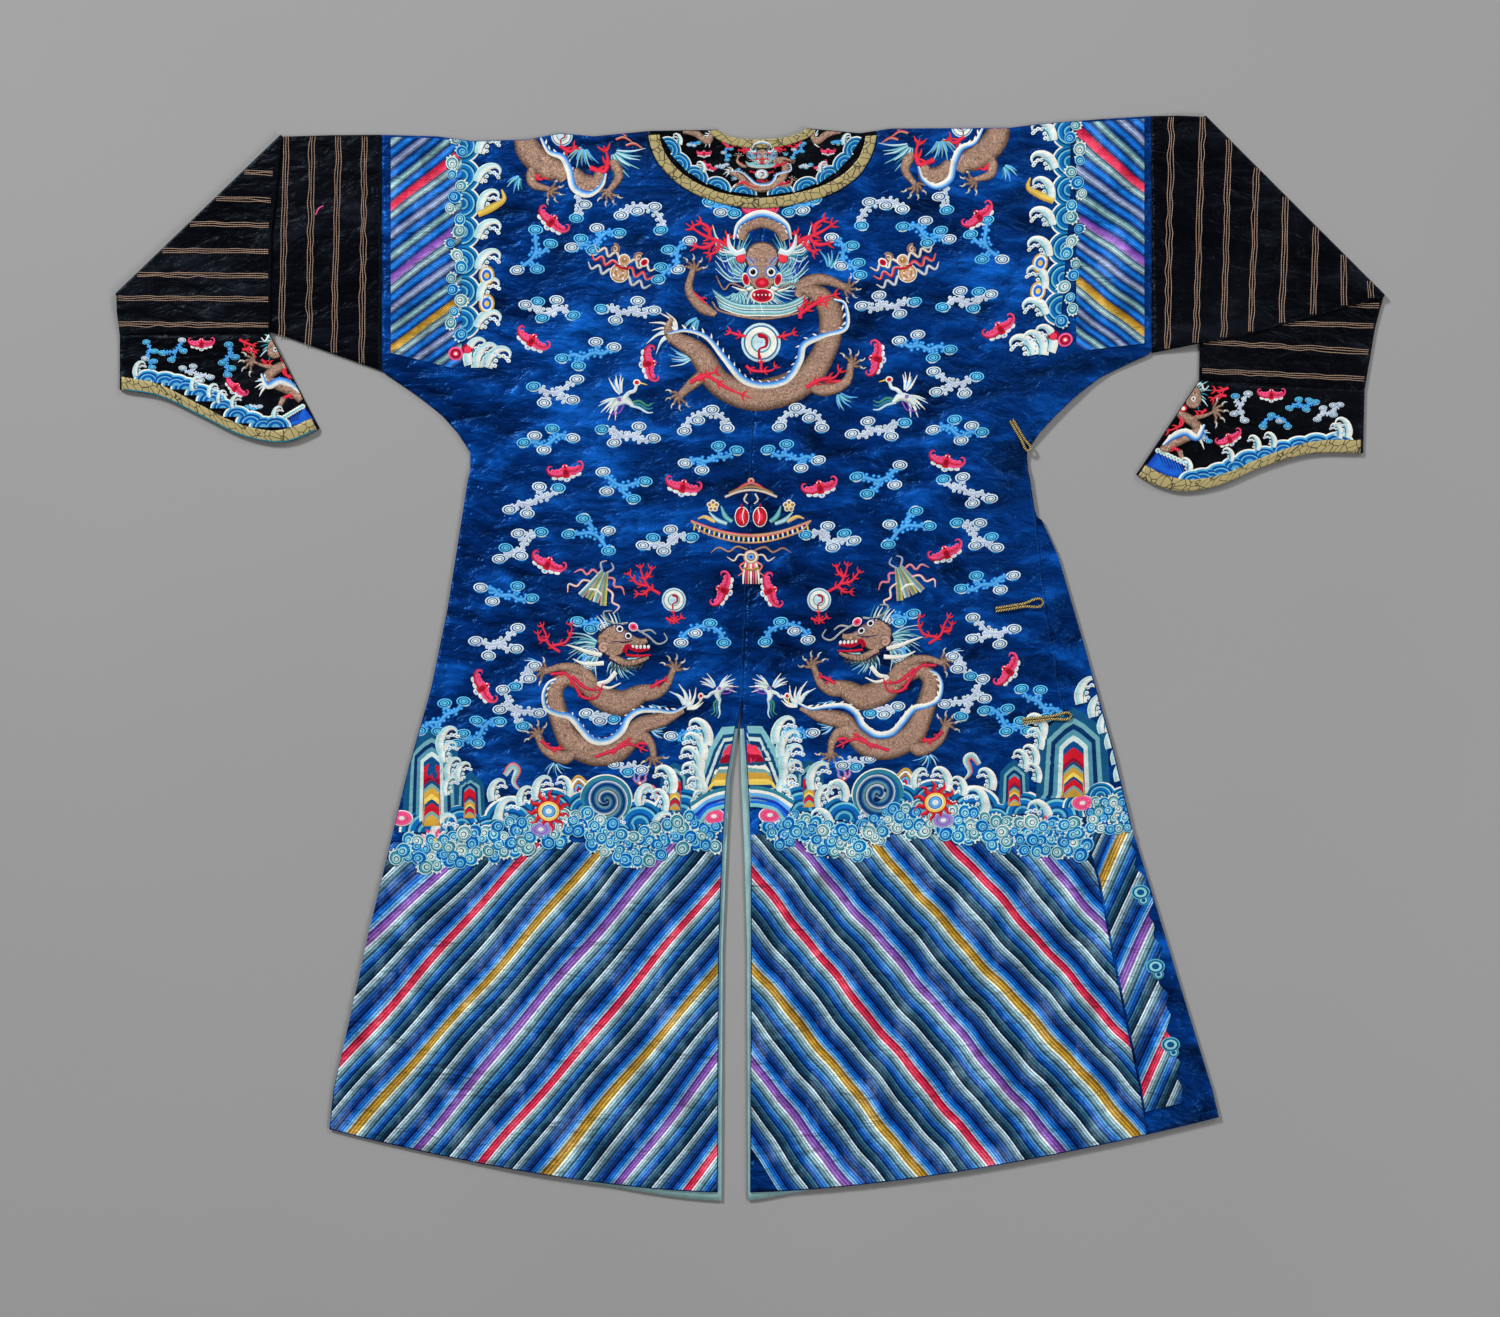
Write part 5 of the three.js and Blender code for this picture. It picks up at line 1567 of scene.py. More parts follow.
def basket_with_peaches(pen):
    """A fringed basket under a small canopy, with two peaches, flowers, knots and a tassel."""
    for k, y in enumerate((-45, -41.5, -38)):
        wide = (14, 22, 26)[k]
        pen.ribbon([(-wide, y + 5), (-wide * 0.5, y), (0, y - 2), (wide * 0.5, y), (wide, y + 5)], 2.6,
                   [COUCHED, (ROSE, OCHRE, WHITE)[k], BROWN], 0.3, 0.2, 4)
    pen.disc(0, -49, 3.4, 3, [(1, COUCHED), (0.5, RED)], 0, 0.4, 0.3, 10)
    for half in halves(pen):
        half.ribbon([(4, -36), (7, -30), (3, -26)], [1.8, 1.8, 1.2], [COUCHED, WHITE], 0.3, 0.2, 4)
        half.disc(9, -13, 7.4, 10.4, [(1, WHITE), (0.9, CRIMSON), (0.78, RED), (0.4, ROSE)], 0, 0.5, 0.5,
                  18)
        half.ribbon([(9, -21), (9.4, -26)], [4.4, 0.6], [CRIMSON, RED], 0.7, 0.1, 3)
        half.ribbon([(7, -21), (8.6, -13), (7, -6)], [1.3, 1.5, 0.8], WHITE, 1.1, 0.1, 3)
        half.ribbon([(19, -8), (26, -14), (30, -24)], [4, 5, 1.2], [GREEN, AQUA, TEAL], 0.35)
        half.ribbon([(24, -6), (34, -10), (42, -18)], [4, 5, 1.2], [TEAL, ICE, GREEN], 0.35)
        blossom(half, 38, -24, OCHRE)
        half.ribbon([(36, -8), (46, -13), (53, -11)], [3, 4, 1.2], [COUCHED, YELLOW], 0.35)
        half.ribbon([(60, -9), (48, -4), (30, 2), (14, 5), (0, 6)], [2, 3, 3.4, 3.6, 3.6],
                    [OCHRE, COUCHED, ROSE], 0.45)
        half.ribbon([(60, -9), (50, 1), (32, 8), (14, 12), (0, 13)], [1.6, 2, 2, 2, 2],
                    [OCHRE, COUCHED, BROWN], 0.4)
        for k in range(12):
            t = (k + 0.5) / 12
            x = 58 - 58 * t
            y = -6 + 14 * math.sin(t * math.pi / 2)
            half.ribbon([(x, y - 1), (x + 1.6 * (1 - t), y + 5.5)], [2, 1.4], WHITE if k % 2 else YELLOW,
                        0.5, 0.15, 3)
        half.ribbon([(4, 20), (14, 17), (22, 22), (32, 18), (40, 23)], [2, 2.2, 2, 2, 0.8],
                    [COUCHED, BROWN], 0.35)
        half.ribbon([(4, 26), (12, 25), (17, 31), (24, 27)], [2, 2.2, 2, 0.8], [COUCHED, WHITE, BROWN],
                    0.35)
        half.ribbon([(5, 32), (11, 36), (8, 42), (13, 46)], [2, 2, 1.8, 0.8], [CORAL, COUCHED], 0.35)
    pen.disc(0, 27, 7.5, 7, [(1, COUCHED), (0.8, WHITE), (0.62, OCHRE), (0.4, SKY), (0.2, ROYAL)], 0, 0.5,
             0.4, 16)
    for k in range(7):
        x = (k - 3) * 2.4
        pen.ribbon([(x * 0.7, 33), (x, 42), (x * 1.1, 54)], [1.9, 1.9, 1.4], (WHITE, ROSE, COUCHED)[k % 3],
                   0.4, 0.15, 3)
    pen.ribbon([(-8, 38), (0, 40), (8, 38)], [2.4, 2.4, 2.4], OCHRE, 0.8)


def claw(pen, turn):
    """Five gold toes with white nails, spread about a wrist at the origin."""
    for k in range(5):
        toe = pen.at(0, 0, turn + (k - 2) * 38)
        toe.ribbon([(0, 0), (1.5, -5), (0, -10)], [4.4, 3.2, 1.8], [BROWN, COUCHED, BROWN], 0.2, 0.3, 4)
        toe.ribbon([(0, -9), (1.5, -12.5), (-0.5, -15.5)], [2.2, 1.7, 0.5], WHITE, 0.3, 0.15, 3)


def strokes(pen, count, centre, inner, outer, start, end, colours, bend=18.0, width=1.9):
    """Hair drawn as short curved strokes, fanned about a centre."""
    for k in range(count):
        share = (k + 0.5) / count
        angle = start + (end - start) * share
        long = outer * (0.82 + 0.18 * math.sin(k * 2.4))
        points = []
        for t in (0, 0.5, 1):
            a = math.radians(angle + bend * t)
            r = inner + (long - inner) * t
            points.append((centre[0] + r * math.cos(a), centre[1] - r * math.sin(a)))
        pen.ribbon(points, [width, width, 0.5], colours[k % len(colours)], 0.1 + 0.05 * (k % 3), 0.15, 3)


def fin(pen, path, reach=6.0, flip=1, every=5.0):
    """White and blue fin along a body, with backward teeth."""
    pen.ribbon(path, [2.5, 7.4, 7.4, 2.5],
               [WHITE, WHITE, SKY, ROYAL] if flip > 0 else [ROYAL, SKY, WHITE, WHITE], 1.2, 0.3, 7)
    line = curve_through(np.asarray(path, float), 24 * len(path))
    travel = travelled(line)
    for at in np.arange(every, travel[-1] - every, every):
        p = np.array([np.interp(at, travel, line[:, k]) for k in (0, 1)])
        q = np.array([np.interp(at + 1, travel, line[:, k]) for k in (0, 1)])
        run = (q - p) / max(1e-6, np.linalg.norm(q - p))
        out = np.array([run[1], -run[0]]) * flip
        pen.ribbon([p, p + out * reach * 0.55 - run * 1.2, p + out * reach - run * 4], [3, 2.2, 0.5], WHITE,
                   1.1, 0.1, 3)


def flame_branch(pen, path, width=4.0):
    """Red flame with side tongues, outlined in gold."""
    path = np.asarray(path, float)
    pen.ribbon(path, [width, width * 0.9, 1], [RED, ROSE, RED], 0.45, 0.2)
    for k in range(len(path) - 1):
        run = path[k + 1] - path[k]
        run /= max(1e-6, np.linalg.norm(run))
        for flip in (-1, 1):
            out = np.array([-run[1], run[0]]) * flip
            base = path[k] * 0.4 + path[k + 1] * 0.6
            tip = base + out * width * 1.3 + run * width * 1.4
            pen.ribbon([base, (base + tip) / 2 + out, tip], [width * 0.7, width * 0.5, 0.6], [CORAL, RED],
                       0.45, 0.15, 3)


# Dragons: couched gold bodies in one piece, silk parts in another


def from_left(side):
    """Places points drawn on the left half, there or mirrored on the right."""
    inner = mirrored(side)

    def place(points):
        points = np.asarray(points, float)
        distance = look_up(AXIS, points[..., 1], "x", "y") - points[..., 0]
        return inner(np.stack([distance, points[..., 1]], -1))

    return place


SCALES = [BROWN, COUCHED, COUCHED, COUCHED, BROWN]


def limb(gold, silk, path, width, turn):
    """A leg that ends in a claw, with a flame at its knee."""
    gold.ribbon(path, [width * 0.5, width, width * 0.9, width * 0.76, width * 0.6, width * 0.5], SCALES,
                0.3, 0.7, 7)
    claw(gold.at(*path[-1]), turn)
    knee = path[len(path) // 2]
    flame_branch(silk, [knee,
                  (knee[0] + (path[0][0] - knee[0]) * 0.7, knee[1] + (path[0][1] - knee[1]) * 0.7 - 2)],
                 3.6)


def frontal_dragon(gold, silk):
    """The dragon that faces out between the shoulders, with its pearl."""
    body = [(800, 287), (820, 297), (831, 316), (826, 348), (803, 381), (757, 396), (720, 384), (699, 354),
            (674, 338)]
    gold.ribbon(body, [8, 20, 25, 24, 24, 27, 31, 32, 31, 28, 26, 24, 20, 14], SCALES, 0.2, 1.1, 11)
    gold.ribbon([(674, 340), (668, 330), (672, 318)], [14, 9, 4], SCALES, 0.2, 0.6, 7)
    fin(silk,
        [(668, 334), (687, 331), (707, 338), (724, 358), (742, 379), (762, 386), (786, 381), (799, 362),
               (804, 345), (824, 336), (846, 328), (845, 305), (834, 300)], 5.5, 1, 9)
    strokes(silk, 9, (676, 336), 4, 31, 66, 190, [WHITE, WHITE, ICE], 40, 2.4)
    strokes(silk, 12, (696, 356), 4, 28, 165, 225, [SKY, AQUA, ICE], -20, 1.4)
    limb(gold, silk, [(797, 297), (806, 284), (824, 280), (846, 288)], 15, 95)
    limb(gold, silk, [(716, 315), (700, 306), (689, 290), (693, 270)], 12, 0)
    limb(gold, silk, [(714, 368), (700, 378), (688, 388), (680, 396)], 15, 215)
    limb(gold, silk, [(806, 384), (826, 390), (846, 382), (851, 364)], 14, 30)
    for centre, start, end in (((700, 318), 180, 250), ((838, 392), 250, 330), ((828, 270), 20, 100)):
        strokes(silk, 7, centre, 3, 21, start, end, [SKY, AQUA, TEAL], 20, 1.8)
    gold.ribbon([(740, 240), (745, 228), (762, 222), (779, 228), (786, 240)], [12, 13, 13, 13, 12], SCALES,
                0.1, 0.8, 7)
    fin(silk, [(734, 240), (740, 224), (762, 214), (785, 224), (791, 240)], 4, -1, 6)
    for side, start, end in ((-1, 140, 222), (1, 40, -42)):
        strokes(silk, 40, (762 + side * 6, 274), 13, 43, start, end, [TEAL, AQUA, ICE, TEAL_GREY, ROYAL],
                side * 44, 1.5)
        strokes(silk, 18, (762 + side * 26, 290), 4, 24, 180 - side * 170, 180 - side * 60,
                [ICE, TEAL, AQUA], side * 44, 1.5)
    strokes(silk, 46, (762, 280), 12, 38, 196, 344, [ICE, TEAL, AQUA, TEAL_GREY, WHITE], 16, 1.5)
    gold.ribbon([(712, 302), (722, 312), (762, 319), (802, 312), (812, 300)], [1.8, 2.4, 2.6, 2.4, 1.8],
                SCALES, 0.4, 0.2)
    for side in (-1, 1):
        for k in range(10):
            strand = [(762, 305 + 1.2 * k), (762 + side * 20, 304.5 + 1.2 * k),
                      (762 + side * (34 + 0.6 * k), 300 + k),
                      (762 + side * (50 - 0.8 * k), 289 + 1.9 * k)]
            silk.ribbon(strand, [1.5, 1.6, 1.6, 0.6], (TEAL, ICE, AQUA, TEAL_GREY, WHITE)[k % 5], 0.25,
                        0.15, 3)
        for k in range(8):
            strand = [(762 + side * 18, 262 - k), (762 + side * (28 + k), 258 - 1.5 * k),
                      (762 + side * (38 + k), 262 - 3.4 * k),
                      (762 + side * (46 + 0.5 * k), 256 - 4.4 * k)]
            silk.ribbon(strand, [1.4, 1.6, 1.6, 0.6], (ICE, TEAL, AQUA, WHITE)[k % 4], 0.3, 0.15, 3)
    gold.disc(762, 258, 17, 16, [(1, BROWN), (0.9, COUCHED), (0.5, COUCHED)], 0, 0.5, 0.8, 26)
    gold.disc(762, 274, 15, 18, [(1, BROWN), (0.92, COUCHED), (0.5, COUCHED)], 0, 0.55, 0.6, 26)
    for side in (-1, 1):
        x = 762 + side * 9
        silk.disc(x, 272.5, 6.4, 6.6, [(1, SKY), (0.86, ROYAL), (0.7, WHITE), (0.42, BLACK_DYE)], 0, 1.1,
                  0.4, 18)
        silk.disc(x - 1, 271, 1.1, 1.1, [(1, WHITE)], 0, 1.5, 0.1, 8)
        silk.disc(762 + side * 21, 259, 5.4, 5, [(1, CRIMSON), (0.85, ROSE), (0.5, CORAL)], 0, 0.9, 0.4, 14)
        silk.disc(762 + side * 16, 280, 4, 7, [(1, WHITE), (0.8, RED), (0.4, CRIMSON)], side * 12, 0.8, 0.3,
                  14)
        horn = [(762 + side * 17, 251), (762 + side * 25, 254), (762 + side * 32, 247),
                (762 + side * 34, 235)]
        silk.ribbon(horn, [6, 5.6, 4, 1.4], [WHITE, ICE, WHITE], 1.0, 0.4)
        for k in range(4):
            brow = [(762 + side * (4 + 2 * k), 265), (762 + side * (5 + 2.6 * k), 261),
                    (762 + side * (8 + 3 * k), 257)]
            silk.ribbon(brow, [1.4, 1.4, 0.5], SKY if k % 2 else ROYAL, 1.2, 0.1, 3)
        silk.ribbon([(762 + side * 9, 288), (762 + side * 18, 291), (762 + side * 30, 287)], [3, 2.6, 0.8],
                    WHITE, 0.8)
        gold.ribbon([(762 + side * 12, 292), (762 + side * 30, 284), (762 + side * 38, 290),
                     (762 + side * 46, 276)], [1.8, 1.8, 1.6, 1], SCALES, 0.9, 0.2)
    silk.disc(762, 283, 7, 5.4, [(1, CRIMSON), (0.86, RED), (0.4, ROSE)], 0, 1.1, 0.6, 18)
    silk.disc(762, 296, 12, 7.6, [(1, WHITE), (0.86, RED), (0.6, CRIMSON)], 0, 0.9, 0.4, 22)
    for k in range(5):
        silk.disc(754.5 + 3.75 * k, 295.4, 1.9, 2.4, [(1, WHITE)], 0, 1.3, 0.1, 8)
    over = silk.at(0, 0, 0, 1, 1, 1.1)
    for path in ([(798, 316), (812, 306), (826, 298), (840, 294)], [(800, 319), (802, 308), (808, 300)],
                 [(812, 306), (820, 302), (828, 304)], [(690, 383), (706, 376), (726, 388), (752, 399)],
                 [(698, 380), (710, 374), (718, 372)], [(806, 388), (820, 380), (834, 378), (842, 368)]):
        flame_branch(over, path, 4.0)
    pearl(silk.at(761, 343, 0, 1.65))
    flame_branch(silk, [(761, 372), (761, 358), (757, 352)], 3)
    flame_branch(silk, [(746, 366), (753, 371), (771, 371), (777, 365)], 3)
    for flip, x, y in ((1, 735, 335), (-1, 788, 336)):
        flame_branch(silk.at(x, y, 0, 1, flip), [(12, 2), (2, 0), (-9, -4)], 3.4)
    for flip, x, y in ((1, 704, 232), (-1, 820, 229)):
        flare = silk.at(x, y, 0, 1, flip)
        for path in ([(30, 18), (16, 10), (0, 4), (-18, -8)], [(12, 9), (2, 16), (-14, 14)],
                     [(6, 6), (4, -4), (-8, -11)], [(14, 8), (14, 18), (2, 26)], [(22, 12), (26, 2)]):
            flame_branch(flare, path, 4.2)


def profile_dragon(gold, silk):
    """Drawn for the left half; its head looks towards the centre seam."""
    limb(gold, silk, [(636, 694), (652, 695), (665, 687), (674, 669)], 12, 10)
    limb(gold, silk, [(596, 682), (580, 670), (562, 667), (545, 672)], 12, -84)
    limb(gold, silk, [(576, 752), (562, 757), (545, 748), (538, 735)], 15, -40)
    limb(gold, silk, [(624, 744), (642, 736), (651, 744), (654, 757)], 13, 165)
    body = [(658, 688), (642, 693), (622, 703), (602, 697), (585, 684), (567, 678), (556, 688), (556, 703),
            (561, 721), (571, 741), (593, 753), (615, 752), (629, 740), (641, 726), (661, 720),
            (684, 711)]
    gold.ribbon(body, [8, 20, 27, 25, 19, 16, 17, 20, 22, 26, 25, 23, 20, 18, 14, 4], SCALES, 0.3, 0.9, 9)
    fin(silk, [(557, 679), (549, 683), (544, 694), (546.5, 708), (558, 714), (571, 717), (581.5, 729),
               (592, 739.5), (607, 741), (621, 731.5), (628.5, 718), (640, 710.6), (657, 710.4), (673, 712),
               (686, 706)], 4.5, 1, 8)
    strokes(silk, 9, (684, 708), 3, 25, -24, 104, [WHITE, WHITE, ICE], 34, 2.3)
    for centre, start, end in (((556, 762), 190, 330), ((650, 728), 290, 350), ((650, 704), 270, 340),
                               ((540, 664), 130, 220)):
        strokes(silk, 7, centre, 2, 17, start, end, [SKY, ICE, TEAL], 18, 1.2)
    strokes(silk, 26, (604, 648), 9, 40, 128, 236, [TEAL, ICE, AQUA, TEAL_GREY], 22, 1.3)
    strokes(silk, 26, (620, 656), 8, 25, 208, 350, [ICE, TEAL, AQUA], 20, 1.3)
    for path in ([(602, 655), (588, 652), (577, 648), (567, 645)],
                 [(604, 663), (592, 664), (582, 663), (573, 659)],
                 [(616, 672), (608, 681), (598, 684), (609, 688), (621, 683)]):
        silk.ribbon(path, [4.4, 4, 3, 1], WHITE, 1.1, 0.3)
    gold.disc(613, 641, 15.5, 16, [(1, BROWN), (0.92, COUCHED), (0.4, COUCHED)], -14, 0.8, 0.9, 24)
    gold.ribbon([(618, 636), (630, 640), (640, 642), (647, 640)], [20, 15, 10, 6], SCALES, 0.8, 0.6, 7)
    gold.ribbon([(610, 656), (626, 663), (640, 661), (649, 657)], [9, 8, 6, 3], SCALES, 0.8, 0.5, 5)
    silk.spiral(604, 648, 7, 1.7, [NAVY, COUCHED, COUCHED, COUCHED], 40, 1, 1.9)
    for path in ([(600, 634), (608, 627), (618, 624), (624, 627)],
                 [(612, 641), (620, 642), (627, 642), (633, 640)], [(601, 656), (612, 660), (622, 667)],
                 [(632, 634), (638, 637), (646, 638)]):
        silk.ribbon(path, [0.8, 1.2, 0.8], NAVY, 1.9, 0.1, 3)
    for k in range(6):
        silk.ribbon([(606 + 3 * k, 630 - k), (602 + 3.4 * k, 622 - k), (597 + 4 * k, 616 - k)],
                    [1.6, 1.6, 0.6], (WHITE, ICE, TEAL)[k % 3], 1.2, 0.1, 3)
    for x, y in ((620, 629), (628.5, 636)):
        silk.disc(x, y, 4.2, 3.9, [(1, ROYAL), (0.84, WHITE), (0.5, BLACK_DYE)], 30, 1.8, 0.3, 14)
    silk.disc(633.5, 627, 5, 4.4, [(1, WHITE), (0.8, PINK), (0.4, RED)], 30, 1.6, 0.4, 14)
    silk.ribbon([(624, 652), (628, 646), (637, 650), (650, 649)], [5.4, 4.6, 4.2, 2], [RED, CRIMSON, RED],
                1.5, 0.2)
    silk.ribbon([(626, 655), (638, 656), (651, 655)], [2.6, 2.4, 1.4], RED, 1.5, 0.2)
    for k in range(5):
        silk.disc(633 + 3.9 * k, 646.8, 1.5, 2.0, [(1, WHITE)], 0, 1.8, 0.1, 7)
    for path in ([(628, 623), (617, 624), (606, 619), (604, 612), (612, 611)],
                 [(636, 629), (648, 636), (658, 644), (667, 640), (664, 633)],
                 [(640, 632), (650, 630), (656, 634)]):
        silk.ribbon(path, [1.8, 1.8, 1.6, 1], [WHITE, BROWN, ICE], 1.1, 0.2, 4)
    for k in range(9):
        gold.ribbon([(614 + 3.6 * k, 660), (613 + 3.6 * k, 666), (610 + 3.6 * k, 670)], [1.6, 1.4, 0.6],
                    BROWN, 1.2, 0.2, 3)
    for path in ([(551, 674), (566, 674), (575, 685), (583, 697), (597, 697), (603, 684)],
                 [(572, 676), (586, 688), (600, 690)], [(650, 688), (660, 682), (668, 679)],
                 [(541, 740), (549, 747), (557, 752)], [(595, 757), (614, 750), (629, 744), (648, 751)],
                 [(612, 754), (622, 744), (632, 738)]):
        silk.ribbon(path, [3.4, 3.4, 3.2, 1.4], [CRIMSON, ROSE, CRIMSON], 1.5, 0.2)
        flame_branch(silk.at(0, 0, 0, 1, 1, 0.9), path, 2.6)
    for path in ([(560, 652), (549, 644), (546, 634), (540, 622)],
                 [(552, 646), (566, 642), (572, 630), (570, 622)], [(548, 640), (540, 640), (538, 630)]):
        flame_branch(silk, path, 2.8)


def shoulder_dragon(gold, silk):
    """The part of a shoulder's dragon that comes over to the back."""
    gold.ribbon([(524, 137), (530, 152), (545, 166), (560, 172), (566, 180)], [22, 26, 27, 24, 14], SCALES,
                0.2, 0.9, 9)
    gold.ribbon([(572, 172), (582, 184), (596, 184), (602, 174)], [14, 22, 20, 12], SCALES, 0.2, 0.9, 9)
    fin(silk, [(541, 138), (549, 152), (563, 158), (570, 172), (574, 188), (588, 195), (601, 187),
               (606, 174)], 4.5, 1, 8)
    limb(gold, silk, [(532, 168), (533, 184), (550, 190)], 11, 110)
    limb(gold, silk, [(612, 160), (619, 176), (609, 192)], 11, 190)
    flame_branch(silk, [(532, 170), (540, 180), (546, 176)], 4)
    flame_branch(silk, [(560, 146), (570, 152), (577, 146)], 4)
    flame_branch(silk, [(590, 168), (604, 172), (608, 160), (604, 146)], 5)
    strokes(silk, 12, (612, 150), 5, 34, 262, 352, [AQUA, TEAL, ICE], 14, 1.8)
    strokes(silk, 9, (585, 146), 4, 26, 196, 300, [AQUA, TEAL_GREY, SKY], 14, 1.8)
    strokes(silk, 6, (522, 176), 3, 20, 180, 260, [SKY, AQUA, TEAL], 18, 1.8)
    pearl(silk.at(562, 136, 0, 0.9))
    for x, y in ((624, 140), (634, 146), (618, 134)):
        silk.ribbon([(x - 8, y), (x, y - 2), (x + 9, y + 3)], [2.4, 2.4, 1], [RED, COUCHED], 0.5, 0.2)


# The back's embroidery
CLOUDS = table("x y form warm turn",
    (117, 214, "arch", 1, -20), (165, 240, "zig", 0, 0), (86, 260, "zig", 0, 35),
    (225, 255, "fork", 0, 70), (208, 310, "zig", 1, -30), (130, 310, "bar", 1, -6),
    (168, 353, "bar", 0, 8), (199, 393, "fork", 1, 12), (204, 440, "zig", 0, -12),
    (125, 434, "bar", 1, -14), (48, 420, "arch", 1, 4), (41, 457, "bar", 0, 10),
    (216, 499, "bar", 1, 20), (130, 486, "fork", 0, -10), (228, 545, "zig", 1, 16),
    (155, 534, "fork", 0, 160), (81, 541, "zig", 1, -8), (240, 593, "bar", 0, -16),
    (246, 644, "fork", 1, 20), (218, 676, "small", 1, 60), (154, 624, "small", 0, 0),
    (42, 633, "arch", 0, 0), (227, 709, "fork", 1, -30), (264, 732, "zig", 0, 10),
    (142, 716, "small", 1, 0), (57, 734, "small", 0, 20), (40, 208, "small", 0, -12),
    (182, 205, "small", 1, 90), (160, 664, "small", 0, 70), (300, 716, "bar", 0, 30),
    (114, 767, "small", 1, 0))
BATS = table("x y turn", (552, 222, 40), (979, 217, -38), (532, 341, 32), (649, 364, 82), (876, 359, -80),
    (1000, 329, -32), (566, 472, -10), (683, 487, 12), (946, 462, 14), (820, 488, -14), (548, 564, 24),
    (946, 553, -24), (723, 590, -68), (770, 591, 70), (483, 688, 60), (1008, 671, -58), (760, 212, 0))


def curl_band(pen, seed):
    """Drifts of rolled foam between the waves and the stripes, drawn for the left half."""
    rng = random.Random(seed)
    line = table("x y", (392, 850), (440, 846), (480, 842), (530, 828), (575, 822), (600, 828),
        (630, 846), (660, 836), (690, 826), (724, 830))
    for row in range(4):
        for k in range(30):
            x = 398 + k * 11.2 + (row % 2) * 5.6 + rng.uniform(-2, 2)
            y = look_up(line, x, "y", "x") - 1 + (row - 0.9) * 8.8 + rng.uniform(-2.5, 2.5)
            drop = SHOULDER_Y - (LAYOUT_ORIGIN[1] - y) * UNIT
            if x - 8 < LAYOUT_ORIGIN[0] + look_up(LEFT_SIDE, drop) / UNIT or x > 719 - max(0, y - 800) * 0.03:
                continue
            if row == 3 and rng.random() < 0.35:
                continue
            kind = rng.choice((0, 0, 1, 1, 1, 2, 3, 3, 3))
            curl_ball(pen.at(x, y, rng.uniform(0, 360), 1, rng.choice((-1, 1)), rng.uniform(0.3, 0.9)),
                      rng.uniform(7.2, 10.2), kind)
    for x, y, dyes in ((541, 829, (PURPLE, LAVENDER)), (714, 816, (ROSE, PINK)), (402, 818, (ROSE, PINK))):
        rings = [(1, WHITE), (0.9, dyes[1]), (0.6, dyes[0]), (0.5, dyes[1]), (0.25, WHITE)]
        pen.disc(x, y, 11.5, 8, rings, 0, 1.2, 0.7, 20)


def wave_border(pen, side):
    """Mountains, hills, spiral waves, crests and treasures above the curls, on one half."""
    if side < 0:
        mountain(pen.at(432, 826), 52, 98, 0.34, 5)
    mountain(pen.at(470, 818), 28, 46, 0.42, 3)
    mountain(pen.at(675, 810), 28, 48, 0.42, 3)
    hills = ((428, 832, 29), (462, 826, 24), (512, 824, 30), (552, 812, 26), (586, 812, 24), (640, 824, 27),
             (682, 814, 30), (490, 834, 22), (622, 830, 20))
    for x, y, radius in hills:
        hill(pen.at(x, y), radius, 0.95)
    sea, deep = dye(16, 92, 156), dye(4, 34, 84)
    pen.disc(606, 800, 27, 26, [(1, WHITE), (0.95, TEAL), (0.8, sea), (0.5, deep)], 0, 0.35, 0.5, 30)
    pen.spiral(606, 800, 25, 2.2, [WHITE, sea, deep, sea, TEAL_GREY, deep], 250, 1, 0.85, 9)
    flaming_wheel(pen.at(549, 811, 0, 1.0, 1, 1.5))
    crests = ((446, 740, 24, 1), (447, 752, 20, 1), (452, 768, 19, 1), (449, 786, 18, 1), (442, 830, 30, 1),
              (462, 772, 18, 1), (496, 790, 20, 1), (505, 812, 26, 1), (541, 788, 22, 1),
              (566, 786, 18, -1), (524, 796, 18, 1), (612, 826, 24, 1), (668, 780, 26, -1),
              (662, 800, 20, -1), (708, 806, 30, -1), (643, 795, 20, 1), (660, 826, 26, 1))
    for x, y, height, flip in crests:
        crest(pen.at(x, y, 0, 1, flip, 0.3), height * 1.08)
    for x, y in ((702, 732), (697, 746), (694, 760), (695, 776), (700, 790)):
        crest(pen.at(x, y, -4, 1, -1, 0.3), 27)
    for k in range(5):
        pen.ribbon([(566 + 3 * k, 792), (578, 776 + 3 * k), (592 - 3 * k, 788)], [1.8, 2.4, 1.8],
                   (GOLD_DYE, WHITE, OCHRE, SKY, RED)[k], 0.3 + 0.05 * k, 0.15, 3)
    lotus(pen.at(434, 838, -6, 1.0, 1, 0.8))
    for path in ([(505, 775), (512, 766), (518, 770), (514, 782), (520, 790)],
                 [(640, 792), (652, 788), (656, 800)]):
        pen.ribbon(path, [5, 7, 7, 5, 2], [WHITE, AQUA, CORAL], 0.35, 0.4)
    coral_flame(pen.at(640, 778, 0, 0.7), RED, SKY)
    if side > 0:
        mountain(pen.at(411, 812, 0, 1, 1, 0.5), 66, 90, 0.34, 5)
        for x, y, height in ((398, 706, 26), (386, 722, 22), (377, 739, 21), (370, 755, 20), (364, 771, 20),
                             (361, 788, 20)):
            crest(pen.at(x + 2, y, 0, 1, -1, 0.7), height)
        for x, y, radius in ((384, 812, 16), (362, 816, 14), (404, 822, 18)):
            hill(pen.at(x, y, 0, 1, 1, 0.7), radius, 0.9)
        for k in range(20):
            curl_ball(pen.at(352 + 9.5 * (k % 5) + 4 * (k // 5 % 2), 818 + 8.6 * (k // 5), 50 * k, 1, 1,
                             0.8), 7 + k % 3, k % 4)


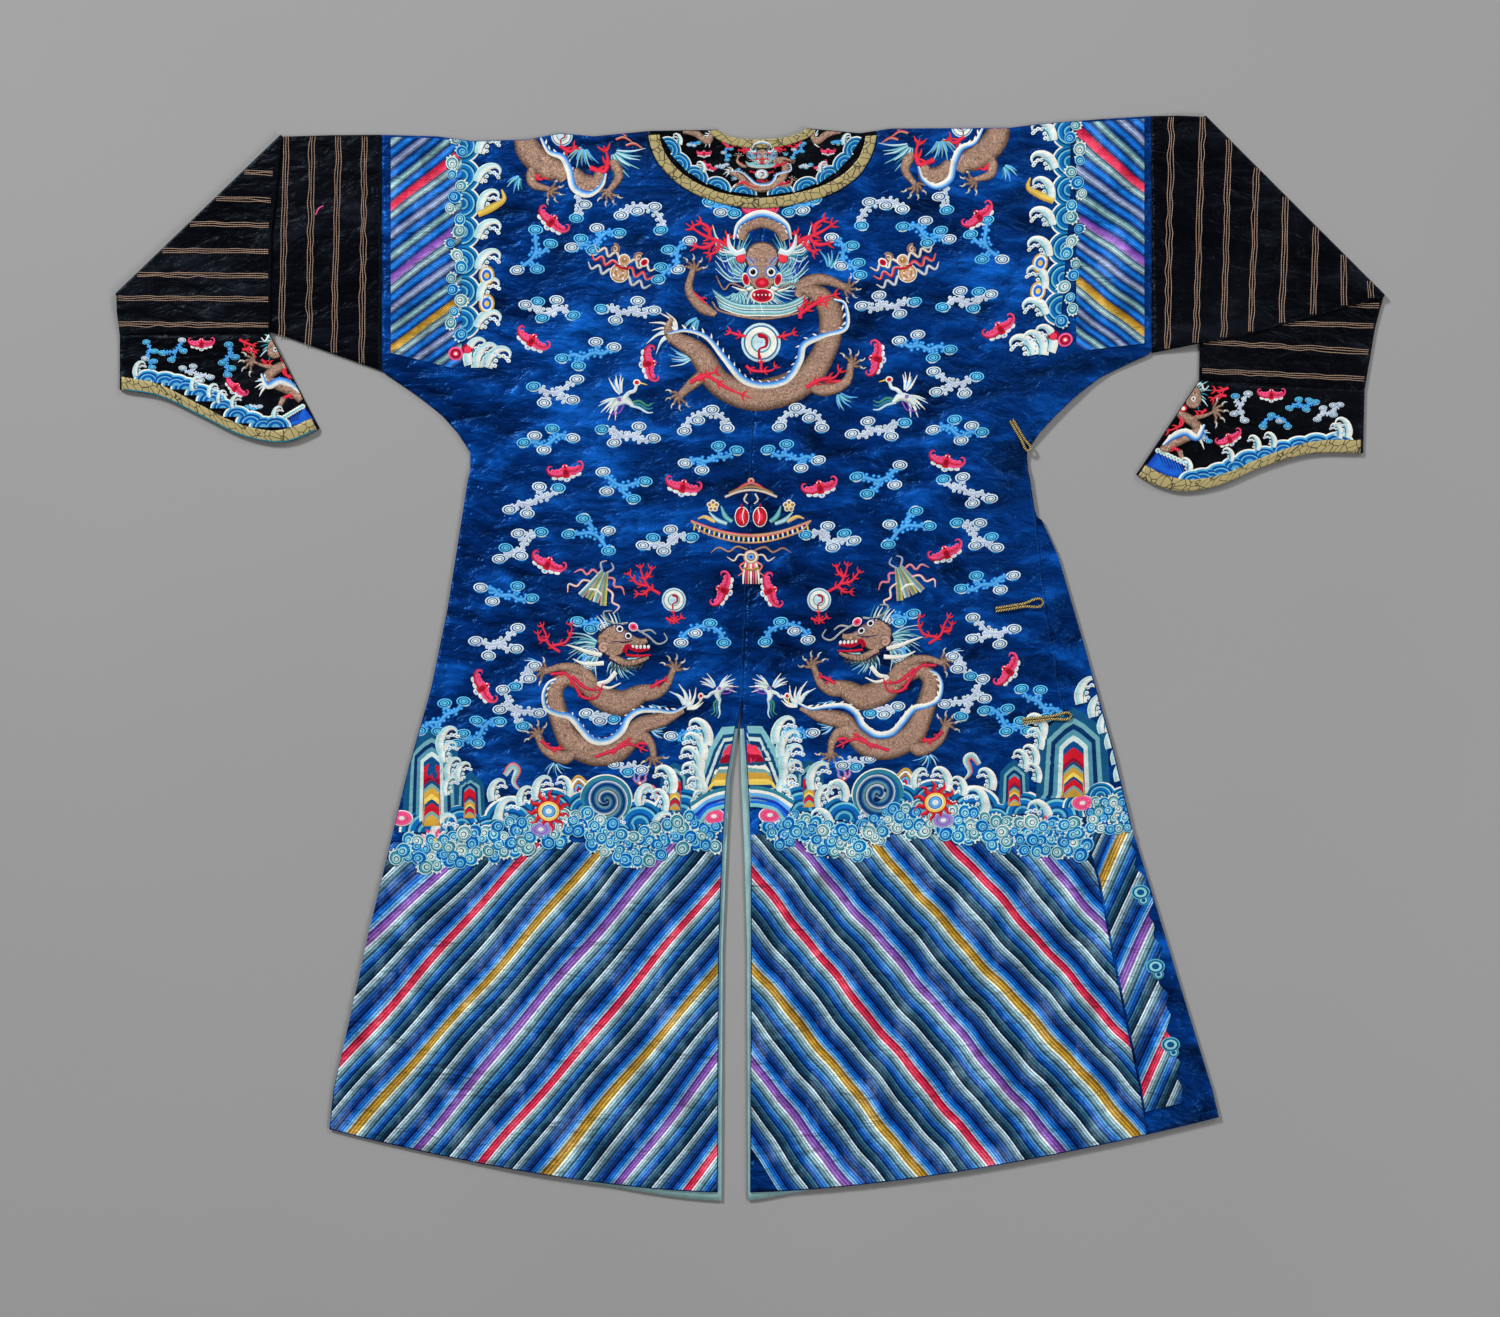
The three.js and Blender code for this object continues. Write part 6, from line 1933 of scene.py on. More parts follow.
def centre_mountain(pen):
    """Half of the peak that stands across the vent, drawn for the left half."""
    bands = (dye(130, 190, 200), dye(10, 74, 120), dye(204, 226, 222), dye(8, 56, 110), dye(110, 164, 176),
             dye(16, 90, 140))
    for k, colour in enumerate(bands):
        inset = 3.3 * k
        corners = [(737, 726 + inset * 1.1), (722 + inset * 0.25, 727 + inset * 1.15),
                   (710 + inset * 0.8, 746 + inset * 0.8), (703 + inset * 0.9, 766 + inset * 0.4),
                   (690 + inset, 802), (737, 802)]
        pen.shape(along_sides(corners), [colour, colour], 0.4 + 0.1 * k, 0.1, (724, 775), False)
    blocks = ((744, 726, ROSE), (752, 723, CRIMSON), (760, 719, dye(16, 80, 120)), (764, 717, WHITE),
              (767, 716, TEAL_GREY), (771, 715, GOLD_DYE), (778, 712, YELLOW),
              (784, 710, dye(10, 60, 110)), (788, 708, ICE), (792, 706, TEAL_GREY))
    for k, (y, left, colour) in enumerate(blocks):
        corners = [(737, y), (left + 2, y + 1), (left - 3, y + 8), (left - 7, 803), (737, 803)]
        pen.shape(along_sides(corners), [colour, colour], 1.05 + 0.09 * k, 0.1,
                  ((left + 735) / 2, (y + 803) / 2), False)
    for k, colour in enumerate((TEAL, WHITE, SKY, ROYAL, BRIGHT, AQUA)):
        pen.ribbon([(690 + 2 * k, 805 + 3.4 * k), (708, 794 + 3.4 * k), (724, 789 + 3.4 * k),
                    (734, 788 + 3.4 * k)], 4, colour, 2.1 - 0.03 * k, 0.2, 3)


# Slanting stripes at the hem and at the sleeve ends
# Colours across each hem strip, edge to edge: the strip's thread colour, painted lighter towards one edge as
# a painted highlight and darker towards the other as painted shade in the valley between strips.
STRIPE_CYCLE = [
    (dye(216, 236, 240), dye(128, 174, 188), dye(18, 60, 100)),
    (dye(76, 152, 210), dye(6, 92, 196), dye(0, 22, 78)),
    (dye(60, 116, 140), dye(16, 62, 96), dye(0, 14, 44)),
    (dye(206, 226, 236), dye(112, 156, 178), dye(20, 54, 98)),
    (dye(36, 96, 172), dye(4, 60, 142), dye(0, 14, 60)),
    (dye(4, 66, 168), dye(8, 124, 224), dye(164, 220, 246)),
]
# Colours across each sleeve-end strip: the strip's thread colour with a painted sheen along its middle and
# painted shade at both edges.
END_CYCLE = [
    (dye(8, 34, 80), dye(96, 140, 160), dye(184, 212, 214), dye(120, 160, 176), dye(6, 30, 84)),
    (dye(2, 30, 90), dye(12, 110, 214), dye(30, 134, 232), dye(6, 80, 178), dye(2, 26, 84)),
    (dye(8, 30, 84), dye(110, 124, 176), dye(172, 186, 220), dye(104, 130, 170), dye(8, 34, 80)),
    (dye(2, 30, 90), dye(10, 100, 200), dye(26, 130, 230), dye(4, 70, 166), dye(2, 26, 84)),
    (dye(8, 34, 80), dye(80, 132, 150), dye(160, 200, 202), dye(90, 134, 150), dye(6, 30, 84)),
    (dye(2, 30, 90), dye(12, 104, 206), dye(30, 134, 232), dye(8, 84, 182), dye(2, 26, 84)),
]
# Accent strips run from dark to light across, painted shade and a painted highlight on their thread colour.
ACCENTS = dict(
    red=(dye(150, 12, 44), dye(240, 44, 88), dye(255, 92, 120)),
    gold=(dye(120, 84, 26), dye(204, 156, 50), dye(226, 190, 92)),
    purple=(dye(66, 36, 120), dye(148, 92, 196), dye(186, 140, 220)),
)
LEFT_STRIPES = table("dye y slope",
    ("gold", 690, -0.86), ("purple", 774.5, -0.914), ("red", 833.8, -1.108), ("gold", 914, -1.13),
    ("purple", 994, -1.196), ("red", 1088.9, -1.183), ("gold", 1172.2, -1.194),
    ("purple", 1277.5, -1.28), ("red", 1373, -1.286), ("gold", 1460, -1.3))
RIGHT_STRIPES = table("dye y slope",
    ("gold", 640, 1.16), ("purple", 729.6, 1.159), ("red", 825.7, 1.112), ("gold", 911, 1.098),
    ("purple", 1002.6, 1.16), ("red", 1095.9, 1.223), ("gold", 1189.5, 1.226), ("purple", 1299, 1.314),
    ("red", 1426, 1.47))
LEFT_END_STRIPES = table("dye y slope",
    ("gold", 130, -0.84), ("red", 202, -0.8), ("purple", 274, -0.746), ("gold", 344, -0.7),
    ("red", 412, -0.7))
RIGHT_END_STRIPES = table("dye y slope",
    ("gold", 100, 0.86), ("red", 183, 0.86), ("purple", 257, 0.66), ("gold", 328, 0.8),
    ("red", 398, 0.8))
FLAP_ROUNDELS = ((1140, 892), (1155, 966), (1170, 1044))
UNDERFLAP_STRIPES = table("dye y slope",
    ("red", 800, -2.0), ("gold", 877, -2.2), ("purple", 1020, -2.15), ("red", 1172, -2.1),
    ("gold", 1300, -2.1))


STRIPS = 7  # strips of silk from one line to the next
FIBRES = 7  # rows of points across one strip
SAMPLES = 900  # places where the cloth's edge is looked for along a fibre


def wobble(x, y):
    """The stripes' slight unevenness, in layout units."""
    return 1.3 * np.sin(x / 37 + y / 19) + 1.0 * np.sin(x / 19 - y / 53) + 0.7 * np.sin(x / 9 + y / 13)


def stripes(work, lines, base_x, reach, inside, level=0.25, dome=1.0, swing=1.0, cycle=STRIPE_CYCLE):
    """Seven slanting strips from each line to the next, each fibre cut at the cloth's edge."""
    xs = np.linspace(reach[0], reach[1], SAMPLES)
    for first, second in zip(lines[:-1], lines[1:]):
        for j in range(STRIPS):
            colours = ACCENTS[first["dye"]] if j == 0 else cycle[j - 1]
            fibres = []
            for v in np.linspace(0, 1, FIBRES):
                t = (j + v) / STRIPS
                slope = first["slope"] * (1 - t) + second["slope"] * t
                line_y = first["y"] * (1 - t) + second["y"] * t
                ys = line_y + slope * (xs - base_x)
                ys = ys + swing * wobble(xs, ys)
                ok = inside(xs, ys)
                if ok.sum() > 6:
                    where = np.nonzero(ok)[0]
                    fibres.append((v, xs[where[0]], xs[where[-1]], slope, line_y))
            if len(fibres) < 2:
                continue
            long = max(f[2] - f[1] for f in fibres)
            count = int(max(6, long / 4))
            flat = np.zeros((len(fibres), count, 2))
            for row, (v, low, high, slope, line_y) in enumerate(fibres):
                x = np.linspace(low, high, count)
                y = line_y + slope * (x - base_x)
                flat[row, :, 0] = x
                flat[row, :, 1] = y + swing * wobble(x, y)
            flat = layout_mm(flat)
            v = np.array([f[0] for f in fibres])
            # Painted highlight and shade across the strip, from the cycle's colours.
            shades = blend(v, colours)[:, None]
            lifts = level + dome * np.sin(np.pi * v)[:, None] ** 0.8 + 0 * flat[..., 0]
            lay = np.arange(len(fibres)) * 6.5 / max(2, len(fibres)) * 1.5
            work.grid(flat, lifts, shades, lay[:, None] + 0 * flat[..., 0])


def hem_inside(side, edge=1.2):
    """Whether layout points lie on one half of the back, between the waves and the hem."""
    seam = LEFT_SIDE if side < 0 else RIGHT_SIDE

    def inside(px, py):
        x, y = robe_xy(px, py)
        drop = SHOULDER_Y - y
        s = drop + hem_rise(x) * smooth((drop - HEM_START) / (BACK_LENGTH - HEM_START))
        column = "back_left" if side < 0 else "back_right"
        vent = look_up(CENTRE, np.minimum(s, BACK_LENGTH), column)
        border = look_up(seam, drop)
        low = y > SHOULDER_Y - BACK_LENGTH + hem_rise(x) + edge
        if side < 0:
            return low & (x < vent - edge) & (x > border + edge) & (py > 842)
        return low & (x > vent + edge) & (x < border - edge) & (py > 834)

    return inside


def underflap_inside(px, py):
    """Whether layout points lie on the underflap's stripes, inside their ragged margin."""
    x, y = robe_xy(px, py)
    drop = SHOULDER_Y - y
    edge = look_up(RIGHT_FOLD, drop)
    ragged = 6 + 0.19 * np.clip(py - 900, 0, 170) + 3 * np.sin(py / 9.0) + 3 * np.sin(py / 3.7)
    low = y > SHOULDER_Y - BACK_LENGTH + hem_rise(x) + 30
    return low & (x > look_up(RIGHT_SIDE, drop) + 2) & (x < edge - ragged) & (py > 828)


def sleeve_end_inside(side):
    """Whether layout points lie on the stripes of one blue sleeve end."""

    def inside(px, py):
        x, y = robe_xy(px, py)
        drop = SHOULDER_Y - y
        top = look_up(SHOULDER, x, "y", "x") - 3
        seam = LEFT_SIDE if side < 0 else RIGHT_SIDE
        border = look_up(seam, drop)
        if side < 0:
            return (px > 391) & (px < 462) & (y < top) & (x > border + 2) & (py < 353 + 0.25 * (px - 391))
        return (px > 1074) & (px < 1144) & (y < top) & (x < border - 2) & (py < 352 - 0.12 * (px - 1074))

    return inside


def sleeve_end_column(pen):
    """Scallops, curls and crests beside the stripes of a blue sleeve end, drawn for the left."""
    for k, y in enumerate((146, 176, 204, 232, 262, 292, 322)):
        hill(pen.at(462, y, 90, 1, 1, 0.3 + 0.03 * k), 18, 1.05)
        crest(pen.at(487, y - 2, 24 + 14 * math.sin(k * 2.3), 1, 1, 0.6), 25)
    for x, y, turn in ((484, 356, 14), (496, 358, 30), (474, 352, 0)):
        crest(pen.at(x, y, turn, 1, 1, 0.7), 27)
    pen.disc(456, 354, 7.5, 7, [(1, PINK), (0.74, CRIMSON), (0.4, ROSE), (0.2, WHITE)], 0, 1.2, 0.5, 16)
    pen.disc(468, 350, 6, 6, [(1, CRIMSON), (0.6, ROSE)], 0, 1.1, 0.4, 14)
    for k in range(18):
        curl_ball(pen.at(456 + 6 * math.sin(k * 1.9), 140 + 11.5 * k, 40 * k, 1, 1, 0.7), 6.4 + (k % 3),
                  k % 4)
    pen.ribbon([(478, 214), (492, 208), (504, 200), (502, 190)], [8, 8, 6, 1.5], [GOLD_DYE, YELLOW, OCHRE],
               0.9, 0.4)
    for y in (276, 304):
        pen.disc(487, y, 8, 10, [(1, GOLD_DYE), (0.8, WHITE), (0.6, BRIGHT), (0.3, YELLOW)], 0, 0.9, 0.4,
                 18)


for name, lines, base_x, reach, inside in (
    ("hem_stripes_left", LEFT_STRIPES, 540, (322, 745), hem_inside(-1)),
    ("hem_stripes_right", RIGHT_STRIPES, 940, (740, 1150), hem_inside(1)),
    ("underflap_stripes", UNDERFLAP_STRIPES, 1098, (1080, 1225), underflap_inside),
):
    hem_work = Work(name, body_top)
    stripes(hem_work, lines, base_x, reach, inside)
    hem_work.finish(STRIPE_FLOSS)
end_work = Work("sleeve_end_stripes", body_top)
stripes(end_work, LEFT_END_STRIPES, 391, (388, 462), sleeve_end_inside(-1), 0.25, 0.9, 0.7, END_CYCLE)
stripes(end_work, RIGHT_END_STRIPES, 1144, (1076, 1147), sleeve_end_inside(1), 0.25, 0.9, 0.7, END_CYCLE)
end_work.finish(END_FLOSS)

for side, name in ((-1, "left"), (1, "right")):
    wave_work = Work("wave_border_" + name, body_top, back_clamp if side < 0 else flap_clamp)
    wave_pen = Pen(wave_work, from_left(side))
    wave_border(wave_pen, side)
    centre_mountain(wave_pen)
    curl_band(wave_pen, 11 + side)
    for x, y in FLAP_ROUNDELS if side > 0 else ():
        roundel = [(1, dye(90, 180, 200)), (0.86, dye(10, 84, 140)), (0.66, dye(150, 216, 220)),
                   (0.4, dye(10, 84, 140))]
        Pen(wave_work).disc(x + 3, y + 8, 5.5, 5, roundel, 0, 1.3, 0.3, 14)
        Pen(wave_work).disc(x, y, 9.5, 7.5, roundel, 0, 1.6, 0.4, 20)
    wave_work.finish(FLOSS)
    cloud_work = Work("clouds_" + name, body_top, back_clamp)
    for number, row in enumerate(CLOUDS):
        pen = Pen(cloud_work, mirrored(side)).at(row["x"], row["y"], row["turn"], 0.97)
        cloud(pen, row["form"], row["warm"], number, row["turn"])
    cloud_work.finish(FLOSS)
    end_column = Work("sleeve_end_foam_" + name, body_top, back_clamp)
    sleeve_end_column(Pen(end_column, from_left(side)).at(0 if side < 0 else -8, 0))
    end_column.finish(FLOSS)

emblem_work = Work("emblems", body_top, back_clamp)
emblem_pen = Pen(emblem_work)
for row in BATS:
    bat(emblem_pen.at(row["x"], row["y"], row["turn"], 0.98))
for motif, x, y, turn, size, flip in (
    (crane, 622, 399, 0, 1.15, 1), (crane, 904, 396, 0, 1.15, -1), (crane, 718, 690, -66, 0.95, -1),
    (crane, 770, 690, 66, 0.95, 1), (gourd, 622, 267, 20, 1.15, 1), (gourd, 905, 267, -20, 1.15, -1),
    (castanets, 598, 587, 24, 1.15, 1), (castanets, 905, 582, -24, 1.15, -1),
):
    motif(emblem_pen.at(x, y, turn, size, flip))
basket_with_peaches(emblem_pen.at(751, 530))
for x in (674, 819):
    pearl(emblem_pen.at(x, 600))
for x, y, flip in ((642, 578, 1), (846, 576, -1)):
    flare = emblem_pen.at(x, y, 0, 1, flip)
    for path in ([(18, 16), (6, 8), (0, -4), (-2, -14)], [(6, 8), (-4, 6), (-10, 0), (-14, -6)],
                 [(2, 2), (8, -4), (10, -12)], [(8, 10), (2, 16), (-8, 16)]):
        flame_branch(flare, path, 3.0)
for x in (674, 819):
    flame_branch(emblem_pen, [(x, 624), (x, 616), (x - 1, 610)], 2.6)
    flame_branch(emblem_pen, [(x - 8, 618), (x - 2, 621), (x + 4, 620), (x + 9, 616)], 2.6)
emblem_work.finish(FLOSS)

gold_work = Work("dragons_gold", body_top, back_clamp)
silk_work = Work("dragons_silk", body_top, back_clamp)
frontal_dragon(Pen(gold_work), Pen(silk_work))
for side in (-1, 1):
    profile_dragon(Pen(gold_work, from_left(side)), Pen(silk_work, from_left(side)))
    shoulder_dragon(Pen(gold_work, from_left(side)), Pen(silk_work, from_left(side)))
gold_work.finish(GOLD)
silk_work.finish(FLOSS)

# Sleeves, cuffs and neck band
RIB_GOLD = dye(132, 94, 74)
RIB_LIGHT = dye(214, 188, 166)
LEFT_RIBS = table("top foot", (286.7, 282), (312.5, 309), (339, 334), (365, 362))
LEFT_FOLD_RIBS = [173, 200, 225, 251.5, 275.5, 299, 325]
RIGHT_RIBS = table("top foot", (1171, 1167), (1202, 1195), (1228, 1223), (1256, 1250), (1285, 1281),
    (1315, 1312), (1343, 1343), (1369, 1370))
RIGHT_FOLD_RIBS = table("x y end_x end_y", (1328, 304, 1379, 306), (1240, 322, 1373, 326),
    (1203, 342, 1368, 352), (1202, 371, 1364, 379))


def rib(pen, start, end, seed, gap=2.5):
    """Three couched threads side by side, a little loose between their stitches."""
    rng = random.Random(seed)
    start, end = np.array(start, float), np.array(end, float)
    run = (end - start) / np.linalg.norm(end - start)
    side = np.array([-run[1], run[0]])
    count = max(4, int(np.linalg.norm(end - start) / 9))
    sway = [rng.uniform(-0.5, 0.5) for _ in range(count)]
    for shift in (-gap, 0, gap):
        loose = 1.3 if rng.random() < 0.25 else 0.6
        path = [start + (end - start) * t + side * (shift + sway[i] + rng.uniform(-1, 1) * loose * 0.6)
                for i, t in enumerate(np.linspace(0, 1, count))]
        pen.ribbon(path, 0.8, [RIB_GOLD, RIB_LIGHT, RIB_GOLD], 0.1, 0.4, 4, 2.6)


def sleeve_ribs():
    """The couched ribs of both black sleeve ends, before and after their folds."""
    work = Work("sleeve_ribs", sleeve_top(LEFT_SLEEVE, False))
    pen = Pen(work, layout_mm, 1.0, 0.15)
    for k, row in enumerate(LEFT_RIBS):
        foot_y = float(np.interp(row["foot"], [270, 340, 381], [333, 355, 370]))
        rib(pen, (row["top"], 137), (row["foot"], foot_y), k)
    pen.ribbon([(316, 215), (319, 209), (324, 206)], [1.4, 1.4, 1], PINK, 0.5, 0.3, 4)
    work.surface = sleeve_top(LEFT_SLEEVE, True)
    for k, y in enumerate(LEFT_FOLD_RIBS):
        left = 281 - (y - 135) * 166 / 159 + 4 if y < 292 else 119
        rib(pen, (left, y - 0.6), (269 + max(0, 234 - y) * 0.07, y + 0.8), 20 + k, 2.0)
    work.surface = sleeve_top(RIGHT_SLEEVE, False)
    for k, row in enumerate(RIGHT_RIBS):
        head_y = 117.5 if row["top"] < 1204 else 116.5 + (row["top"] - 1204)
        foot_y = float(np.interp(row["foot"], [1152, 1250, 1385], [352, 332, 294]))
        rib(pen, (row["top"], head_y), (row["foot"], foot_y), 40 + k)
    work.surface = sleeve_top(RIGHT_SLEEVE, True)
    for k, row in enumerate(RIGHT_FOLD_RIBS):
        rib(pen, (row["x"], row["y"]), (row["end_x"], row["end_y"]), 60 + k, 2.1)
    work.finish(RIB_FLOSS)


def cuff_clamp(cut):
    """Moves points that lie off a cuff to its nearest edge."""
    top, end = cut["cuff"]
    foot = cut["edge"][0]
    near = [dict(y=foot[1], x=foot[0]), dict(y=top[1], x=top[0])]
    far = cut["edge"][-1][0]
    seam_x = sorted((top[0], end[0]))
    seam_y = (end[1], top[1]) if cut["side"] < 0 else (top[1], end[1])

    def clamp(flat):
        line = look_up(near, flat[..., 1], "x", "y")
        x = flat[..., 0]
        if cut["side"] < 0:
            x = np.clip(x, far + 1.2, np.maximum(line - 1.5, far + 2))
        else:
            x = np.clip(x, np.minimum(line + 1.5, far - 2), far - 1.2)
        return np.stack([x, np.minimum(flat[..., 1], np.interp(x, seam_x, seam_y) - 1.0)], -1)

    return clamp


def cuff_dragon(gold, silk):
    """The half of a small frontal dragon that a folded cuff shows; drawn for the left cuff."""
    gold.ribbon([(292, 362), (276, 370), (267, 379), (279, 385), (293, 391), (302, 400)],
                [7, 10, 10, 11, 12, 9], SCALES, 0.15, 0.6, 7)
    fin(silk, [(262, 374), (268, 386), (280, 381), (292, 385), (301, 393)], 3.2, 1, 5)
    gold.disc(277, 348, 9, 12, [(1, BROWN), (0.9, COUCHED), (0.4, COUCHED)], 24, 0.3, 0.6, 20)
    strokes(silk, 9, (277, 346), 5, 20, 100, 236, [TEAL, AQUA, ICE, TEAL_GREY], 16, 1.5)
    silk.ribbon([(276, 338), (270, 336), (266, 342), (262, 338)], [2.6, 2.4, 1.8, 0.8], [WHITE, ICE], 0.7,
                0.2)
    silk.disc(276, 350, 2.8, 2.8, [(1, SKY), (0.8, WHITE), (0.4, BLACK_DYE)], 0, 0.9, 0.2, 10)
    silk.disc(285, 359, 4, 3.4, [(1, RED), (0.5, WHITE)], 0, 0.9, 0.2, 12)
    silk.disc(283, 340, 3, 3, [(1, CRIMSON), (0.6, ROSE)], 0, 0.7, 0.2, 10)
    for path in ([(288, 366), (284, 373), (292, 378), (300, 380)], [(284, 398), (292, 395), (300, 392)],
                 [(262, 360), (267, 364)]):
        flame_branch(silk, path, 3)
    limb(gold, silk, [(276, 368), (264, 366), (254, 362)], 5, -90)
    strokes(silk, 7, (272, 384), 2, 18, 130, 205, [WHITE, ICE, WHITE], 26, 2.2)
    gold.ribbon([(284, 398), (280, 406), (278, 410)], [6, 5, 3], SCALES, 0.2, 0.4, 5)


def cuff_waves(pen, path, radius, count, seed):
    """A row of ringed scallops along a path."""
    rng = random.Random(seed)
    line = curve_through(np.asarray(path, float), 60)
    for k in range(count):
        x, y = line[int(59 * (k + 0.5) / count)]
        wide = radius * rng.uniform(0.9, 1.15)
        bands = [(1, WHITE), (0.88, dye(70, 170, 220)), (0.74, dye(8, 74, 150)), (0.56, dye(110, 190, 226)),
                 (0.48, dye(10, 90, 170)), (0.26, dye(90, 170, 210))]
        pen.disc(x, y, wide, wide * 0.78, bands, 0, 0.1 + 0.05 * k, 0.4, 22, (0, 180))


def striped_corner(pen, points, top_row):
    """A blue corner of a cuff with dark bars and a row of spots."""
    pen.shape(points, [ROYAL, BRIGHT, ROYAL], 0.1, 0.3, None, False)
    a, b = np.array(top_row[0], float), np.array(top_row[1], float)
    for k in range(9):
        at = a + (b - a) * (k + 0.5) / 9
        pen.ribbon([at, at + np.array([-5 if b[0] > a[0] else 5, 13])], [1.8, 1.2], NAVY, 0.45, 0.15, 3)
        pen.disc(at[0], at[1], 2.8, 2.6, [(1, WHITE), (0.5, AQUA)], 0, 0.5, 0.3, 9)


def cuff_clouds(pen, rows):
    for number, (x, y, turn, size, form, warm) in enumerate(rows):
        cloud(pen.at(x, y, turn, size), form, warm, 100 + number, turn)


def turned(points):
    """Places the left cuff's dragon on the right cuff, turned over."""
    p = np.asarray(points, float)
    x = 1197 - (p[..., 0] - 272)
    return layout_mm(np.stack([x - 0.12 * (p[..., 1] - 350), p[..., 1] * 1.08 + 21], -1))


CUFF_ART = dict(
    left=dict(
        cut=LEFT_SLEEVE,
        place=layout_mm,
        clouds=((150, 355, 60, 0.52, "zig", 0), (176, 351, -30, 0.52, "fork", 0),
                (197, 373, 14, 0.54, "bar", 1), (229, 360, 75, 0.6, "zig", 0),
                (254, 407, 10, 0.42, "small", 1)),
        bats=((202, 344, 0, 0.72), (236, 388, 40, 0.72)),
        flames=([(240, 340), (248, 344), (257, 347)], [(243, 350), (250, 350), (258, 354)]),
        waves=([(143, 380), (170, 384), (190, 391), (213, 402), (236, 416), (262, 427), (282, 427)], 14, 11,
               5),
        crests=((139, 369, 15), (195, 384, 14), (212, 391, 14), (221, 397, 13), (235, 402, 13),
                (277, 413, 13)),
        corner=([(278, 428), (286, 420), (305, 408), (315, 420), (300, 425)], [(284, 418), (304, 406)]),
    ),
    right=dict(
        cut=RIGHT_SLEEVE,
        place=turned,
        clouds=((1240, 407, 100, 0.6, "fork", 1), (1275, 421, 0, 0.56, "arch", 0),
                (1302, 405, -30, 0.54, "zig", 0), (1328, 412, -50, 0.54, "zig", 1),
                (1205, 437, 60, 0.42, "small", 0)),
        bats=((1271, 395, 0, 0.76), (1229, 439, -26, 0.76)),
        flames=([(1228, 388), (1220, 391), (1212, 390)], [(1226, 396), (1218, 396), (1210, 401)]),
        waves=([(1344, 445), (1310, 447), (1278, 453), (1248, 463), (1222, 475), (1204, 481), (1188, 482)],
               16, 11, 6),
        crests=((1344, 428, 20), (1337, 431, 15), (1271, 440, 15), (1255, 443, 15), (1229, 455, 14),
                (1187, 465, 14)),
        corner=([(1146, 466), (1158, 450), (1182, 464), (1190, 478), (1172, 478)],
                [(1186, 464), (1156, 450)]),
    ),
)


def cuff_art(name, art):
    """Half a dragon, clouds, bats and waves on one folded cuff."""
    cut = art["cut"]
    work = Work(name + "_cuff_silk", sleeve_top(cut, True), cuff_clamp(cut))
    gold = Work(name + "_cuff_gold", sleeve_top(cut, True), work.clamp)
    pen = Pen(work)
    cuff_dragon(Pen(gold, art["place"]), Pen(work, art["place"]))
    cuff_clouds(pen, art["clouds"])
    for x, y, turn, size in art["bats"]:
        bat(pen.at(x, y, turn, size))
    for path in art["flames"]:
        flame_branch(pen, path, 3)
    cuff_waves(pen, *art["waves"])
    for x, y, height in art["crests"]:
        crest(pen.at(x, y, 0, 1, -cut["side"], 0.3), height)
    striped_corner(pen, *art["corner"])
    if cut["side"] < 0:
        work.clamp = None
        line = cuff_edge(cut, np.linspace(0.02, 0.97, 22))
        edge = [(p[0] / UNIT + LAYOUT_ORIGIN[0], LAYOUT_ORIGIN[1] - p[1] / UNIT - 1.0) for p in line]
        pen.ribbon(edge, 1.5, [dye(6, 70, 96), dye(30, 140, 164), dye(6, 70, 96)], 1.7, 0.5, 5)
    work.finish(FLOSS)
    gold.finish(GOLD)


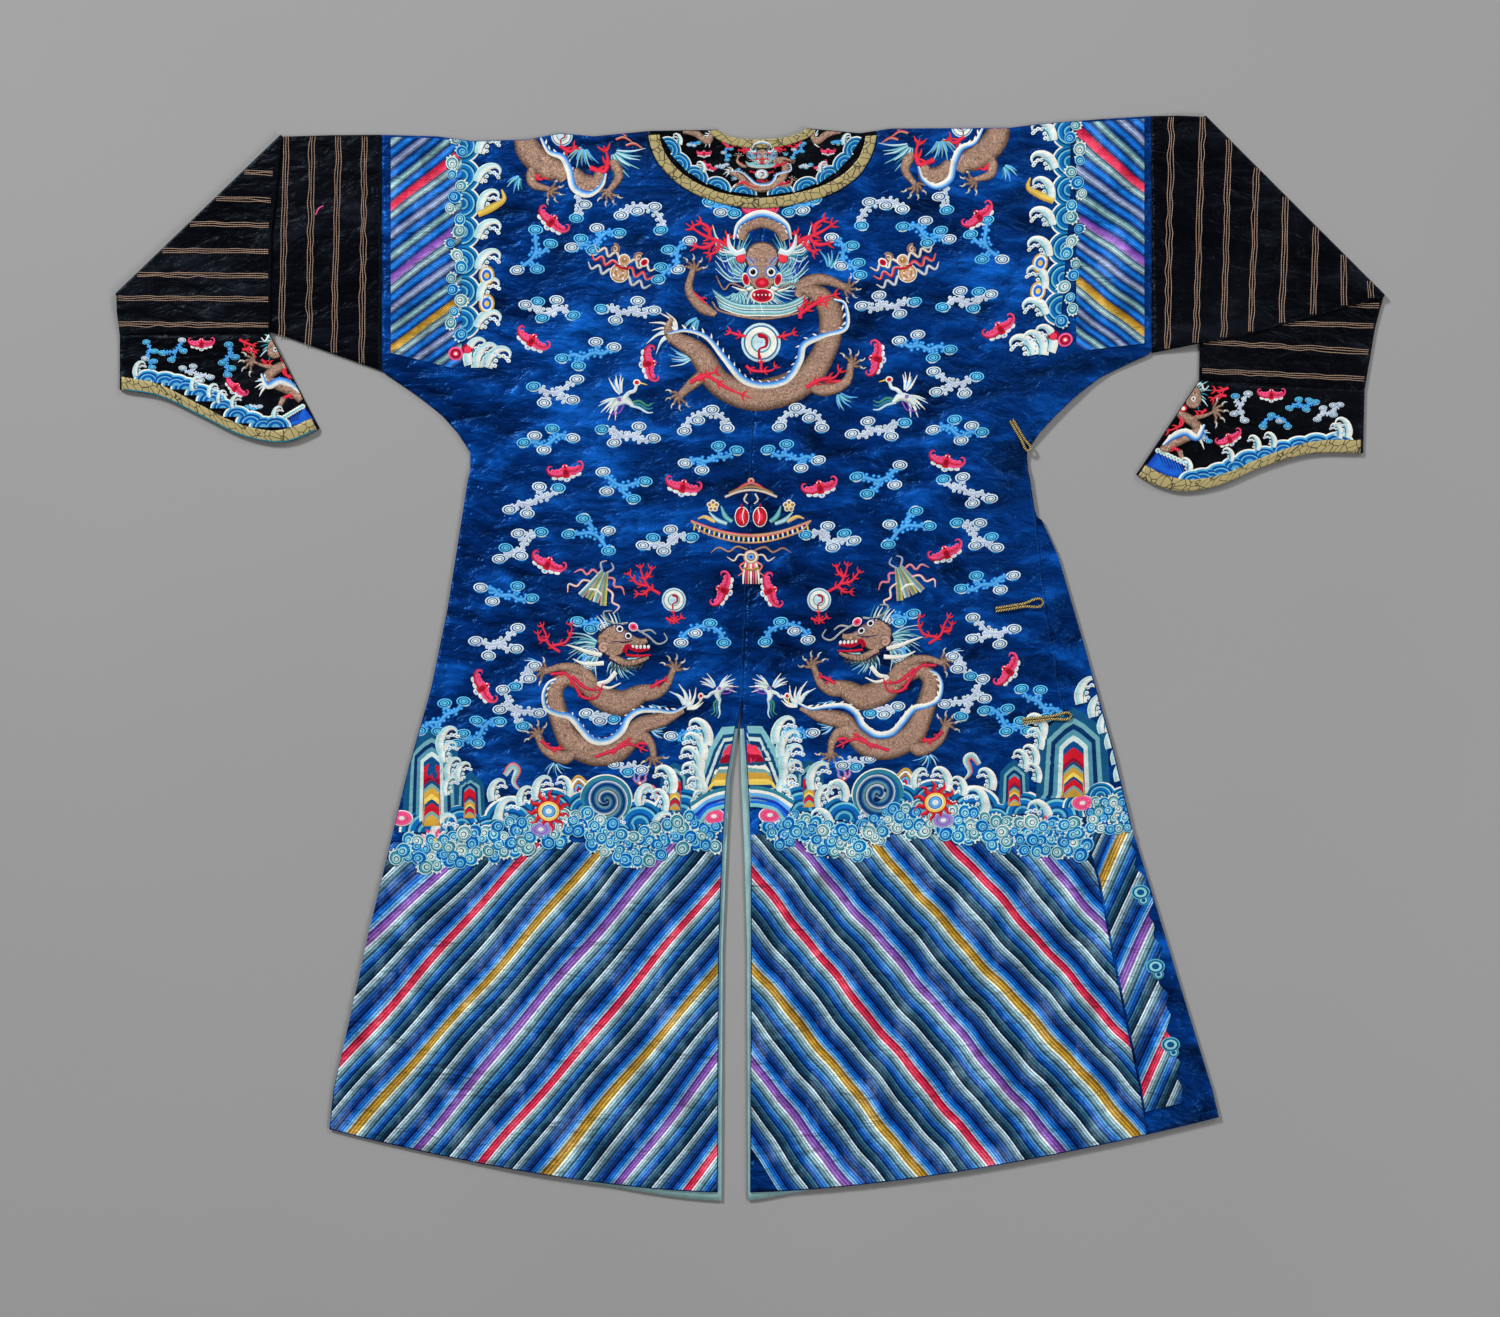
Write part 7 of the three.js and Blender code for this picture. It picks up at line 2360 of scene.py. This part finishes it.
def neck_art():
    """A small frontal dragon, bats, clouds and hills on the back of the neck band."""
    work = Work("neck_silk", body_top_flat, back_clamp)
    gold = Work("neck_gold", body_top_flat, back_clamp)
    pen = Pen(work)

    def shrunk(points):
        p = np.asarray(points, float)
        return layout_mm(np.stack([762 + (p[..., 0] - 762) * 0.34, 167 + (p[..., 1] - 312) * 0.25], -1))

    frontal_dragon(Pen(gold, shrunk, 0.32), Pen(work, shrunk, 0.4))
    for x, y, turn in ((704, 154, 0), (828, 152, 0), (709, 167, 30), (821, 166, -30)):
        bat(pen.at(x, y, turn, 0.42))
    cuff_clouds(pen, ((727, 151, 70, 0.36, "zig", 0), (798, 151, -70, 0.36, "zig", 0),
                      (722, 166, 0, 0.34, "small", 1), (806, 166, 0, 0.34, "small", 1),
                      (694, 144, 0, 0.34, "small", 0), (838, 142, 0, 0.34, "small", 0)))
    for side in (-1, 1):
        Pen(gold).ribbon([(762 + side * 79, 132), (762 + side * 66, 134), (762 + side * 54, 142),
                          (762 + side * 50, 133)], [4, 7, 7, 5], SCALES, 0.2, 0.5, 6)
        strokes(pen, 7, (762 + side * 49, 138), 2, 13, 90 - side * 90 + 60, 90 - side * 90 - 80,
                [WHITE, ICE], 20, 1.4)
        flame_branch(pen, [(762 + side * 40, 142), (762 + side * 32, 148), (762 + side * 26, 144)], 2.2)
        for k, angle in enumerate((162, 148, 133, 117, 101)):
            a = math.radians(angle)
            x = 762 - side * 97 * math.cos(a)
            y = 129 + 66 * math.sin(a)
            hill(pen.at(x, y, -side * (angle - 90) * 0.8, 1, 1, 0.1 + 0.05 * k), 13.5, 0.8)
            if k % 2 == 0:
                crest(pen.at(x + side * math.cos(a) * 9, y - 10, 0, 1, side, 0.3), 11)
    work.finish(FLOSS)
    gold.finish(GOLD)


sleeve_ribs()
for name, art in CUFF_ART.items():
    cuff_art(name, art)
neck_art()


# Floor and light

FLOOR_REACH = 6000  # millimetres each way
FLOOR_DROP = 0.4
corners = [[x * FLOOR_REACH, y * FLOOR_REACH, -FLOOR_DROP] for x, y in ((-1, -1), (1, -1), (1, 1), (-1, 1))]
floor = make_object("floor", corners, [[0, 1, 2, 3]], False)
floor.data.materials.append(pale_ground("pale_floor"))


def area_light(name, place, size, power):
    """A round white lamp that faces the middle of the robe."""
    data = bpy.data.lights.new(name, "AREA")
    data.shape = "DISK"
    data.size = size
    data.energy = power
    lamp = bpy.data.objects.new(name, data)
    bpy.context.scene.collection.objects.link(lamp)
    lamp.location = place
    direction = -np.array(place, float)
    flat = math.hypot(direction[0], direction[1])
    lamp.rotation_euler = (math.atan2(flat, -direction[2]), 0,
                           math.atan2(direction[1], direction[0]) - math.pi / 2)


area_light("key", (-5.4, 5.85, 4.35), 1.4, 742)
area_light("fill", (5.7, -3.6, 4.8), 3.6, 214)
area_light("side", (4.8, 5.4, 4.2), 3.0, 180)
world = bpy.data.worlds.new("studio")
bpy.context.scene.world = world
world.use_nodes = True
background = world.node_tree.nodes["Background"].inputs
background["Color"].default_value = (1, 1, 1, 1)
background["Strength"].default_value = 0.16
